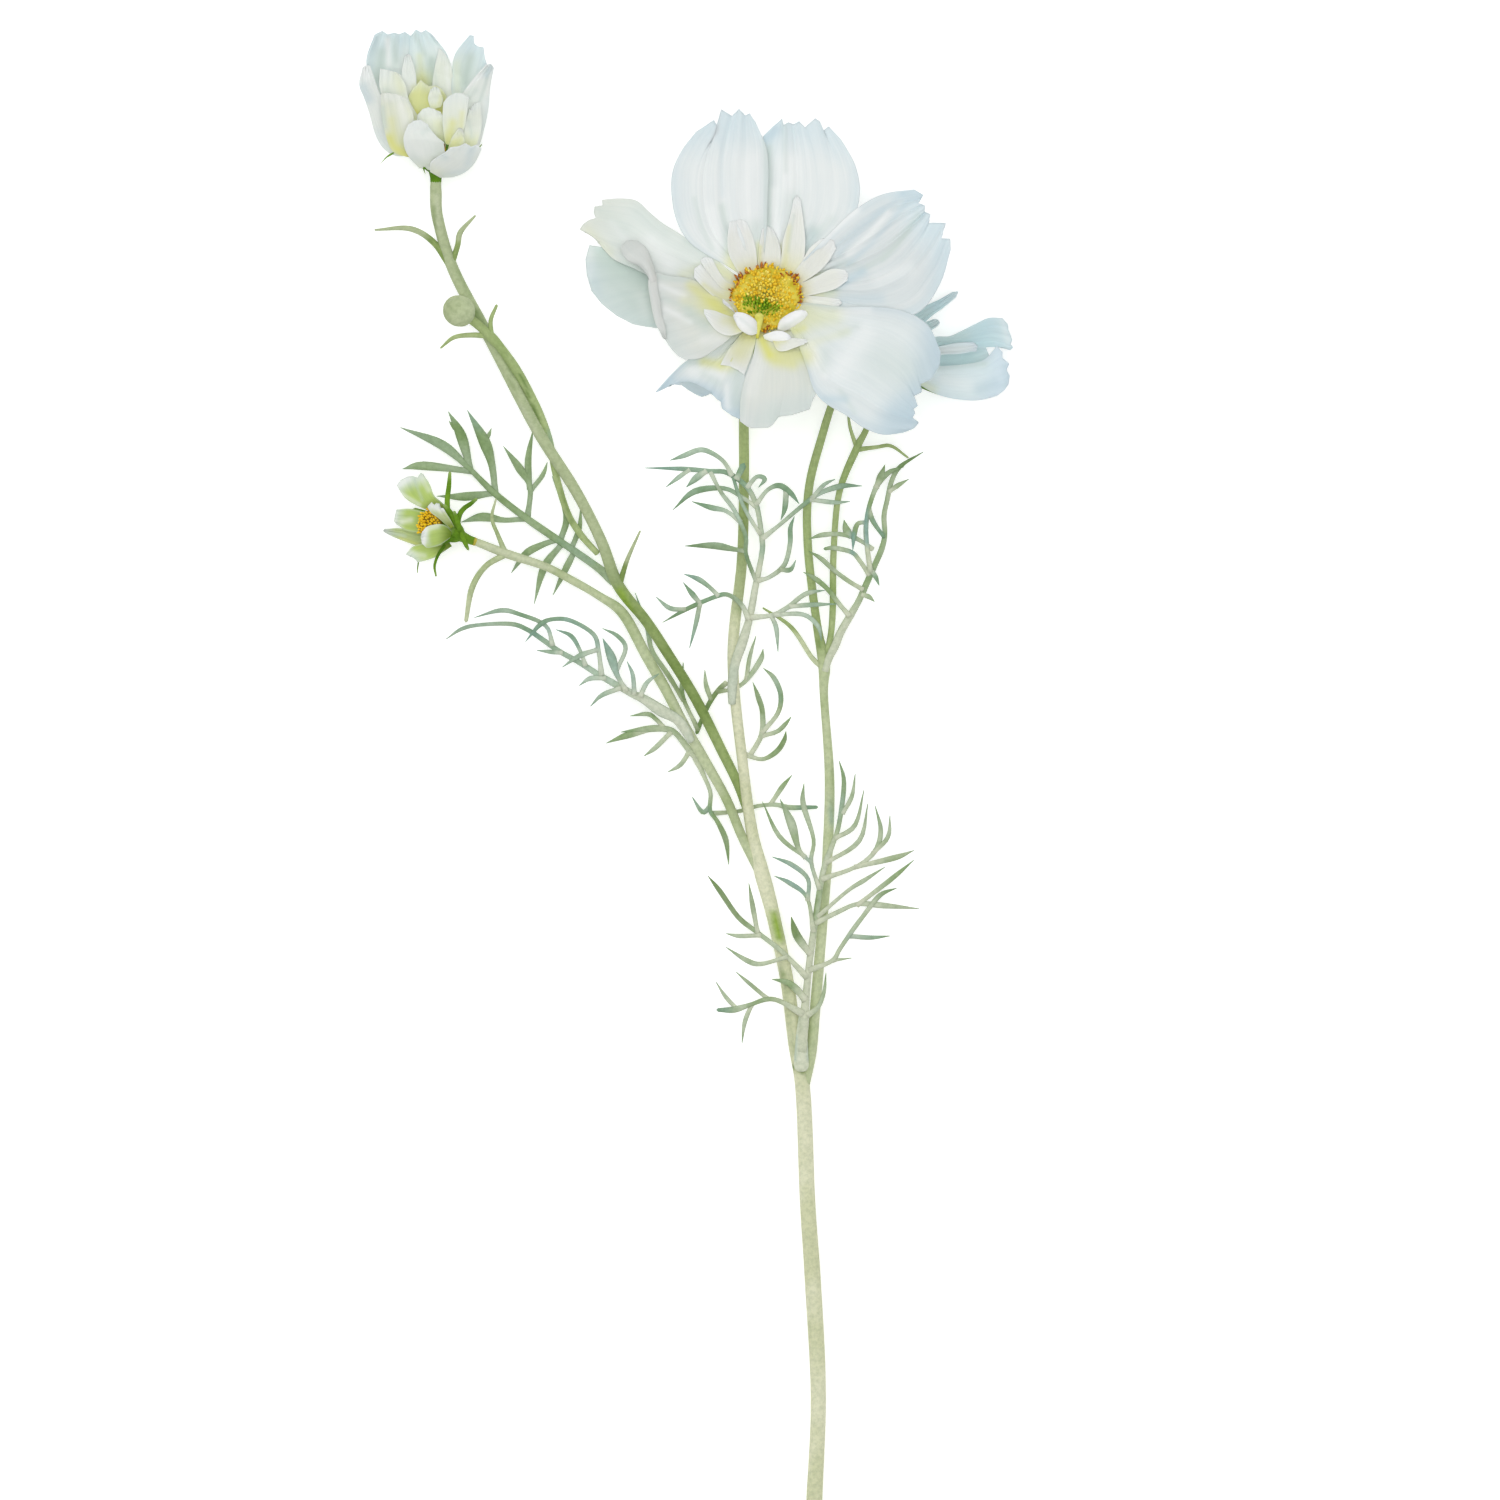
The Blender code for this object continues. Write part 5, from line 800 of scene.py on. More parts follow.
    petal(
        "open_petal_bottom",
        [(-9.4, 295.5), (-10.9, 290), (-11.9, 285), (-13.6, 280.5), (-14.8, 276), (-15, 269.4)],
        [(-6, 295.5), (-1.4, 291.4), (3.2, 286), (5.2, 280), (4.4, 276.8), (3.1, 274.8)],
        [(-13.2, 268.1), (-12, 267.7), (-8, 267.8), (-6.8, 268.5), (-5.2, 270.6), (-2, 271), (2.4, 272.4),
         (2.8, 273.6)],
        [2.2, 2.2, 0.6], [2.2, 1.6, 0], arch=0.5, cup=main_cup, look="warm", ribs=12, rib_depth=0.05,
        yellow=[(1.5, 0.9, (-9.6, 290), (-7.6, 286)), (2.2, 0.55, (-5.5, 286), (1, 286)),
            (1.6, 0.45, (-6, 284.4), (-2, 283.6))],
        shade=[(3.4, 0.35, (-6, 272), (1, 273.4)), (1, 0.35, (-14.5, 279), (-14.8, 271)),
            (2.6, 0.35, (-10, 269.4), (-6.6, 270))],
        pale=[(2.4, 0.3, (-10.6, 284), (-12.4, 277))],
    )
    petal(
        "open_petal_bottom_left",
        [(-11.8, 296), (-15, 292.2), (-23, 287.4), (-29, 284.2), (-33, 280), (-36, 276.6)],
        [(-9.6, 295.5), (-11.4, 290.8), (-11.6, 284), (-12.4, 277), (-14.4, 269.6)],
        [(-33.5, 277.7), (-31.5, 278.7), (-30, 278.6), (-27, 278.4), (-25, 277.4), (-22.4, 276.5),
         (-20.8, 275), (-19.7, 274.2), (-19.5, 272.6), (-17, 270.8)],
        [0.2, 0, -1], [0.2, 0, -1.6], cup=main_cup, look="soft", ruffle=0.6, ribs=14,
        folds=[(0.5, 0.62, 0.06, 0.6), (0.3, 0.36, 0.04, -0.4)],
        yellow=[(2.2, 0.6, (-13, 288), (-18, 284)), (1.4, 0.55, (-20, 283.4), (-24, 284.2))],
        shade=[(1.6, 0.5, (-15.6, 282), (-16, 274)), (1.2, 0.35, (-24, 281), (-20, 278.6)),
            (1, 0.3, (-30, 283.4), (-26, 284.4))],
        blue=[(1.3, 0.9, (-35.8, 276.9), (-32.4, 279.8)), (1, 0.4, (-31.6, 281.4), (-29.4, 283.6))],
        pale=[(1.6, 0.5, (-27, 281.6), (-20, 281.4)), (0.9, 0.5, (-18.4, 278), (-18, 273))],
    )
    petal(
        "open_petal_left_lower",
        [(-13.5, 299.8), (-18.6, 300.6), (-24.2, 303.6), (-28.5, 305.3), (-33, 305.9), (-37.6, 307)],
        [(-12.6, 296.2), (-15.6, 293), (-18.4, 289.4), (-22.6, 286.4), (-25.6, 284.9), (-28.8, 284.8)],
        [(-37.6, 303), (-37, 299.5), (-36.4, 296), (-35.4, 293), (-34, 290.4), (-32, 287.4),
         (-30.2, 285.6)],
        [3.4, 4.2, 5.2], [3.4, 3.4, 2.4], arch=1.2, cup=main_cup, look="warm", ribs=10, rib_depth=0.06,
        folds=[(0.18, 0.16, 0.04, 0.4), (0.42, 0.45, 0.03, 0.35), (0.62, 0.6, 0.04, -0.3)],
        yellow=[(1.3, 0.4, (-27.5, 303.3), (-23, 299.8), (-19.4, 296.4)),
            (3, 0.35, (-23, 298.6), (-16.4, 293.4)),
            (1.5, 0.5, (-15.6, 292.2), (-18.6, 296.6), (-21.6, 299)),
            (2, 0.35, (-20.6, 299.4), (-25.6, 302.4)), (1.6, 0.2, (-28.6, 299.6), (-21, 297.4))],
        shade=[(1.9, 0.6, (-27.6, 296.8), (-23.6, 293.4)), (1, 0.45, (-36.4, 305.6), (-28, 304.8)),
            (0.9, 0.35, (-34, 300), (-28, 297.6)), (2.6, 0.3, (-34, 291.5), (-31, 287.2))],
        pale=[(0.8, 0.5, (-34.8, 303.2), (-29, 300.8)), (0.8, 0.5, (-33.6, 297.4), (-27.4, 294.2)),
            (1.6, 0.3, (-24, 289.6), (-19, 290))],
    )
    petal(
        "open_petal_left_upper",
        [(-13.2, 304.6), (-17.6, 307.1), (-18.8, 307.6), (-20.4, 309.5), (-24.5, 312), (-28.4, 315.3),
         (-33, 318.1), (-36.5, 320.6), (-40, 324.1), (-43.5, 325.1), (-49.4, 324.8)],
        [(-13.8, 301.5), (-18.8, 302.6), (-26, 303), (-33, 304), (-38.6, 306.2), (-43, 308.4),
         (-47.2, 310.4), (-50.5, 314.2)],
        [(-49.3, 323.3), (-51.3, 323.1), (-51.5, 321.6), (-51, 320.3), (-52.6, 319.7), (-54.2, 318.6),
         (-55, 317.3), (-53, 316.4), (-51.2, 315.2)],
        [2.2, 2.4, 2], [2.2, 2.4, 2.2], cup=main_cup, look="mint", ribs=8, rib_depth=0.05,
        folds=[(0.4, 0.42, 0.08, -0.3)],
        yellow=[(1.6, 0.2, (-29, 306), (-25, 307.6)), (1.4, 0.35, (-20.6, 308), (-17.8, 305.6)),
            (1.5, 0.12, (-47.6, 311.6), (-53, 317))],
        shade=[(1.6, 0.35, (-28, 314.4), (-22, 311.4)), (0.8, 0.5, (-44.6, 308.8), (-38.6, 306.8)),
            (2, 0.3, (-50, 322), (-44, 318)), (2.2, 0.25, (-34, 317), (-40, 322))],
        pale=[(2.6, 0.45, (-37, 314), (-33, 309)), (1, 0.3, (-47, 319), (-43, 314))],
    )
    petal(
        "open_petal_left",
        [(-14, 302), (-18.6, 303.6), (-35, 310), (-46, 312.5), (-50.2, 314.2), (-52.6, 313.4)],
        [(-13.5, 299.5), (-17.2, 298), (-24, 294.5), (-30, 293), (-36, 292.8)],
        [(-53.5, 310), (-53.2, 306), (-52, 302), (-49.4, 298.8), (-45.8, 295.9), (-41.8, 293.8),
         (-38.4, 293.1)],
        [-0.2, 0, -0.6], [-0.2, -0.4, -1.6], cup=main_cup, look="aqua", ribs=10,
        shade=[(2.2, 0.6, (-49.5, 310.4), (-46.4, 307), (-38.8, 304.4)),
            (1.2, 0.35, (-47, 304), (-42, 299))],
        blue=[(1.6, 0.25, (-52.6, 308), (-50.6, 301))],
        pale=[(1.4, 0.35, (-52.2, 312), (-52.4, 306)), (1.5, 0.2, (-40, 301), (-38.6, 296))],
    )
    make_folded_edges()
    make_inner_petals()


def make_folded_edges():
    """The rolled rims of the outer petals, whose undersides take darker skins that paint the shade on them.
    """
    edge = dict(cup=main_cup, cells=(24, 40), replaced=False, ribs=3, rib_depth=0.04, ruffle=0.1)
    petal(
        "rolled_tip_left_lower",
        [(-37, 303.6), (-38.4, 306.4), (-40.4, 308.4), (-43.2, 309.7), (-44.7, 311.8)],
        [(-35.8, 304.2), (-36.6, 308), (-37.6, 311), (-38.8, 313.2), (-40.4, 314.4)],
        [(-44.5, 313.2), (-43.4, 314.4), (-42.2, 314.7)],
        [6, 6.6, 7.4], [6, 7, 8], arch=1.4, look="under", **edge,
    )
    petal(
        "rolled_rim_left_lower",
        [(-37.7, 306.6), (-37.8, 303), (-37.2, 299.4), (-36.6, 296), (-35.6, 292.8), (-34.1, 290.2)],
        [(-35.8, 306), (-35.7, 303), (-35, 299.4), (-34.6, 296), (-33.7, 293.2), (-33.4, 290)],
        [(-33.8, 290)],
        [5.8, 5.4, 4.4], [6.2, 5.8, 4.6], arch=0.5, look="under", **edge,
    )
    petal(
        "rolled_edge_bottom_left",
        [(-30.2, 278.9), (-28.4, 277.6), (-26.4, 276.3), (-24.6, 275.5)],
        [(-29.4, 279.1), (-27, 279), (-24.8, 278), (-22, 276.6)],
        [(-23.2, 275.9)],
        [-0.2, -0.4, -0.4], [0.3, 0.3, 0.1], arch=0.3, look="under_blue", **edge,
    )


def make_inner_petals():
    """The pale inner petals in their ring round the disc."""
    short = dict(cup=main_cup, look="cream", slot="petal_cream", cells=(36, 44), ribs=6, rib_depth=0.05,
                 ruffle=0.15, thickness=SHORT_PETAL_THICKNESS)
    petal(
        "inner_petal_left",
        [(-17.2, 301.6), (-19.8, 302.4), (-22.8, 306), (-25, 309.8)],
        [(-16.2, 303.4), (-18.6, 304.6), (-20.4, 307.2), (-22, 310.2)],
        [(-23.6, 310.6)],
        [2.9, 3, 3], [2.8, 2.9, 3], **short,
    )
    petal(
        "inner_petal_left_low",
        [(-14.2, 295.4), (-17.6, 295.6), (-20.8, 296.9), (-24, 297.4)],
        [(-13.2, 292.6), (-17, 290.8), (-20.6, 291.8), (-23.2, 295)],
        [(-24, 296.4)],
        [4.4, 5.2, 6], [4, 4.9, 5.5], yellow=[(1.6, 0.35, (-15, 294.4), (-18.6, 294.6))], **short,
    )
    petal(
        "inner_petal_top_left",
        [(-13.6, 304.6), (-16.8, 309), (-18.2, 313.4), (-17.6, 319.2)],
        [(-10.4, 305), (-10.8, 310), (-11.4, 314.6), (-13.4, 319.4)],
        [(-16.6, 319.6), (-14.8, 320)],
        [3.1, 3.5, 4], [3.1, 3.4, 3.8], pale=[(1.6, 0.4, (-15, 318), (-14.4, 313))], **short,
    )
    petal(
        "inner_petal_top",
        [(-6.6, 304.4), (-5, 309), (-4.2, 315), (-2.4, 321), (-1.5, 325.2)],
        [(-3.4, 304.4), (0.2, 308), (1.3, 312.8), (0.9, 319), (0.1, 325)],
        [(-0.7, 326)],
        [1.8, 1.1, 0.4], [2.2, 1.6, 0.5], yellow=[(0.8, 0.3, (-3.8, 308), (-2.8, 318))],
        shade=[(0.5, 0.4, (-3, 312), (-1.6, 321))], **short,
    )
    petal(
        "inner_petal_right",
        [(-2.6, 303.4), (2.4, 304.8), (6.4, 307), (9.6, 307.9), (11.2, 307.3)],
        [(-2.4, 301.2), (1.6, 300.8), (5.4, 301.6), (9.4, 302.8), (11.8, 304.6)],
        [(12, 306.2)],
        [2.4, 2.4, 2.8], [2.4, 2.3, 2.6], **short,
    )
    petal(
        "inner_petal_bottom",
        [(-13.6, 292.4), (-15.6, 290.2), (-18.2, 286.8), (-19.9, 283.5)],
        [(-10.8, 292), (-11.3, 288.6), (-12.4, 285), (-13.9, 281)],
        [(-17.6, 283.2), (-15.6, 282.2)],
        [1.4, 1, 0.5], [1.6, 1, 0.6], yellow=[(3.2, 0.5, (-12.6, 290), (-15, 287))],
        shade=[(0.4, 0.4, (-17.6, 288), (-16, 289.4))], **short,
    )
    extra = dict(short, replaced=False)
    petal(
        "inner_petal_left_cream",
        [(-17.8, 299.8), (-20.2, 299.8), (-23.2, 302), (-26.5, 305.4)],
        [(-17.2, 301.8), (-19.4, 302.4), (-22.2, 305.4), (-24.8, 308.8)],
        [(-26.4, 307.6)],
        [4.4, 5.1, 4.6], [3.5, 3.5, 3.5], yellow=[(0.8, 0.4, (-20, 300.6), (-24, 303.4))], **extra,
    )
    petal(
        "inner_petal_top_low",
        [(-10.6, 304.8), (-10.5, 309.6), (-10.2, 313.4), (-9.4, 317.6)],
        [(-6, 304.8), (-4.9, 309.4), (-5, 313.4), (-6.8, 317.6)],
        [(-8.2, 318.4)],
        [3.2, 3.3, 3.2], [1.8, 1.1, 0.8], yellow=[(0.6, 0.5, (-10.2, 309), (-10, 313))], **extra,
    )
    petal(
        "inner_petal_right_up",
        [(-3.6, 304), (0.3, 309.2), (2.4, 312.8), (5, 315)],
        [(-2.2, 302.8), (3, 305.6), (6.6, 308.8), (9, 312.6)],
        [(6.8, 315.4), (8.4, 314.7)],
        [2.3, 1.9, 1.6], [2.3, 2.4, 2.6], **extra,
    )
    petal(
        "inner_petal_right_low",
        [(-1.8, 300.8), (2.6, 300.8), (6.6, 300.4), (9.8, 299.9)],
        [(-2, 298.4), (2, 297.4), (6.4, 297), (9.6, 298.2)],
        [(10.5, 299)],
        [2.3, 2.2, 2.3], [2.3, 2.2, 2.3], **extra,
    )
    petal(
        "inner_petal_low_right",
        [(-7.4, 291.4), (-4.6, 290.6), (-1.5, 290.2), (1.4, 289.9)],
        [(-6.8, 289.4), (-5.2, 286.8), (-2.6, 287.4), (0.8, 288.6)],
        [(2, 289.3)],
        [3.5, 3.5, 5.2], [3.4, 3.4, 5], yellow=[(1, 0.4, (-6.4, 289.6), (-4, 289.6))], **extra,
    )


def make_upper_bloom():
    """The half-open bloom, from the petals at its back to the two at its front."""
    tall = dict(cells=(48, 56), ribs=8, rib_depth=0.06, ruffle=0.3)
    low = dict(cells=(36, 40), ribs=5, rib_depth=0.05, ruffle=0.2)
    petal(
        "upper_petal_back_left",
        [(-96, 337), (-103, 343), (-107, 353), (-108.4, 359), (-107.2, 364), (-106.3, 366.3)],
        [(-93.5, 338), (-95, 348), (-96.5, 358), (-97.2, 366)],
        [(-104.4, 367.3), (-103, 366.4), (-101.4, 366.9), (-100.2, 366.5), (-98.8, 367.1)],
        [7.6, 6, 8, 9.6], [7.6, 0.8, 1.4, 4], look="cup_blue",
        shade=[(1.4, 0.7, (-105, 362), (-105.4, 355.6)), (0.8, 0.4, (-101.8, 365), (-101, 360))],
        blue=[(1.6, 0.3, (-106.6, 364.6), (-107.6, 358.6)), (0.9, 0.2, (-99.6, 366), (-99.8, 362))],
        pale=[(0.9, 0.7, (-103.2, 365), (-103, 359)), (2, 0.4, (-98.4, 362), (-99, 358))],
        **tall,
    )
    petal(
        "upper_petal_back",
        [(-94, 338), (-97, 348), (-98, 358), (-97.4, 366)],
        [(-90.4, 337), (-88.6, 346), (-87.6, 354), (-87.4, 359.3), (-89.6, 363.6), (-91.9, 366.2)],
        [(-96, 367.7), (-94.8, 366.9), (-93.6, 367.6)],
        [9.4, 2.6, 3.2, 5.6], [9.4, 4, 4.2, 6], look="cup_blue",
        yellow=[(3, 0.7, (-94.5, 350), (-95, 354)), (1, 0.25, (-94.6, 356), (-95.2, 361))],
        shade=[(0.7, 0.5, (-96.4, 366.4), (-93.8, 361.6)), (1.3, 0.9, (-92.2, 360), (-92.4, 353.6))],
        pale=[(0.9, 0.3, (-90.6, 363), (-89, 359))], **tall,
    )
    petal(
        "upper_petal_back_cream",
        [(-91, 346), (-91.9, 352), (-91.6, 357), (-90.2, 363)],
        [(-87.5, 346), (-86.6, 352), (-86.9, 357), (-87.4, 359.4)],
        [(-88.8, 361.6)],
        [10, 7, 6.6, 7.4], [10, 7, 6.6, 7.4], look="cup_pale", replaced=False,
        shade=[(0.7, 0.3, (-91.4, 357), (-90.8, 353))], pale=[(0.7, 0.4, (-88.4, 358), (-87.8, 353))],
        **tall,
    )
    petal(
        "upper_petal_back_right",
        [(-90, 338), (-87.6, 348), (-87, 356), (-86.8, 359.6), (-85.4, 363), (-82.6, 366.2)],
        [(-87.8, 337), (-82, 344), (-79.2, 352), (-78.3, 358.6)],
        [(-81.6, 366.1), (-81.5, 364.1), (-80.6, 363.4), (-79.2, 363.2), (-78.8, 360.4)],
        [10.8, 7, 6.6, 9], [10.8, 9, 10.4, 12.8], look="cup_blue",
        yellow=[(1.2, 0.15, (-86, 359), (-85.6, 352))],
        shade=[(1.5, 0.9, (-82.4, 360.6), (-83.8, 354.6)), (1, 0.35, (-84.6, 361), (-85, 357))],
        blue=[(1.2, 0.25, (-82.4, 365.4), (-83.6, 362.4))], **tall,
    )
    petal(
        "upper_petal_right",
        [(-87.4, 338.4), (-86, 346), (-84.4, 351.8), (-81, 355.6), (-78.4, 358.6)],
        [(-85.8, 336.4), (-80.6, 338), (-78.8, 343.5), (-77.6, 350), (-77.4, 355.8), (-76.6, 358)],
        [(-77.2, 358.9)],
        [14.4, 14.6, 16, 18], [14.4, 12, 13, 15.6], look="cup_grey",
        shade=[(0.5, 0.5, (-80, 349.8), (-78.6, 354), (-78, 357.6)),
            (0.9, 0.4, (-83, 350.4), (-81.2, 352.4))],
        blue=[(0.9, 0.45, (-77.2, 358.4), (-78.6, 356.4)), (1, 0.2, (-78.2, 350), (-79, 343))],
        pale=[(0.8, 0.6, (-83.2, 353.4), (-79.6, 356.4))], **tall,
    )
    petal(
        "upper_petal_left",
        [(-96.6, 336.4), (-101.8, 336.1), (-104.6, 338.6), (-106.7, 343), (-108.2, 349.4), (-109.9, 351.4),
         (-110, 355), (-109.2, 358)],
        [(-95.6, 338), (-101, 343), (-104.4, 350), (-107.4, 358.4)],
        [(-108.4, 358.6)],
        [11.6, 9.4, 10.8, 13], [11.6, 12.6, 14, 16], look="cup_grey",
        shade=[(0.8, 0.4, (-104.4, 347.6), (-103.6, 342.6)), (1.1, 0.4, (-105.8, 358), (-105.4, 354.6))],
        blue=[(1.6, 0.5, (-109.2, 353), (-108, 350.4)), (1.6, 0.25, (-105, 341.6), (-103, 338))],
        pale=[(0.8, 0.5, (-108.8, 357.6), (-108.2, 355.6))], **tall,
    )
    petal(
        "upper_inner_petal_left",
        [(-96.5, 343), (-102.5, 347.6), (-105, 353), (-104.9, 357.8)],
        [(-94.5, 344.4), (-97.6, 349.6), (-98.5, 353.4), (-99.8, 356.2)],
        [(-102.6, 357.3), (-101, 356.9)],
        [13.5, 13, 13.6, 14.6], [13.5, 12, 12, 13], look="cup_pale", slot="petal_cream",
        yellow=[(1.3, 0.18, (-101, 356), (-99.6, 352.6))],
        shade=[(0.9, 0.4, (-103.6, 352.6), (-102.4, 351))], **low,
    )
    petal(
        "upper_petal_front_left",
        [(-97.5, 335.5), (-101.2, 336.4), (-103.6, 341.5), (-104.6, 347), (-104.7, 351.4)],
        [(-95, 336), (-96.4, 341), (-96.4, 345.6), (-98.2, 350.2)],
        [(-103, 351.6), (-100.6, 351.2)],
        [15.2, 15.6, 17.6, 20], [15.2, 18.4, 20.4, 21.6], look="cup",
        yellow=[(1.2, 0.75, (-102.6, 340.4), (-101.2, 338.2), (-98.6, 336.4)),
            (1, 0.3, (-102, 345), (-101.4, 341))],
        shade=[(0.7, 0.6, (-104.2, 348), (-103.8, 343.4))],
        pale=[(1.4, 0.5, (-99.6, 348.4), (-98, 342.6)), (1, 0.3, (-103.4, 350.6), (-100, 350.4))],
        **low,
    )
    petal(
        "upper_petal_narrow",
        [(-98.4, 346), (-99.3, 352), (-99.5, 357.4), (-98.6, 361)],
        [(-96.6, 346), (-95.9, 352), (-96.2, 357.4), (-97.3, 361)],
        [(-98, 361.5)],
        [11, 9, 9, 9.8], [11, 9, 9, 9.8], look="cup_grey", replaced=False,
        yellow=[(1, 0.3, (-97, 350), (-96.4, 353))], **low,
    )
    petal(
        "upper_petal_throat",
        [(-96.4, 342.6), (-98.3, 347.6), (-98, 350.6), (-96.4, 353.2)],
        [(-88.8, 343.6), (-88.2, 348), (-88.4, 351), (-89.6, 352.8)],
        [(-94.8, 355), (-92.8, 353.4), (-91, 353.6)],
        [12, 11.2, 10.4], [12, 11.2, 10.6], look="throat", slot="petal_cream", replaced=False,
        yellow=[(0.7, 0.9, (-96, 347), (-96.1, 344.6)), (0.7, 0.8, (-92.6, 349.4), (-89.8, 347.2))],
        **low,
    )
    petal(
        "upper_petal_small_white",
        [(-92.2, 347.4), (-93, 350.4), (-92.2, 352.6)],
        [(-89.8, 348.2), (-89.2, 350.2), (-90.3, 352.8)],
        [(-91.3, 353.3)],
        [13.4, 13.6, 14], [13.4, 13.4, 14], look="cup_pale", replaced=False,
        yellow=[(0.6, 0.35, (-90, 349.4), (-89.6, 351))], **low,
    )
    petal(
        "upper_inner_petal_centre",
        [(-94.6, 338.6), (-96, 342), (-95.5, 346.2)],
        [(-89, 338.2), (-88.1, 341.5), (-88.4, 344.4), (-89.8, 346.8)],
        [(-94.3, 347.6), (-92.8, 348.1), (-91.2, 347.5)],
        [14.6, 15.8, 17.4], [14.6, 15.8, 17.4], arch=1, look="cup_pale", slot="petal_cream",
        yellow=[(1.6, 0.25, (-90.4, 343.6), (-89.6, 340.6))], pale=[(1, 0.3, (-93.6, 347), (-90.6, 346))],
        **low,
    )
    petal(
        "upper_petal_front",
        [(-95.2, 333), (-98.2, 336.6), (-98.9, 340.5), (-97.7, 343.6)],
        [(-91.5, 332.2), (-89, 335.8), (-88.8, 339.4), (-91.2, 341), (-93, 343.6)],
        [(-96.4, 344.6), (-94.6, 344.8)],
        [17, 19.4, 22.6, 24], [17, 20.6, 22.8, 24.4], arch=1.8, look="cup_grey",
        shade=[(1.2, 0.35, (-96.6, 335.4), (-93, 333.4)), (0.8, 0.3, (-94.2, 341.6), (-92.6, 342.6))],
        **low,
    )
    petal(
        "upper_inner_petal_right",
        [(-88.6, 339), (-89.3, 344), (-89.1, 349.2)],
        [(-86, 338), (-83.9, 342.6), (-83.1, 347), (-82.7, 350.4)],
        [(-87.8, 350.8), (-86, 351.6), (-84.2, 351.5)],
        [17.4, 18.8, 20.6], [17.4, 18.6, 20.6], look="cup_pale", slot="petal_cream",
        yellow=[(1.4, 0.55, (-88, 339), (-86.8, 344)), (0.8, 0.35, (-84.4, 346.6), (-84.6, 343.4))],
        **low,
    )
    petal(
        "upper_petal_small_yellow",
        [(-88, 337.4), (-86.9, 340.6), (-85.1, 342.8)],
        [(-84.7, 337.6), (-83.8, 339.6), (-84.2, 342)],
        [(-84.6, 342.8)],
        [19.8, 20.4, 21.2], [19.8, 20.4, 21.2], look="cup", slot="petal_cream", replaced=False,
        yellow=[(0.9, 0.4, (-86.4, 339.4), (-84.8, 340))], **low,
    )
    petal(
        "upper_petal_right_white",
        [(-84.4, 338.6), (-83.6, 344), (-82.4, 347.4)],
        [(-81, 337.8), (-79.6, 343), (-79.9, 349.5)],
        [(-81.4, 349)],
        [17.6, 17.6, 18], [17.4, 15.6, 16.8], look="cup_pale", replaced=False,
        shade=[(0.6, 0.35, (-82.8, 344.6), (-82, 340.6))], **low,
    )
    petal(
        "upper_petal_front_right",
        [(-92.4, 332.1), (-92.3, 334.2), (-90.4, 335.6), (-88.6, 336.6), (-87.2, 337.8)],
        [(-89.9, 330.6), (-86, 330.9), (-83, 332.4), (-80.9, 334.8), (-79.5, 337.6)],
        [(-85, 338.1), (-83.5, 338.9), (-82, 338), (-80.6, 338.6)],
        [16.6, 22, 25.8, 27.6], [15.8, 17.4, 20, 24], arch=1, look="cup_grey",
        blue=[(1.2, 0.35, (-82, 337.6), (-83, 334)), (0.9, 0.3, (-89.6, 336.4), (-88.4, 335.6)),
            (0.9, 0.3, (-89, 331.2), (-84, 332.2))],
        **low,
    )
    # A dark strand laid in the slit between the front petals, where it paints the shade in the gap.
    grow(
        "upper_slit_shadow",
        [[(-88.8, 338.8, 26.6, 0.3), (-88.6, 337.9, 27.2, 0.34), (-88.55, 337, 27.4, 0.3)]],
        "brown", "disc_yellow", sides=8, steps=4, wobble=0, replaced=False,
    )


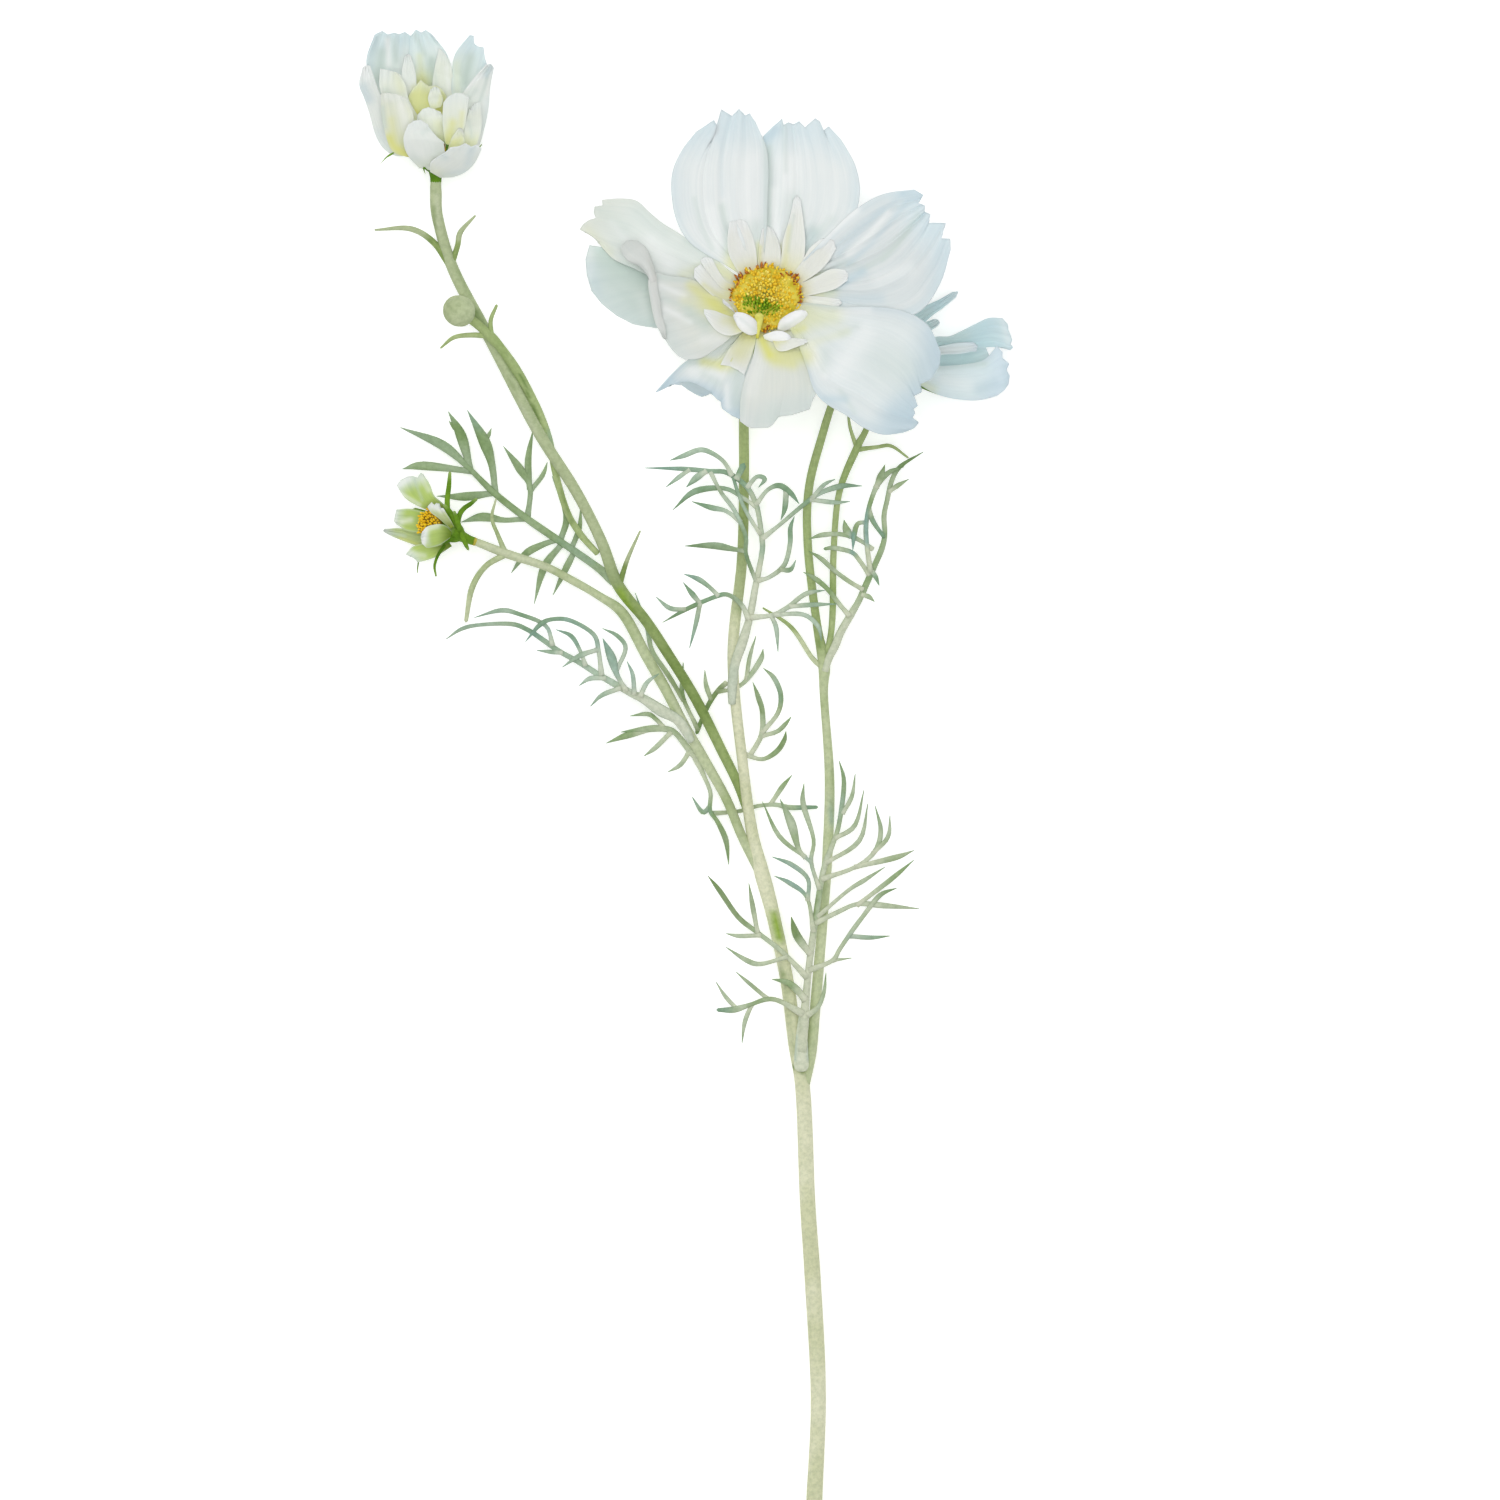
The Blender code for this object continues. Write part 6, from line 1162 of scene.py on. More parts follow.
def make_back_bloom():
    """The bloom that faces away behind the open one."""
    broad = dict(slot="petal_blue", cells=(52, 60), ribs=9, rib_depth=0.06)
    petal(
        "back_petal_upper",
        [(27, 288.6), (34, 290.75), (37.2, 290.8), (40.4, 292.2), (44.4, 294.2), (47, 295.4), (49, 295.9),
         (50.6, 295.4)],
        [(27.6, 286), (35, 287.4), (41, 287.7), (46, 288), (49.4, 288.9), (51.4, 288)],
        [(52, 293.8), (52.1, 292.5), (52.7, 291), (53.1, 289.9), (52.6, 288.9), (53.3, 288.1),
         (52.6, 287.5)],
        [14, 13.4, 14.6, 14], [14, 10.4, 10.6, 12], look="blue", shade=[(2.4, 0.4, (34, 289.6), (41, 291))],
        blue=[(2, 0.2, (44, 291), (48, 293))], pale=[(1, 0.25, (50.6, 294.6), (52, 289.6))], **broad,
    )
    petal(
        "back_petal_lower",
        [(28, 283.6), (35, 283.3), (40, 283.8), (44, 284.2), (46.6, 285.4), (49.2, 288.5)],
        [(27, 281.2), (31.6, 277.7), (36, 275.8), (41, 274.9), (45.6, 275), (49, 276)],
        [(50.6, 287), (50.6, 285.5), (52.3, 284), (51.6, 282.5), (52.4, 281), (52.1, 279), (51, 277.3)],
        [15.6, 15, 15, 14.4], [15.6, 16, 18, 19], arch=1, look="blue_pale",
        yellow=[(1.4, 0.25, (30, 279), (33, 277.6))], shade=[(1, 0.5, (35, 283.2), (46, 284))],
        blue=[(1.8, 0.5, (45, 277.6), (48.6, 279)), (1.1, 0.6, (51.6, 283), (51.6, 278.6))],
        pale=[(2, 0.3, (36, 280), (42, 278.6))], **broad,
    )
    petal(
        "back_petal_underneath",
        [(27.6, 286), (36, 287), (43, 288.4), (46.2, 288.8)],
        [(27, 282.6), (36, 281), (43, 280), (47.6, 282)],
        [(47.4, 286)],
        [10.6, 7.4, 6, 7.6], [10.6, 6.8, 6, 7.6], arch=-0.6, look="blue",
        shade=[(3, 0.3, (34, 285), (46, 285.4))], **broad,
    )
    petal(
        "back_petal_middle",
        [(28.4, 286.6), (35, 288.4), (40, 289.3), (43.4, 289.3)],
        [(28.4, 285), (35, 286.3), (40, 286.5), (44, 287.3)],
        [(44.4, 288.4)],
        [13, 13.8, 14.2], [13, 12.8, 13.4], look="blue_pale", pale=[(1, 0.4, (35, 287.4), (43, 288.2))],
        **broad,
    )
    petal(
        "back_petal_side",
        [(25.6, 292.8), (28.6, 296.9), (33, 299.2), (36, 300.8), (38, 301.9)],
        [(27.2, 290.6), (32.1, 295.2), (34.5, 297.2), (37, 298.9), (38.9, 300.7)],
        [(39.5, 302.1)],
        [13.6, 11.6, 10, 10], [13.6, 11.6, 11, 11], look="blue",
        blue=[(0.9, 0.3, (33, 298), (37.6, 300.6))], shade=[(1.6, 0.35, (29, 295), (32, 297))], **broad,
    )
    petal(
        "back_petal_tooth",
        [(26.6, 290.8), (30, 293.8), (33.2, 295.1)],
        [(27.6, 288.6), (31.6, 291.4), (34.6, 293.8)],
        [(34.4, 295.1), (34.9, 294.5)],
        [13.6, 12.6, 12.4], [13.6, 12.4, 12.4], look="blue", replaced=False,
        shade=[(2, 0.3, (30, 293), (33, 294))], **broad,
    )


def make_small_bloom():
    """The small green bloom that is just opening."""
    small = dict(slot="petal_green", cells=(36, 40), ribs=6, rib_depth=0.08, ruffle=0.2)
    petal(
        "small_petal_top",
        [(-88.6, 245.6), (-92.6, 247.2), (-96.5, 249), (-99.1, 250.9), (-100.8, 253.6)],
        [(-87.4, 246.4), (-89.6, 249.6), (-91.3, 250.9), (-92.6, 254), (-94.2, 256.4)],
        [(-99.8, 255), (-98, 255.9), (-96.8, 256), (-95.6, 255.6), (-94.8, 256.8)],
        [12.4, 13.6, 13.4], [12.6, 14.2, 14], look="lime", shade=[(0.5, 0.3, (-96.2, 254.6), (-94.4, 250))],
        pale=[(1.1, 0.6, (-100.2, 253.8), (-98, 255.2)), (0.5, 0.4, (-99.4, 251.6), (-95, 248.8)),
            (0.7, 0.35, (-94.6, 255.6), (-92.8, 252.4))],
        **small,
    )
    petal(
        "small_petal_left",
        [(-88.8, 245.2), (-93, 247), (-96, 247.4), (-99, 248), (-100.9, 247.6)],
        [(-88.8, 243.1), (-93, 242.2), (-96.4, 241.9), (-99.4, 242.8), (-100.8, 243.9)],
        [(-101.3, 246), (-101.5, 244.8)],
        [10.2, 10.4, 10.8], [10.2, 10.4, 10.8], look="lime",
        pale=[(0.8, 0.5, (-99.4, 244.6), (-97.4, 245)), (0.4, 0.4, (-101, 247), (-101, 244.6))],
        **small,
    )
    petal(
        "small_petal_pointed",
        [(-89.4, 241.6), (-94, 241.8), (-99.5, 242.9), (-102.6, 243), (-103.9, 242.7)],
        [(-88.9, 239.9), (-92.6, 238.6), (-96.2, 238.7), (-100, 240.2), (-102.6, 241.2), (-103.8, 242)],
        [(-104.2, 242.4)],
        [8, 7.8, 8], [8, 7.2, 7.6], look="lime_pale", shade=[(0.6, 0.5, (-102.8, 241.8), (-99, 241))],
        yellow=[(0.5, 0.4, (-100, 240.6), (-95.6, 239))], **small,
    )
    petal(
        "small_petal_bottom",
        [(-87.6, 239.4), (-92, 239.4), (-95.6, 238.7), (-97.6, 238), (-98.5, 236.4)],
        [(-87, 238.4), (-90, 236.4), (-92, 235.2), (-93.6, 234.9), (-95.5, 234.4)],
        [(-97.5, 235.9), (-96.4, 235.4)],
        [13, 12.4, 12], [13, 12.6, 12.4], look="lime", pale=[(0.8, 0.4, (-97.4, 236.9), (-94, 236))],
        **small,
    )
    petal(
        "small_petal_front",
        [(-87.2, 242.2), (-88, 243.2), (-89.8, 243.9), (-91.8, 243.7), (-93.3, 243.2), (-94.3, 241.9)],
        [(-87.4, 240.6), (-88.8, 239.6), (-90.4, 238.6), (-92.2, 238.2), (-93.6, 238.2), (-94.4, 239.2)],
        [(-94.7, 240.6)],
        [17.2, 19.8, 20.6], [17.2, 18.4, 19.6], arch=0.6, look="lime",
        shade=[(0.6, 0.3, (-92.6, 239), (-93.6, 241.4))],
        pale=[(0.9, 0.85, (-93.6, 242.2), (-93.9, 239.6)), (0.7, 0.5, (-93, 242.8), (-90.6, 243.4))],
        **small,
    )
    petal(
        "small_petal_ruffled",
        [(-87.4, 242.8), (-89.4, 244.6), (-91.4, 246.3), (-92.8, 247.2), (-93.1, 248.2)],
        [(-86.5, 243.4), (-87.2, 244.8), (-88.2, 246.4), (-89, 247.8)],
        [(-92, 249.4), (-91.4, 248.6), (-91, 249.1), (-90.2, 249.1), (-90, 248)],
        [17.4, 18.6, 19], [17.2, 18.4, 18.8], look="lime_pale",
        pale=[(0.9, 0.6, (-92, 248.6), (-89.6, 247.4))], **small,
    )


def make_leaves():
    """The feathery leaves, each a set of thread-like strands that start on one another."""
    leaf("leaf_fork", [
        (8.7, 9.4, (0.5, 112, 2.4), (1.2, 122.2, 2.2), (2.2, 133, 1.7), (3.8, 144.8, 1.6),
         (5.8, 157.2, 1.4), (8.2, 164, 1.3), (9.8, 169.2, 1.2), (11, 179.2, 1.2), (9.8, 184.8)),
        (9.4, 9.4, (10.6, 171.6, 1), (13, 176, 1.1), (13.8, 181.5)),
        (9.2, 9, (0.8, 121.5, 1.5), (-4.8, 124.6, 1.3), (-8.2, 125.2, 1.2), (-12.5, 123.8, 1.1),
         (-16.5, 122.6, 1.6), (-20.5, 122.5, 1)),
        (9, 9, (-15.8, 122.8, 1), (-18.6, 125.8, 1), (-21, 129.5)),
        (9, 9, (-8, 125.2, 1), (-12.5, 129, 1), (-16, 132)),
        (9, 8.6, (-12, 124, 1), (-13.8, 119.5, 1.1), (-14.5, 114.2)),
        (9.2, 9.2, (1.8, 121.2, 1.4), (4.5, 123.2, 1.2), (6, 127, 1), (6.5, 131.8)),
        (9.2, 9.4, (1.4, 125, 1.6), (-1.2, 128, 1.8), (-3.5, 129.5, 1.5), (-7, 130.2)),
        (9.2, 9.4, (1.8, 130.6, 1.3), (-3.5, 136.2, 1.2), (-6.2, 138.5, 1.2), (-10.8, 142, 1.2),
         (-15.5, 145.8, 1.3), (-20, 152.2, 1.3), (-23, 156)),
        (9.4, 9.4, (-10.6, 141.8, 1), (-11.9, 148.8, 1.2), (-12.8, 154.2)),
        (9.4, 9.4, (-9.8, 141.2, 1), (-15, 141, 1.1), (-18.5, 141.6)),
        (9.4, 9.4, (-3.2, 135.8, 1), (-9.8, 134, 1.1), (-13.5, 135, 1.3), (-18.5, 138.2)),
        (9.2, 9.2, (2.6, 136.4, 1.3), (-0.8, 141.2, 2.2), (-2.2, 145.8)),
        (9.2, 9.2, (2.2, 132.4, 1.2), (8, 134.8, 1.1), (10, 137.8, 1.1), (13.2, 142.5, 1.2),
         (16.2, 146.5, 1.2), (20, 151.2, 1.2), (24.2, 153)),
        (9.2, 9, (12.2, 141, 1), (17.5, 140.6, 1.2), (22.5, 141)),
        (9.2, 9, (8.2, 134.9, 1), (13, 135.5)),
        (9.2, 9.2, (3.8, 144.2, 1.2), (9.5, 147, 1.2), (14.5, 149, 1.2), (21, 148.6, 1.5), (29.8, 147.8)),
        (9.2, 9.2, (4.4, 145.8, 1), (11.8, 152.2, 1), (16.2, 155, 1.1), (21.2, 158.2)),
        (9.2, 9.2, (14.2, 148.6, 1), (22.8, 155.2, 1.3), (28.5, 160)),
        (9.4, 9.8, (3.4, 142, 1.1), (1.8, 150.5, 1), (-2.5, 154.2, 1.2), (-6.4, 156)),
        (9.6, 10, (1.9, 149.8, 1), (2, 155.2, 1), (-2, 158.8, 1.3), (-7, 160.8)),
        (9.4, 9.4, (8.8, 165.4, 1), (13.8, 168.8, 1.2), (16, 177.5)),
        (9.4, 9.4, (6.4, 159.2, 1), (14.8, 164.8, 1.2), (17, 174.2)),
        (9.4, 9.4, (5.4, 155.2, 1.1), (13.8, 158.2, 1.1), (18.6, 162, 1.2), (20.2, 167.2, 1.2),
         (18.8, 173.5)),
        (9.4, 9.4, (18.2, 161.6, 1), (22, 165.8, 1.1), (22.5, 171.2)),
        (9.4, 9.4, (13.6, 158.2, 1), (23.8, 160.6, 1.4), (28.5, 162.4)),
        (9.4, 9.8, (4.9, 152.6, 1), (2.8, 159.5, 1), (3.4, 165.2, 1), (0.8, 174, 1.4), (1, 179.2)),
        (9.6, 9.8, (2.9, 159.4, 1), (1, 160.9, 0.9), (-5.2, 166, 1.2), (-9.4, 174.6)),
        (9.6, 9.8, (1.4, 160.5, 1), (-0.4, 162.9, 1.3), (-2.2, 169.2, 2.2), (-5, 175.2)),
    ], straw=[
        (1.6, 0.7, (0.8, 116), (1.6, 124), (3.2, 140)), (1.2, 0.5, (8.4, 166), (5.4, 154)),
        (1.6, 0.4, (14, 149), (28, 148)), (1.6, 0.4, (14, 160), (27, 162)),
    ], dark=[
        (1.4, 0.75, (-2.4, 146), (-0.8, 141)), (1.5, 0.6, (-23, 156), (-14, 144.6)),
        (1.2, 0.35, (-12.6, 153), (-11.8, 148)), (1.2, 0.3, (-14, 131), (-11, 128)),
        (0.3, 0.7, (3.4, 146), (4.6, 152)), (0.3, 0.6, (0.4, 118), (0.3, 114.6)),
    ], teal=[
        (1.4, 0.7, (-6.6, 157.6), (0.6, 152.6)), (1.4, 0.6, (-7, 160.8), (-0.6, 157.4)),
        (1.2, 0.5, (2, 160), (2.6, 152)), (1, 0.4, (-20.5, 122.5), (-18, 122.6)),
        (1, 0.4, (12.4, 140.8), (20, 140.8)), (1, 0.4, (10.6, 176), (8.8, 170)),
    ])

    leaf("leaf_left_low", [
        (4.8, 3.6, (-25.6, 185.2, 1.6), (-27.6, 187.4, 1.6), (-31.2, 191.8, 1.5), (-34, 192.8, 1.6),
         (-37.8, 192.8, 1.7), (-44.8, 192)),
        (4, 4.4, (-33.6, 192.6, 1.1), (-36, 195.2, 1.1), (-38.2, 196.5, 1.2), (-42.5, 196)),
        (3.8, 3.4, (-37, 192.8, 1.1), (-43.2, 191.2, 1.7), (-48.5, 189.2)),
        (4.4, 3.8, (-32.2, 192, 1.1), (-36, 188.2, 1.3), (-39, 186)),
        (4.6, 3.8, (-27.6, 187.2, 1.1), (-29.9, 183.8, 1.2), (-33, 182)),
        (4.8, 2.6, (-26, 185.6, 1.5), (-24.2, 181.4, 1.2), (-22.4, 176.8, 1.1), (-22.5, 172.4, 1.1),
         (-20.6, 169.5, 1.1), (-18.5, 164.8, 1.4), (-17.8, 158.8)),
        (3.4, 2.6, (-22.5, 173.4, 1), (-24.4, 172, 1.3), (-27, 175.8)),
        (3, 3, (-22.2, 171.6, 1), (-15.2, 172.2, 1), (-10.5, 173.5, 1), (-6, 173.8, 1.1),
         (-2.5, 173.1, 1.4), (4.2, 173.2, 0.8)),
        (3, 3, (-7.4, 173.8, 1), (-4.5, 178.2, 1.2), (-2, 181.2)),
    ], dark=[
        (1.4, 0.4, (-18, 160), (-20, 168)), (1, 0.4, (-21, 171.8), (-12, 172.6)),
    ], teal=[
        (1.4, 0.45, (-26.8, 175), (-23, 172)), (1, 0.4, (0, 173), (4, 173.2)),
    ], straw=[
        (1.4, 0.3, (-40, 192.4), (-34, 193)),
    ])

    leaf("leaf_left_arch", [
        (9.6, 11.2, (-27.2, 189.6, 2), (-28.8, 192.8, 2.5), (-31, 195.4, 2.7), (-34.8, 197.4, 3),
         (-39, 200.2, 2.4), (-42, 201.6, 1.8), (-49.8, 206, 1.6), (-54.8, 209.2, 1.4), (-60.2, 212.2, 1.4),
         (-64.2, 215, 1.3), (-68, 217.5, 1.2), (-72.2, 219, 1.1), (-79.8, 218.8, 1), (-84.5, 217.8, 1),
         (-88.5, 215.2)),
        (11.2, 12, (-61.8, 213.6, 1), (-63.6, 218.6, 1), (-70, 221.4, 1.1), (-74.8, 222.4, 1.2),
         (-81.4, 220.6)),
        (11, 12.4, (-49.6, 206.2, 1.1), (-50.3, 211.8, 1.1), (-51.6, 216.4, 1.1), (-57.2, 219.8, 1.1),
         (-61.8, 220.2, 1.1), (-65, 218.8, 1.2), (-68.6, 214.6)),
        (11, 12, (-53.6, 208.6, 1), (-55, 212.4, 1), (-57.2, 216, 1.1), (-61, 217.6)),
        (11, 11.4, (-59.4, 211.8, 1), (-62, 212, 1.1), (-65.8, 212.4)),
        (11.4, 11.6, (-50.6, 212.6, 1), (-55.2, 211, 1.3), (-59.4, 208.2)),
        (11, 10.8, (-48.6, 205.4, 1), (-52.4, 205.4, 1.2), (-55.2, 203.6)),
        (11, 10.4, (-44.8, 203, 1.1), (-49.5, 201.2, 1.2), (-52.4, 198.4)),
        (11, 11.6, (-43.4, 202.2, 1.2), (-45.8, 206.4, 1.3), (-47.2, 210.8, 2.3), (-49.3, 215.4)),
        (11, 11.6, (-41.4, 201.4, 1.1), (-41.8, 206.2, 1.1), (-43.2, 209.6)),
        (11, 11.8, (-40, 200.8, 1.1), (-38.2, 204.4, 1.2), (-35.2, 206.6)),
        (11.2, 12, (-46, 207.2, 1), (-43.6, 212.8, 1.1), (-45.6, 216, 1.1), (-49.4, 217.9)),
    ], "leaf_teal", straw=[
        (1.6, 0.7, (-29, 193), (-34, 197.2), (-44, 202.6)), (1.2, 0.3, (-72, 219), (-87, 216)),
    ], teal=[
        (1.5, 0.5, (-68, 215.6), (-58, 219.6), (-51, 214)), (1.5, 0.4, (-48.6, 214.6), (-45.8, 206.6)),
        (1.2, 0.4, (-56, 214), (-61, 217.4)), (1, 0.4, (-43.2, 209.6), (-41.6, 203)),
    ])

    leaf("leaf_upper_left", [
        (3.8, 3.8, (-79, 264.6, 1.2), (-77.9, 266.2, 1), (-77.2, 268)),
        (3.8, 3.8, (-85.6, 267.2, 1.2), (-86.8, 268.6, 1), (-87.8, 269.8)),
        (6.4, 3.6, (-46.4, 229.6, 1.9), (-49, 231.9, 2.2), (-52.6, 234.6, 2), (-57.5, 238, 1.8),
         (-60.2, 239.8, 1.8), (-68.5, 245.5, 1.8), (-76.5, 251.8, 1.7), (-82.8, 258, 1.4),
         (-89.5, 263.8, 2.4), (-100, 268.2)),
        (3.8, 3.8, (-82.4, 257.6, 1.2), (-84.8, 266.2, 2.6), (-88, 272.2)),
        (3.8, 3.8, (-82, 257.2, 1.2), (-94.2, 258.6, 2.1), (-99.5, 257.8)),
        (3.9, 3.8, (-76.2, 251.4, 1.3), (-77, 258.5, 1.9), (-79, 264.8, 2.8), (-83.2, 272.5)),
        (3.9, 3.4, (-76.4, 251.8, 1.2), (-83.8, 250.9, 2.1), (-90.8, 251)),
        (4, 3.8, (-68.2, 245.2, 1.3), (-67.5, 253.2, 1.4), (-70.2, 258, 2), (-74.2, 263.5)),
        (3.9, 3.6, (-67.6, 252.6, 1.1), (-68, 260, 1.8), (-66.8, 267.5)),
        (3.9, 3.4, (-67.4, 252.4, 1.1), (-64.4, 256.2, 1.2), (-63.2, 259.5)),
        (4, 2.4, (-68.4, 245.4, 1.2), (-73.8, 245, 1.4), (-79.4, 245.8, 2.2), (-84.8, 244.5)),
        (4.4, 3.4, (-60, 239.6, 1.3), (-58.4, 246.5, 1.7), (-62, 256)),
        (4.6, 4.4, (-57.2, 237.8, 1.2), (-55.2, 243, 1.3), (-54.8, 248.6)),
        (4.4, 3.6, (-60.6, 240.2, 1.2), (-65, 238.6, 1.6), (-68.8, 236.4, 1.8), (-72.2, 231.8)),
        (4.5, 3.8, (-59.4, 239.2, 1.2), (-64, 233.2, 1.9), (-66.5, 224)),
        (4.6, 4, (-56.4, 237.2, 1.2), (-58.4, 233.2, 1.8), (-61.8, 226.2)),
    ], "leaf_deep", dark=[
        (1, 0.4, (-66.9, 266), (-67.8, 256)), (0.8, 0.35, (-77.6, 262), (-78.2, 256)),
        (0.9, 0.35, (-73, 261.4), (-69.4, 256.6)),
    ], teal=[
        (1.2, 0.3, (-83, 272), (-80.6, 268.6)), (1.2, 0.25, (-60, 239.6), (-52, 234.6)),
    ])

    leaf("leaf_centre", [
        (8.4, 12.4, (-17, 199, 1.8), (-16.9, 204, 2.4), (-16.2, 209.2, 2.5), (-14.2, 215, 2.4),
         (-12.5, 221, 1.8), (-11.2, 228, 1.6), (-9.5, 236.8, 1.4), (-9.5, 240.2, 1.4), (-10.2, 245.5, 1.3),
         (-11.2, 249.5, 1.3), (-13.5, 253.5, 1.3), (-18.2, 256.8, 1.3), (-22.5, 257.2, 1.2),
         (-30, 257.8, 1.1), (-38.8, 258)),
        (12.2, 12.6, (-17, 256, 1), (-19, 259.5, 1.1), (-22.2, 261.8, 1.2), (-25.2, 262.5, 1.3),
         (-29.2, 261, 1.2), (-32.5, 259.9)),
        (12.2, 11.8, (-27.6, 257.6, 1), (-30.4, 255.6, 1.1), (-33.5, 253.2)),
        (12.2, 11.6, (-23.4, 257.2, 1.1), (-25.8, 255.6, 1.8), (-28.4, 253.2)),
        (12, 10.2, (-22.4, 257, 0.9), (-19.8, 252, 1), (-16.4, 247.4, 1.1), (-13.6, 241, 1.1),
         (-13.5, 236.5, 1.1), (-10.9, 229.4, 1)),
        (11, 11.6, (-10.8, 248.2, 1), (-14.4, 250.6, 1), (-19, 252.9, 1.2), (-26.4, 252.1, 1.6),
         (-31.8, 247.5)),
        (11.2, 11, (-14.8, 244.4, 1), (-18.4, 247.2, 1.1), (-22.2, 248.1, 1.4), (-27, 249.6)),
        (10.6, 10.2, (-13.5, 237.2, 1), (-16.6, 237.7, 1.2), (-21.6, 238.6, 1.8), (-28.8, 238.5)),
        (11, 12, (-9.9, 241.4, 0.9), (-12.6, 245.6, 1), (-15, 250.4, 1), (-16.8, 255.9, 0.8)),
        (12.2, 12.4, (-15.9, 255.2, 1.4), (-14.2, 258.6, 1.6)),
        (11.5, 12, (-13.3, 253.1, 1.1), (-10.8, 255.8, 1.1), (-8.8, 255.2, 1.2), (-10.4, 253.1)),
        (11.4, 11.4, (-11, 248.8, 1), (-8.2, 252.4, 1.1), (-5.2, 253.6, 1.4), (-2.4, 251.8, 1.4),
         (-0.2, 249)),
        (11.4, 11.2, (-3.4, 252.6, 1.3), (-3.8, 247.9, 1.3), (-4.8, 245)),
        (10.8, 11.6, (-9.4, 240.4, 1.1), (-4.6, 244.2, 1.1), (1, 248.9, 1.1), (5.2, 251.8, 1.2),
         (10.5, 253.5, 1.4), (15.6, 253.5)),
        (11.4, 11.8, (3, 250.4, 1), (6, 253.8, 1.1), (8.8, 255.2)),
        (11.2, 11.6, (2.6, 250.1, 1), (8.5, 249.4, 1.1), (12.5, 249.6)),
        (10.6, 11, (-10.6, 229.8, 1.1), (-7.5, 230.8, 1.1), (-3.9, 233.8, 1.2), (-2.5, 239, 1.2),
         (-2.4, 243, 1.2), (-1.4, 245.9)),
        (10.8, 11, (-5, 232.6, 1), (-2.4, 232.6, 1.2), (-1, 235)),
        (10.2, 12.2, (-12.3, 220.6, 1.2), (-7, 221.2, 1.2), (-3, 223.2, 1.2), (0.5, 226, 1.2),
         (3, 227, 1.1), (6.2, 227.4)),
        (11.4, 12.2, (-2.6, 223.4, 1), (3, 223.8, 1.2), (9.2, 224)),
        (11, 12.2, (-6.6, 221.3, 1), (0.6, 221.4, 1.1), (4.4, 218.6, 1.2), (5.4, 214.8)),
        (10.6, 10.6, (-7.2, 221.1, 1), (-5.9, 217.8, 1.2), (-5.5, 212)),
        (10.2, 10.2, (-12.8, 220.2, 1.2), (-14.7, 223.9, 1.2), (-18, 226.3, 1.2), (-21.2, 225.8, 1.1),
         (-28.2, 222.8, 1.1), (-34.3, 219.4)),
        (10.2, 10.2, (-20.4, 226, 1), (-22.6, 228.2, 1.1), (-25.4, 230.2, 1.3), (-29, 231.5)),
        (10.2, 10.2, (-25, 224.2, 1), (-27, 226.6, 1.3), (-29.2, 229.4)),
        (10.2, 10.2, (-25, 224.2, 1), (-26, 219.2, 1.2), (-27.6, 213)),
        (10.2, 10.2, (-28.6, 222.6, 1), (-32.6, 223, 1.2), (-36, 225.8)),
    ], "leaf_teal", straw=[
        (1.8, 0.85, (-15.6, 210), (-12.2, 222), (-10, 234)), (1.4, 0.6, (-9.6, 240), (-12, 251)),
        (1.4, 0.5, (-10, 221), (3, 226.6)), (1.2, 0.4, (-6, 231.4), (-2.6, 238)),
    ], dark=[
        (1.6, 0.6, (-27.6, 238.6), (-16, 237.8)), (1.3, 0.4, (-31, 248.2), (-20, 252.6)),
        (1.2, 0.45, (-34, 219.6), (-26, 223.4)), (1, 0.4, (-18, 226.2), (-15, 224.4)),
        (1, 0.5, (-12.4, 232), (-14.6, 243)), (0.9, 0.4, (-5.4, 232.6), (-3, 233)),
    ], teal=[
        (1.2, 0.4, (-38, 258), (-31, 257.9)), (1.2, 0.3, (-26.4, 217), (-27.4, 213.4)),
        (1, 0.4, (-29, 231.4), (-26, 230.4)),
    ])

    leaf("leaf_centre_low", [
        (5.2, 2.6, (-18.3, 204.4, 1.4), (-20.4, 202.5, 1.3), (-22.8, 199, 1.2), (-24.8, 194.5, 1.1),
         (-25.8, 191.8, 1)),
        (4, 4.4, (-22.2, 200, 1), (-23.5, 203.8, 1.2), (-23.8, 207.5)),
        (2.9, 3.2, (-25.4, 192.4, 1), (-29.2, 200.5, 1.1), (-29.4, 205, 1.1), (-29.2, 209.4)),
        (3.2, 3.4, (-29, 199.8, 1), (-32.8, 206, 1.2), (-37, 212.4, 1.2), (-38.2, 218, 1.2),
         (-41.2, 226.8)),
        (4.4, 6.4, (-20.8, 202.2, 1.1), (-16.5, 202.8, 1), (-13.2, 205.2, 1.1), (-9.9, 210, 1.4),
         (-9.2, 212.8)),
        (5.6, 6.4, (-13.4, 205, 1), (-12.6, 210.6, 1.1), (-11, 216)),
    ], dark=[
        (1.6, 0.7, (-26, 192), (-20, 203)), (1.4, 0.6, (-29.2, 200), (-32, 205.4)),
    ], teal=[
        (1.2, 0.3, (-38, 216), (-41, 226)),
    ])

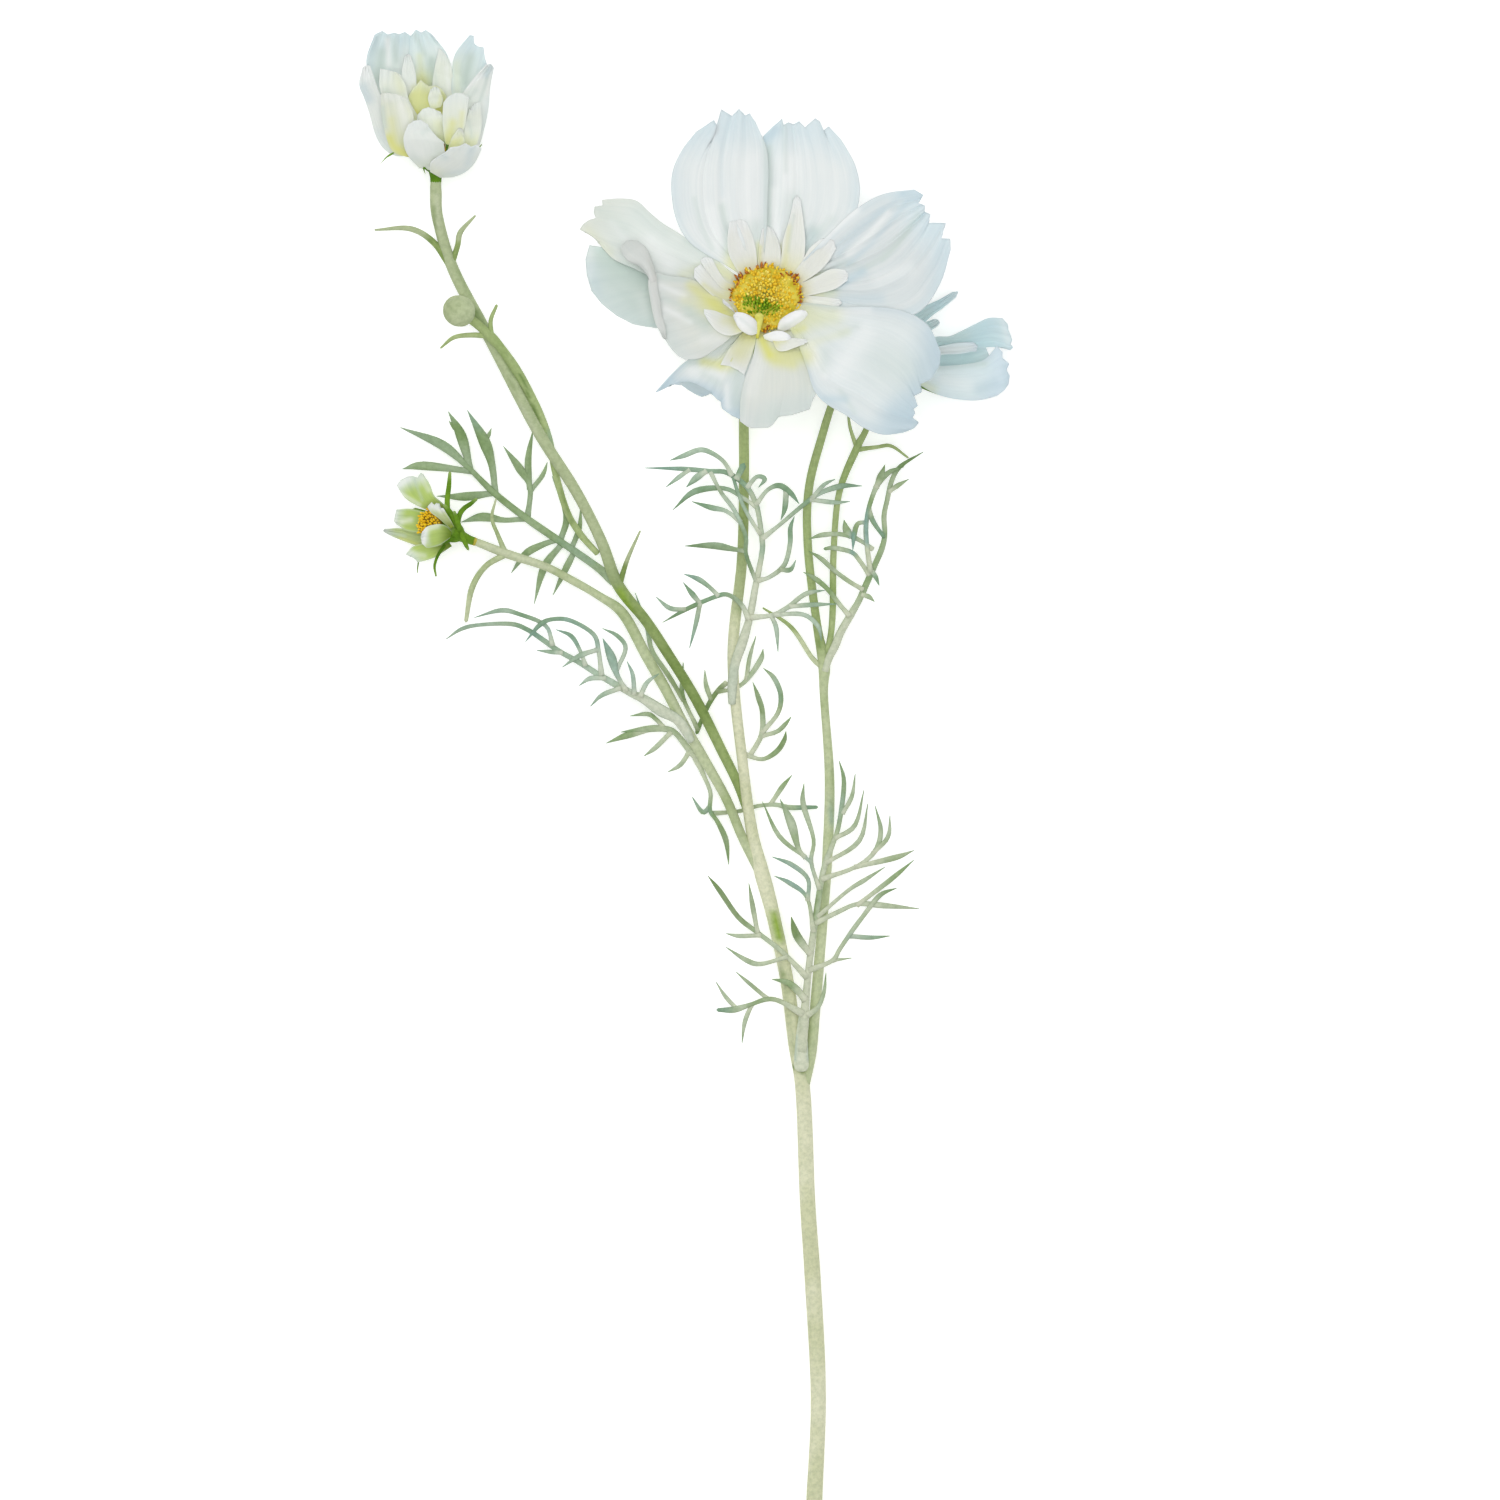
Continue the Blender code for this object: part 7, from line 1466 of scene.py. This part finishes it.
    leaf("leaf_centre_right", [
        (6.2, 7.4, (-12.4, 186.2, 1.3), (-9.6, 191.4, 1.3), (-9.4, 197, 1.3), (-10.4, 200.6, 1.3),
         (-11.8, 204.5)),
        (6.8, 7.8, (-9.6, 191.8, 1.1), (-5.6, 196.6, 1.2), (-4.8, 201.2, 1.2), (-6.5, 205.5, 1.2),
         (-9.2, 208)),
        (6.6, 7, (-9.8, 191, 1.1), (-6, 192, 1.1), (-4, 193.6, 1.2), (-2.2, 195.8)),
        (6.3, 6.6, (-13.8, 186.4, 1.1), (-9.5, 185.2, 1.1), (-6, 187, 1.3), (-4, 189.8, 1.2),
         (-3.5, 192.2)),
    ], dark=[
        (1, 0.6, (-3.8, 192), (-5, 188)), (1, 0.4, (-11, 203), (-9.8, 197)),
    ], teal=[
        (1, 0.35, (-6, 205), (-4.9, 200)),
    ])

    leaf("leaf_right", [
        (8.2, 11.8, (6.2, 207.2, 1.7), (7.3, 210.6, 2), (8.8, 213.6, 2), (10.2, 217, 2), (12.8, 221.5, 1.8),
         (14.8, 225, 1.7), (16.8, 229.5, 1.6), (18.8, 234, 1.5), (20.5, 238, 1.4), (21.2, 241.5, 1.3),
         (21, 246, 1.3), (21.8, 250, 1.3), (23, 255, 1.2), (25.2, 258.5, 1.1), (30.8, 262)),
        (11.6, 11.8, (22.2, 252, 1), (24.4, 253.6, 1.2), (27.2, 255.2)),
        (11, 12, (17.6, 232, 1), (16.5, 241, 1.2), (16.8, 246, 1.2), (17.8, 250, 1.2), (19.5, 254, 1.4),
         (22.4, 257, 1.2), (26, 258.3)),
        (11.6, 11.8, (19, 253, 1.2), (20.2, 255.8, 1.8), (21.2, 258.8)),
        (11.2, 11.2, (16.7, 244.4, 1), (14.4, 244, 1.1), (13.5, 241, 1.3), (13.2, 237.4)),
        (11.2, 11.2, (17.2, 248, 1), (18.2, 244.8, 1.3), (20.9, 240.8, 0.9)),
        (10.8, 10.8, (18.2, 237.6, 1), (16, 239.3, 1.1), (12.8, 240.9, 1.2), (9.2, 241.5, 1.1),
         (5.2, 241.2, 1.2), (2.2, 240.2)),
        (10.8, 10.8, (12.9, 240.7, 1.2), (11.6, 242.6, 2), (11, 245)),
        (10.1, 10.5, (17.4, 231.2, 1.1), (14.8, 235, 1.1), (12.8, 237, 1.2), (8.5, 238, 1.2),
         (6.2, 237.8, 0.8)),
        (10.4, 10.4, (15.8, 227.6, 1), (12.5, 229.5, 1.1), (8.8, 232.2, 1.2), (5.2, 235.4, 1.2),
         (2.2, 237.2)),
        (10.6, 10.8, (18, 232.2, 1), (19, 230.6, 1.2), (19.8, 228.6)),
        (10.4, 10.6, (15.4, 226.4, 1), (17.2, 225.8, 1.2), (18.6, 224.6)),
        (9.9, 10.2, (12.4, 221, 1.2), (9.8, 224, 1.2), (7, 227.6, 1.2), (4, 230.2, 1.3), (0.8, 232)),
    ], straw=[
        (1.4, 0.5, (8, 212), (13, 221.6)), (1.2, 0.35, (21.4, 244), (23.4, 255.6)),
    ], teal=[
        (0.9, 0.85, (16.2, 248), (16.8, 239.6)), (0.9, 0.8, (13.2, 241.4), (13.2, 236.8)),
        (0.8, 0.5, (18.4, 245), (20.6, 241.2)), (0.8, 0.4, (19.4, 229.4), (18.6, 231.4)),
    ], dark=[
        (0.8, 0.5, (29, 261.2), (25.4, 258.4)), (0.9, 0.35, (3, 236.6), (8, 232.8)),
        (0.8, 0.35, (19.6, 255.6), (21, 258.4)),
    ])


# ---------------------------------------------------------------- discs, calyxes and buds


def frame_of(axis):
    """Two directions square to an axis, and the axis itself, each of length one."""
    up = np.asarray(axis, float)
    up = up / np.linalg.norm(up)
    side = np.cross((0, 1, 0), up)
    side /= np.linalg.norm(side)
    return side, np.cross(up, side), up


def turned(name, profile, at, axis, look, slot, sides=48, rows=41, ripple=0, replaced=()):
    """A closed turned piece from a (radius, height) profile, with small ripples round it."""
    side, other, up = frame_of(axis)
    points, uvs = [], []
    for row in range(rows):
        along_it = row / (rows - 1)
        radius, height = along(profile, along_it)
        for k in range(sides):
            angle = 2 * math.pi * k / sides
            out = side * math.cos(angle) + other * math.sin(angle)
            r = max(radius, LEAST_RADIUS) * (1 + ripple * math.sin(RIPPLES_ROUND * angle + height))
            points.append(np.asarray(at) + r * out + up * height)
            uvs.append((k / sides, along_it))
    start_cap = tuple(reversed(range(sides)))
    end_cap = tuple(range((rows - 1) * sides, rows * sides))
    add_piece(name, points, [start_cap, *quads(rows, sides), end_cap], uvs, look, slot, replaced)


def club(foot, lean, height, thin, thick, bend):
    """A stamen or floret as one tube: a thin stalk with a swollen, rounded head."""
    foot = np.asarray(foot, float)
    lean = np.asarray(lean, float)
    lean = lean / np.linalg.norm(lean)
    aside = np.array((chance.uniform(-1, 1), chance.uniform(-1, 1), 0)) * bend
    strand = []
    for t, width in ((0, thin), (0.45, thin), (0.62, thick), (0.85, thick * 0.9), (1, thick * 0.35)):
        strand.append((*(foot + lean * height * t + aside * t * t), width))
    return tube(strand, sides=6, flat=1, steps=2)


def make_small_disc():
    """The heart of the small bloom: a dark cushion packed with bright florets."""
    foot, axis = (-89.7, 243.3, 13), (-0.5, 0.15, 0.55)
    radius, rise, count = 3.2, 5.6, 96
    turned(
        "small_disc_fine",
        [(radius * 0.5, 0), (radius * 0.9, rise * 0.5), (radius, rise - 0.9), (radius * 0.6, rise - 0.5),
         (0, rise - 0.4)],
        foot, axis, "brown", "disc_yellow", ripple=0.03, replaced=("small_disc",),
    )
    side, other, up = frame_of(axis)
    centre = np.asarray(foot) + up * rise
    florets = []
    for index in range(count):
        share = math.sqrt((index + 0.5) / count)
        angle = index * GOLDEN_ANGLE
        out = side * math.cos(angle) + other * math.sin(angle)
        at = centre + out * radius * share - up * (0.9 + 0.5 * share)
        lean = up + out * (0.1 + 0.6 * share**2)
        florets.append(club(at, lean, chance.uniform(0.9, 1.5), 0.3, chance.uniform(0.45, 0.68), bend=0.3))
    add_piece("small_disc_fine_florets", *join(florets), "amber", "disc_yellow")


def in_green_fan(across, up_disc):
    """Whether a place on the main disc lies in its fan of unopened green florets."""
    from_apex = (up_disc - FAN_APEX[1], across - FAN_APEX[0])
    reach = np.interp(math.degrees(math.atan2(*from_apex)), list(FAN_REACH), list(FAN_REACH.values()))
    return math.hypot(*from_apex) < reach


def disc_florets(side, other, up, centre):
    """The main disc's florets by look. Each sits on a spiral, and some of the outer ones are left out."""
    found = {"heart": [], "floret": [], "gold": []}
    for index in range(DISC_FLORETS):
        share = math.sqrt((index + 0.5) / DISC_FLORETS)
        angle = index * GOLDEN_ANGLE
        across = DISC_RADIUS * share * math.cos(angle)
        up_disc = DISC_RADIUS * share * math.sin(angle)
        if up_disc < DISC_LIP:
            across *= LIP_NARROWS
            up_disc *= LIP_LENGTHENS
        out = side * across + other * up_disc
        at = centre + side * across + other * up_disc - up * (0.5 + 0.9 * share**4)
        lean = up * 1.1 + out / DISC_RADIUS * (0.1 + 0.5 * share**2)
        if in_green_fan(across, up_disc) and chance.random() < FAN_FILLED:
            fan = side * (across - FAN_APEX[0]) + other * (up_disc - FAN_APEX[1])
            height, thick = chance.uniform(0.9, 1.7), chance.uniform(0.46, 0.66)
            found["heart"].append(club(at + up * 0.45, up + fan * 0.2, height, 0.36, thick, bend=0.2))
        elif share > SPARSE_FROM and chance.random() < SPARSE_LEFT_OUT:
            continue
        elif chance.random() < PALE_FLORETS:
            height, thick = chance.uniform(0.9, 1.7), chance.uniform(0.55, 0.8)
            found["floret"].append(club(at, lean, height, 0.35, thick, bend=0.4))
        else:
            height, thick = chance.uniform(0.8, 1.7), chance.uniform(0.6, 0.9)
            found["gold"].append(club(at, lean, height, 0.35, thick, bend=0.5))
    return found


def disc_stamens(side, other, up, centre):
    """The main disc's fringe of brown stamens, which lean every way."""
    stamens = []
    for first, last, radius, count in STAMEN_ARCS:
        for index in range(count):
            turn = math.radians(first + (last - first) * (index + chance.random()) / count)
            out = side * math.cos(turn) + other * math.sin(turn)
            at = centre + out * (radius - chance.uniform(0.9, 2.2)) - up * 0.7
            lean = up * chance.uniform(0.3, 1) + out * chance.uniform(0.3, 1.1)
            lean = lean + side * chance.uniform(-0.6, 0.6)
            height, thick = chance.uniform(1.4, 2.7), chance.uniform(0.38, 0.62)
            stamens.append(club(at, lean, height, 0.24, thick, bend=0.8))
    return stamens


def rim_florets(side, other, up, centre):
    """A ring of open florets round the main disc's edge."""
    florets = []
    for index in range(RIM_FLORETS):
        turn = 2 * math.pi * (index + chance.uniform(-0.4, 0.4)) / RIM_FLORETS
        out = side * math.cos(turn) + other * math.sin(turn)
        at = centre + out * chance.uniform(7.6, 8.6) - up * 0.8
        lean = up * chance.uniform(0.6, 1.1) + out * chance.uniform(0.3, 0.8)
        florets.append(club(at, lean, chance.uniform(1, 2), 0.3, chance.uniform(0.55, 0.8), bend=0.6))
    return florets


def make_main_disc():
    """The main bloom's heart: a cushion of florets, a green fan in it, and a fringe of brown stamens."""
    side, other, up = frame_of(DISC_AXIS)
    turned(
        "open_disc_cushion",
        [(5.4, 0), (7.4, 2.8), (8.5, 4.6), (8.3, 5.8), (5.5, 6.3), (2.5, 5.9), (0, 5.7)],
        DISC_FOOT, DISC_AXIS, "cushion", "disc_yellow", ripple=0.02, replaced=("open_disc",),
    )
    centre = DISC_FOOT + up * DISC_TOP
    florets = disc_florets(side, other, up, centre)
    stamens = disc_stamens(side, other, up, centre)
    florets["gold"] += rim_florets(side, other, up, centre)
    turned(
        "open_disc_green", [(3.6, 0), (3.4, 0.5), (2, 0.8), (0, 0.9)],
        centre - side * 1.6 - other * 3.4 - up, DISC_AXIS, "heart", "disc_yellow", ripple=0.12,
    )
    add_piece("open_florets_green", *join(florets["heart"]), "heart", "disc_yellow")
    add_piece("open_florets_pale", *join(florets["floret"]), "floret", "disc_yellow")
    add_piece("open_florets_gold", *join(florets["gold"]), "gold", "disc_yellow")
    add_piece("open_stamens_brown", *join(stamens), "rust", "disc_yellow")


def make_curled_petals():
    """The small white petals curled over the disc's lower edge, and the yellow funnel between them."""
    curled = dict(look="white", slot="petal_white", cells=(30, 36), replaced=False, ribs=4, rib_depth=0.04,
                  ruffle=0.1)
    petal(
        "curled_petal_left",
        [(-10.3, 291.6), (-12, 291), (-14, 291.7), (-15.4, 293), (-16.4, 295)],
        [(-10.4, 292.8), (-11.4, 294.9), (-13.4, 296.1), (-15.2, 296.7), (-16, 296.6)],
        [(-16.7, 296)],
        [34.2, 35.2, 36.2], [33.6, 34.8, 35.8], arch=1.1, shade=[(0.6, 0.3, (-11.2, 292), (-14.8, 295))],
        **curled,
    )
    petal(
        "curled_petal_right",
        [(-5.7, 292.4), (-5, 294.5), (-3, 296.1), (-1, 297), (0.7, 297.2)],
        [(-4.2, 292), (-1, 293.2), (0.8, 294.2), (1.7, 295.2), (1.9, 296.3)],
        [(1.5, 297)],
        [33.4, 33.6, 34.4], [33.2, 33.4, 33.8], arch=1.1, shade=[(0.5, 0.3, (-4.4, 293), (0.4, 295.6))],
        **curled,
    )
    petal(
        "curled_petal_low",
        [(-9.2, 290.9), (-7.4, 291.6), (-5.6, 292), (-4, 291.7), (-2.5, 290.7)],
        [(-8.8, 290), (-7.4, 289.5), (-5.6, 289.3), (-4, 289.3), (-2.6, 289.8)],
        [(-2.2, 290.2)],
        [34.6, 35.4, 35.8], [34.6, 35.4, 35.6], arch=0.5, **curled,
    )
    petal(
        "curled_strip_left",
        [(-16.6, 296.8), (-17.6, 298.6), (-19.3, 299.9)],
        [(-16, 296.4), (-17, 297.2), (-18.8, 298.7)],
        [(-19.3, 299.2)],
        [34.4, 34.8, 34.8], [34.2, 34.6, 34.6], **curled,
    )
    grow(
        "open_funnel",
        [[(-10.7, 290.2, 34, 0.7), (-10.5, 292, 34.2, 1.1), (-10.3, 294, 33.6, 1.9),
         (-10.2, 295.8, 32.6, 2.5)]],
        "funnel", "disc_yellow", sides=18, flat=0.7, steps=8, replaced=False,
    )


def blade(points, width, shares=(0.62, 1, 0.72, 0.42, 0.12)):
    """A sepal blade through points: a flat tube whose width follows shares along it."""
    strand = []
    for index, share in enumerate(shares):
        x, y, z = along(points, index / (len(shares) - 1))
        strand.append((x, y, z, width * share))
    return tube(strand, sides=10, flat=0.3, steps=5)


def core(base, axis, rows):
    """The cup of a calyx: a round tube along an axis through (distance, width) rows."""
    direction = np.asarray(axis, float) / np.linalg.norm(axis)
    strand = [(*(np.asarray(base) + direction * distance), width) for distance, width in rows]
    return tube(strand, sides=20, flat=1, steps=4)


def add_calyx(bloom, parts):
    """One bloom's calyx, from its cup and its sepals."""
    add_piece(bloom + "_calyx_fine", *join(parts), "sepal", "sepal_green", (bloom + "_calyx",))


def make_calyxes():
    """The green cups and sepals that hold the four blooms."""
    side, other, up = frame_of(DISC_AXIS)
    foot = np.array((-8.25, 295.4, 13))
    parts = [core(foot, DISC_AXIS, [(0, 2.8), (2.4, 4), (5, 8.6), (7.6, 10.6), (9.6, 11.2), (11.4, 11.2)])]
    sepals = 8
    for index in range(sepals):
        angle = 2 * math.pi * (index + 0.5) / sepals
        out = side * math.cos(angle) + other * math.sin(angle)
        ridge = [foot + up * rise + out * reach for rise, reach in ((4.6, 2), (6, 7), (4.6, 12))]
        parts.append(blade(ridge, 3))
    parts.append(core(DISC_FOOT - up * 1.5, up, [(0, 9), (1.5, 11.8), (3, 13.8), (4.2, 15), (4.4, 1)]))
    add_calyx("open", parts)

    rows = [(0, 2.6), (1.2, 2.9), (2.2, 3.3), (3.6, 4), (6, 5.4), (9.5, 7.6), (10.5, 2)]
    parts = [core((-91, 329.2, 14), (0, 1, 0.06), rows)]
    for width, *points in (
        (1.2, (-91.6, 332.8, 12.6), (-97, 336.6, 9), (-102, 337, 10.6)),
        (0.5, (-101.4, 336.9, 10.8), (-103.3, 335.7, 12), (-104.9, 334, 12.6)),
        (2, (-90.6, 331.8, 13), (-84, 334, 8), (-79.6, 339, 5)),
        (2, (-91, 331.8, 13), (-91.4, 334.6, 8), (-91.2, 339, 2)),
        (1, (-91.6, 331.6, 15.2), (-93, 332.6, 17), (-94, 332.9, 18.2), (-93.6, 331.4, 18.6)),
    ):
        parts.append(blade(points, width))
    add_calyx("upper", parts)

    parts = [core((23.8, 282.9, 13.8), (0.8, 0.6, 0.1), [(0, 1.8), (0.8, 2.6), (1.8, 4), (4.2, 6)])]
    for points in (
        ((25, 283.8, 14), (25.2, 290, 14.6), (28, 294.6, 14.2)),
        ((25.2, 283.4, 13.6), (29, 279.4, 12.4), (34.4, 276.4, 12.2)),
        ((25, 283.6, 13.2), (27.6, 284, 7.4), (32.4, 284.4, 2)),
    ):
        parts.append(blade(points, 2))
    add_calyx("back", parts)

    rows = [(0, 2), (1.4, 2.6), (2.4, 4.2), (3.8, 5.4), (5.2, 5.2)]
    parts = [core((-83, 240.2, 12.2), (-0.85, 0.42, 0.1), rows)]
    for width, *points in (
        (1.4, (-86.4, 244.4, 16), (-88.2, 247.6, 16.4), (-87.8, 252.4, 15.6), (-87.5, 256.8, 15)),
        (1.3, (-85.4, 243.6, 15.8), (-84.8, 247, 16.6), (-82.8, 248.6, 16.8), (-80.8, 250.2, 16.6)),
        (1.2, (-84.8, 242, 15.2), (-84.2, 240.4, 16.4), (-83.6, 239, 16.4), (-82.9, 237.6, 15.8)),
        (0.8, (-88.2, 239.4, 12.6), (-89.8, 237.2, 13.4), (-91.3, 234.2, 12), (-91, 231, 10.4)),
        (0.4, (-93, 236.4, 9), (-95.2, 235, 8.4), (-95.7, 231.8, 7.6)),
        (2, (-85.8, 242.2, 11.6), (-91, 245.4, 6.4), (-96.4, 247.6, 6.6)),
        (1.5, (-85.6, 243, 15.4), (-86.8, 246, 16.6), (-88.8, 248.6, 16.4)),
        (1.4, (-85, 242.2, 15.2), (-85.6, 244.6, 16.8), (-86.4, 247, 17)),
        (2, (-86.6, 240.6, 15), (-88.8, 240, 16), (-90, 239, 15.4)),
        (2, (-86.8, 243.4, 15.6), (-89, 244.6, 16.4), (-90.8, 245.4, 16.6)),
    ):
        parts.append(blade(points, width, shares=(0.7, 1, 0.95, 0.85, 0.55)))
    add_calyx("small", parts)


def bud(name, centre, radius, axis):
    """A closed bud: a slightly long ball, with shallow seams where its sepals meet."""
    side, other, up = frame_of(axis)
    rings, sides = 41, 64
    points, uvs = [], []
    for i in range(rings):
        polar = math.pi * i / (rings - 1)
        for k in range(sides):
            angle = 2 * math.pi * k / sides
            seam = abs(math.sin(BUD_SEAMS / 2 * angle)) ** 0.35 if polar < BUD_SEAMS_END else 1
            r = radius * (1 - BUD_SEAM_DEPTH + BUD_SEAM_DEPTH * seam)
            out = side * math.cos(angle) + other * math.sin(angle)
            reach = out * math.sin(polar) + up * BUD_LENGTH * math.cos(polar)
            points.append(np.asarray(centre) + r * reach)
            uvs.append((k / sides, i / (rings - 1)))
    faces = [(a, d, c, b) for a, b, c, d in quads(rings, sides)]
    add_piece(name + "_fine", points, faces, uvs, "bud", "bud_green", (name,))


def make_node_details():
    """The sheath round the fork, the rings at the joints, and the green necks under the blooms."""
    grow(
        "fork_sheath",
        [[(0.35, 107.6, 7, 2.8), (0.35, 108.6, 7.5, 3.7), (0.35, 112, 7.8, 3.4), (0.5, 117, 7.9, 2.8),
         (1, 121.4, 8.3, 2.5)]],
        "sleeve", "stem_green", sides=24, flat=0.8, steps=10, wobble=0, replaced=False,
        teal=[(0.5, 0.35, (-1.2, 110), (-0.9, 116)), (0.5, 0.3, (2.1, 110), (1.7, 116))],
    )
    grow(
        "upper_neck",
        [[(-91, 329.4, 13.9, 2.8), (-91, 330.4, 14, 2.9), (-91, 331.8, 14.2, 3.3)]],
        "sepal", "sepal_green", sides=20, steps=6, wobble=0, replaced=False,
    )
    grow(
        "small_neck_ring", [[(-81, 239.45, 12, 2), (-81.7, 239.75, 12.1, 2.15)]], "ring", "sepal_green",
        sides=20, steps=4, wobble=0, replaced=False,
    )
    grow(
        "small_neck",
        [[(-81.6, 239.7, 12.1, 2.1), (-83, 240.2, 12.3, 2.3), (-85, 241.1, 12.6, 3)]],
        "sepal", "sepal_green", sides=20, steps=6, wobble=0, replaced=False,
    )


# ---------------------------------------------------------------- floor, light and camera


def make_stage():
    """A plain white floor that glows a little, so that it stays white under soft light."""
    mesh = bpy.data.meshes.new("floor")
    corners = [(-1, -1), (1, -1), (1, 1), (-1, 1)]
    points = [(x * FLOOR_REACH, y * FLOOR_REACH, -FLOOR_DROP) for x, y in corners]
    mesh.from_pydata(points, [], [(0, 1, 2, 3)])
    made = bpy.data.materials.new("floor_paint")
    made.use_nodes = True
    tree = made.node_tree
    shader = tree.nodes["Principled BSDF"]
    patches = noise(tree, model_place(tree), 6)
    tone = ramp(tree, patches, (0.3, rgb(247, 248, 248)), (0.7, rgb(250, 250, 250)))
    tree.links.new(tone, shader.inputs["Base Color"])
    shader.inputs["Roughness"].default_value = 0.95
    shader.inputs["Emission Color"].default_value = WHITE
    shader.inputs["Emission Strength"].default_value = FLOOR_GLOW
    mesh.materials.append(made)
    floor = bpy.data.objects.new("floor", mesh)
    bpy.context.scene.collection.objects.link(floor)


def make_lights():
    """White surroundings and three round lamps, all aimed at the spray."""
    world = bpy.data.worlds.new("studio")
    world.use_nodes = True
    world.node_tree.nodes["Background"].inputs["Color"].default_value = WHITE
    world.node_tree.nodes["Background"].inputs["Strength"].default_value = WORLD_LIGHT
    bpy.context.scene.world = world
    for name, (place, diameter, power) in LAMPS.items():
        light = bpy.data.lights.new(name, "AREA")
        light.shape = "DISK"
        light.size = diameter
        light.energy = power
        lamp = bpy.data.objects.new(name, light)
        lamp.location = place
        lamp.rotation_euler = (LAMPS_AIM - Vector(place)).to_track_quat("-Z", "Y").to_euler()
        bpy.context.scene.collection.objects.link(lamp)


def make_camera():
    """Looks straight down from far away, so that heights don't shift what it sees."""
    lens = bpy.data.cameras.new("camera")
    lens.sensor_width = 36
    lens.lens = lens.sensor_width / VIEW_HEIGHT * CAMERA_DISTANCE
    lens.clip_end = 100
    camera = bpy.data.objects.new("camera", lens)
    camera.location = (*VIEW_CENTRE, CAMERA_DISTANCE + FOCUS_HEIGHT)
    bpy.context.scene.collection.objects.link(camera)
    bpy.context.scene.camera = camera


make_stems()
make_main_bloom()
make_main_disc()
make_curled_petals()
make_upper_bloom()
make_back_bloom()
make_small_bloom()
make_small_disc()
make_calyxes()
bud("bud_round", (-85.2, 297.2, 15.8), 3.9, (-0.76, 0.54, 0.36))
bud("bud_behind_bloom", (11.2, 280.6, 12.6), 3.6, (0.5, 0.8, 0.33))
make_node_details()
make_leaves()
make_stage()
make_lights()
make_camera()
bpy.context.scene.view_settings.view_transform = "Standard"
bpy.context.view_layer.update()
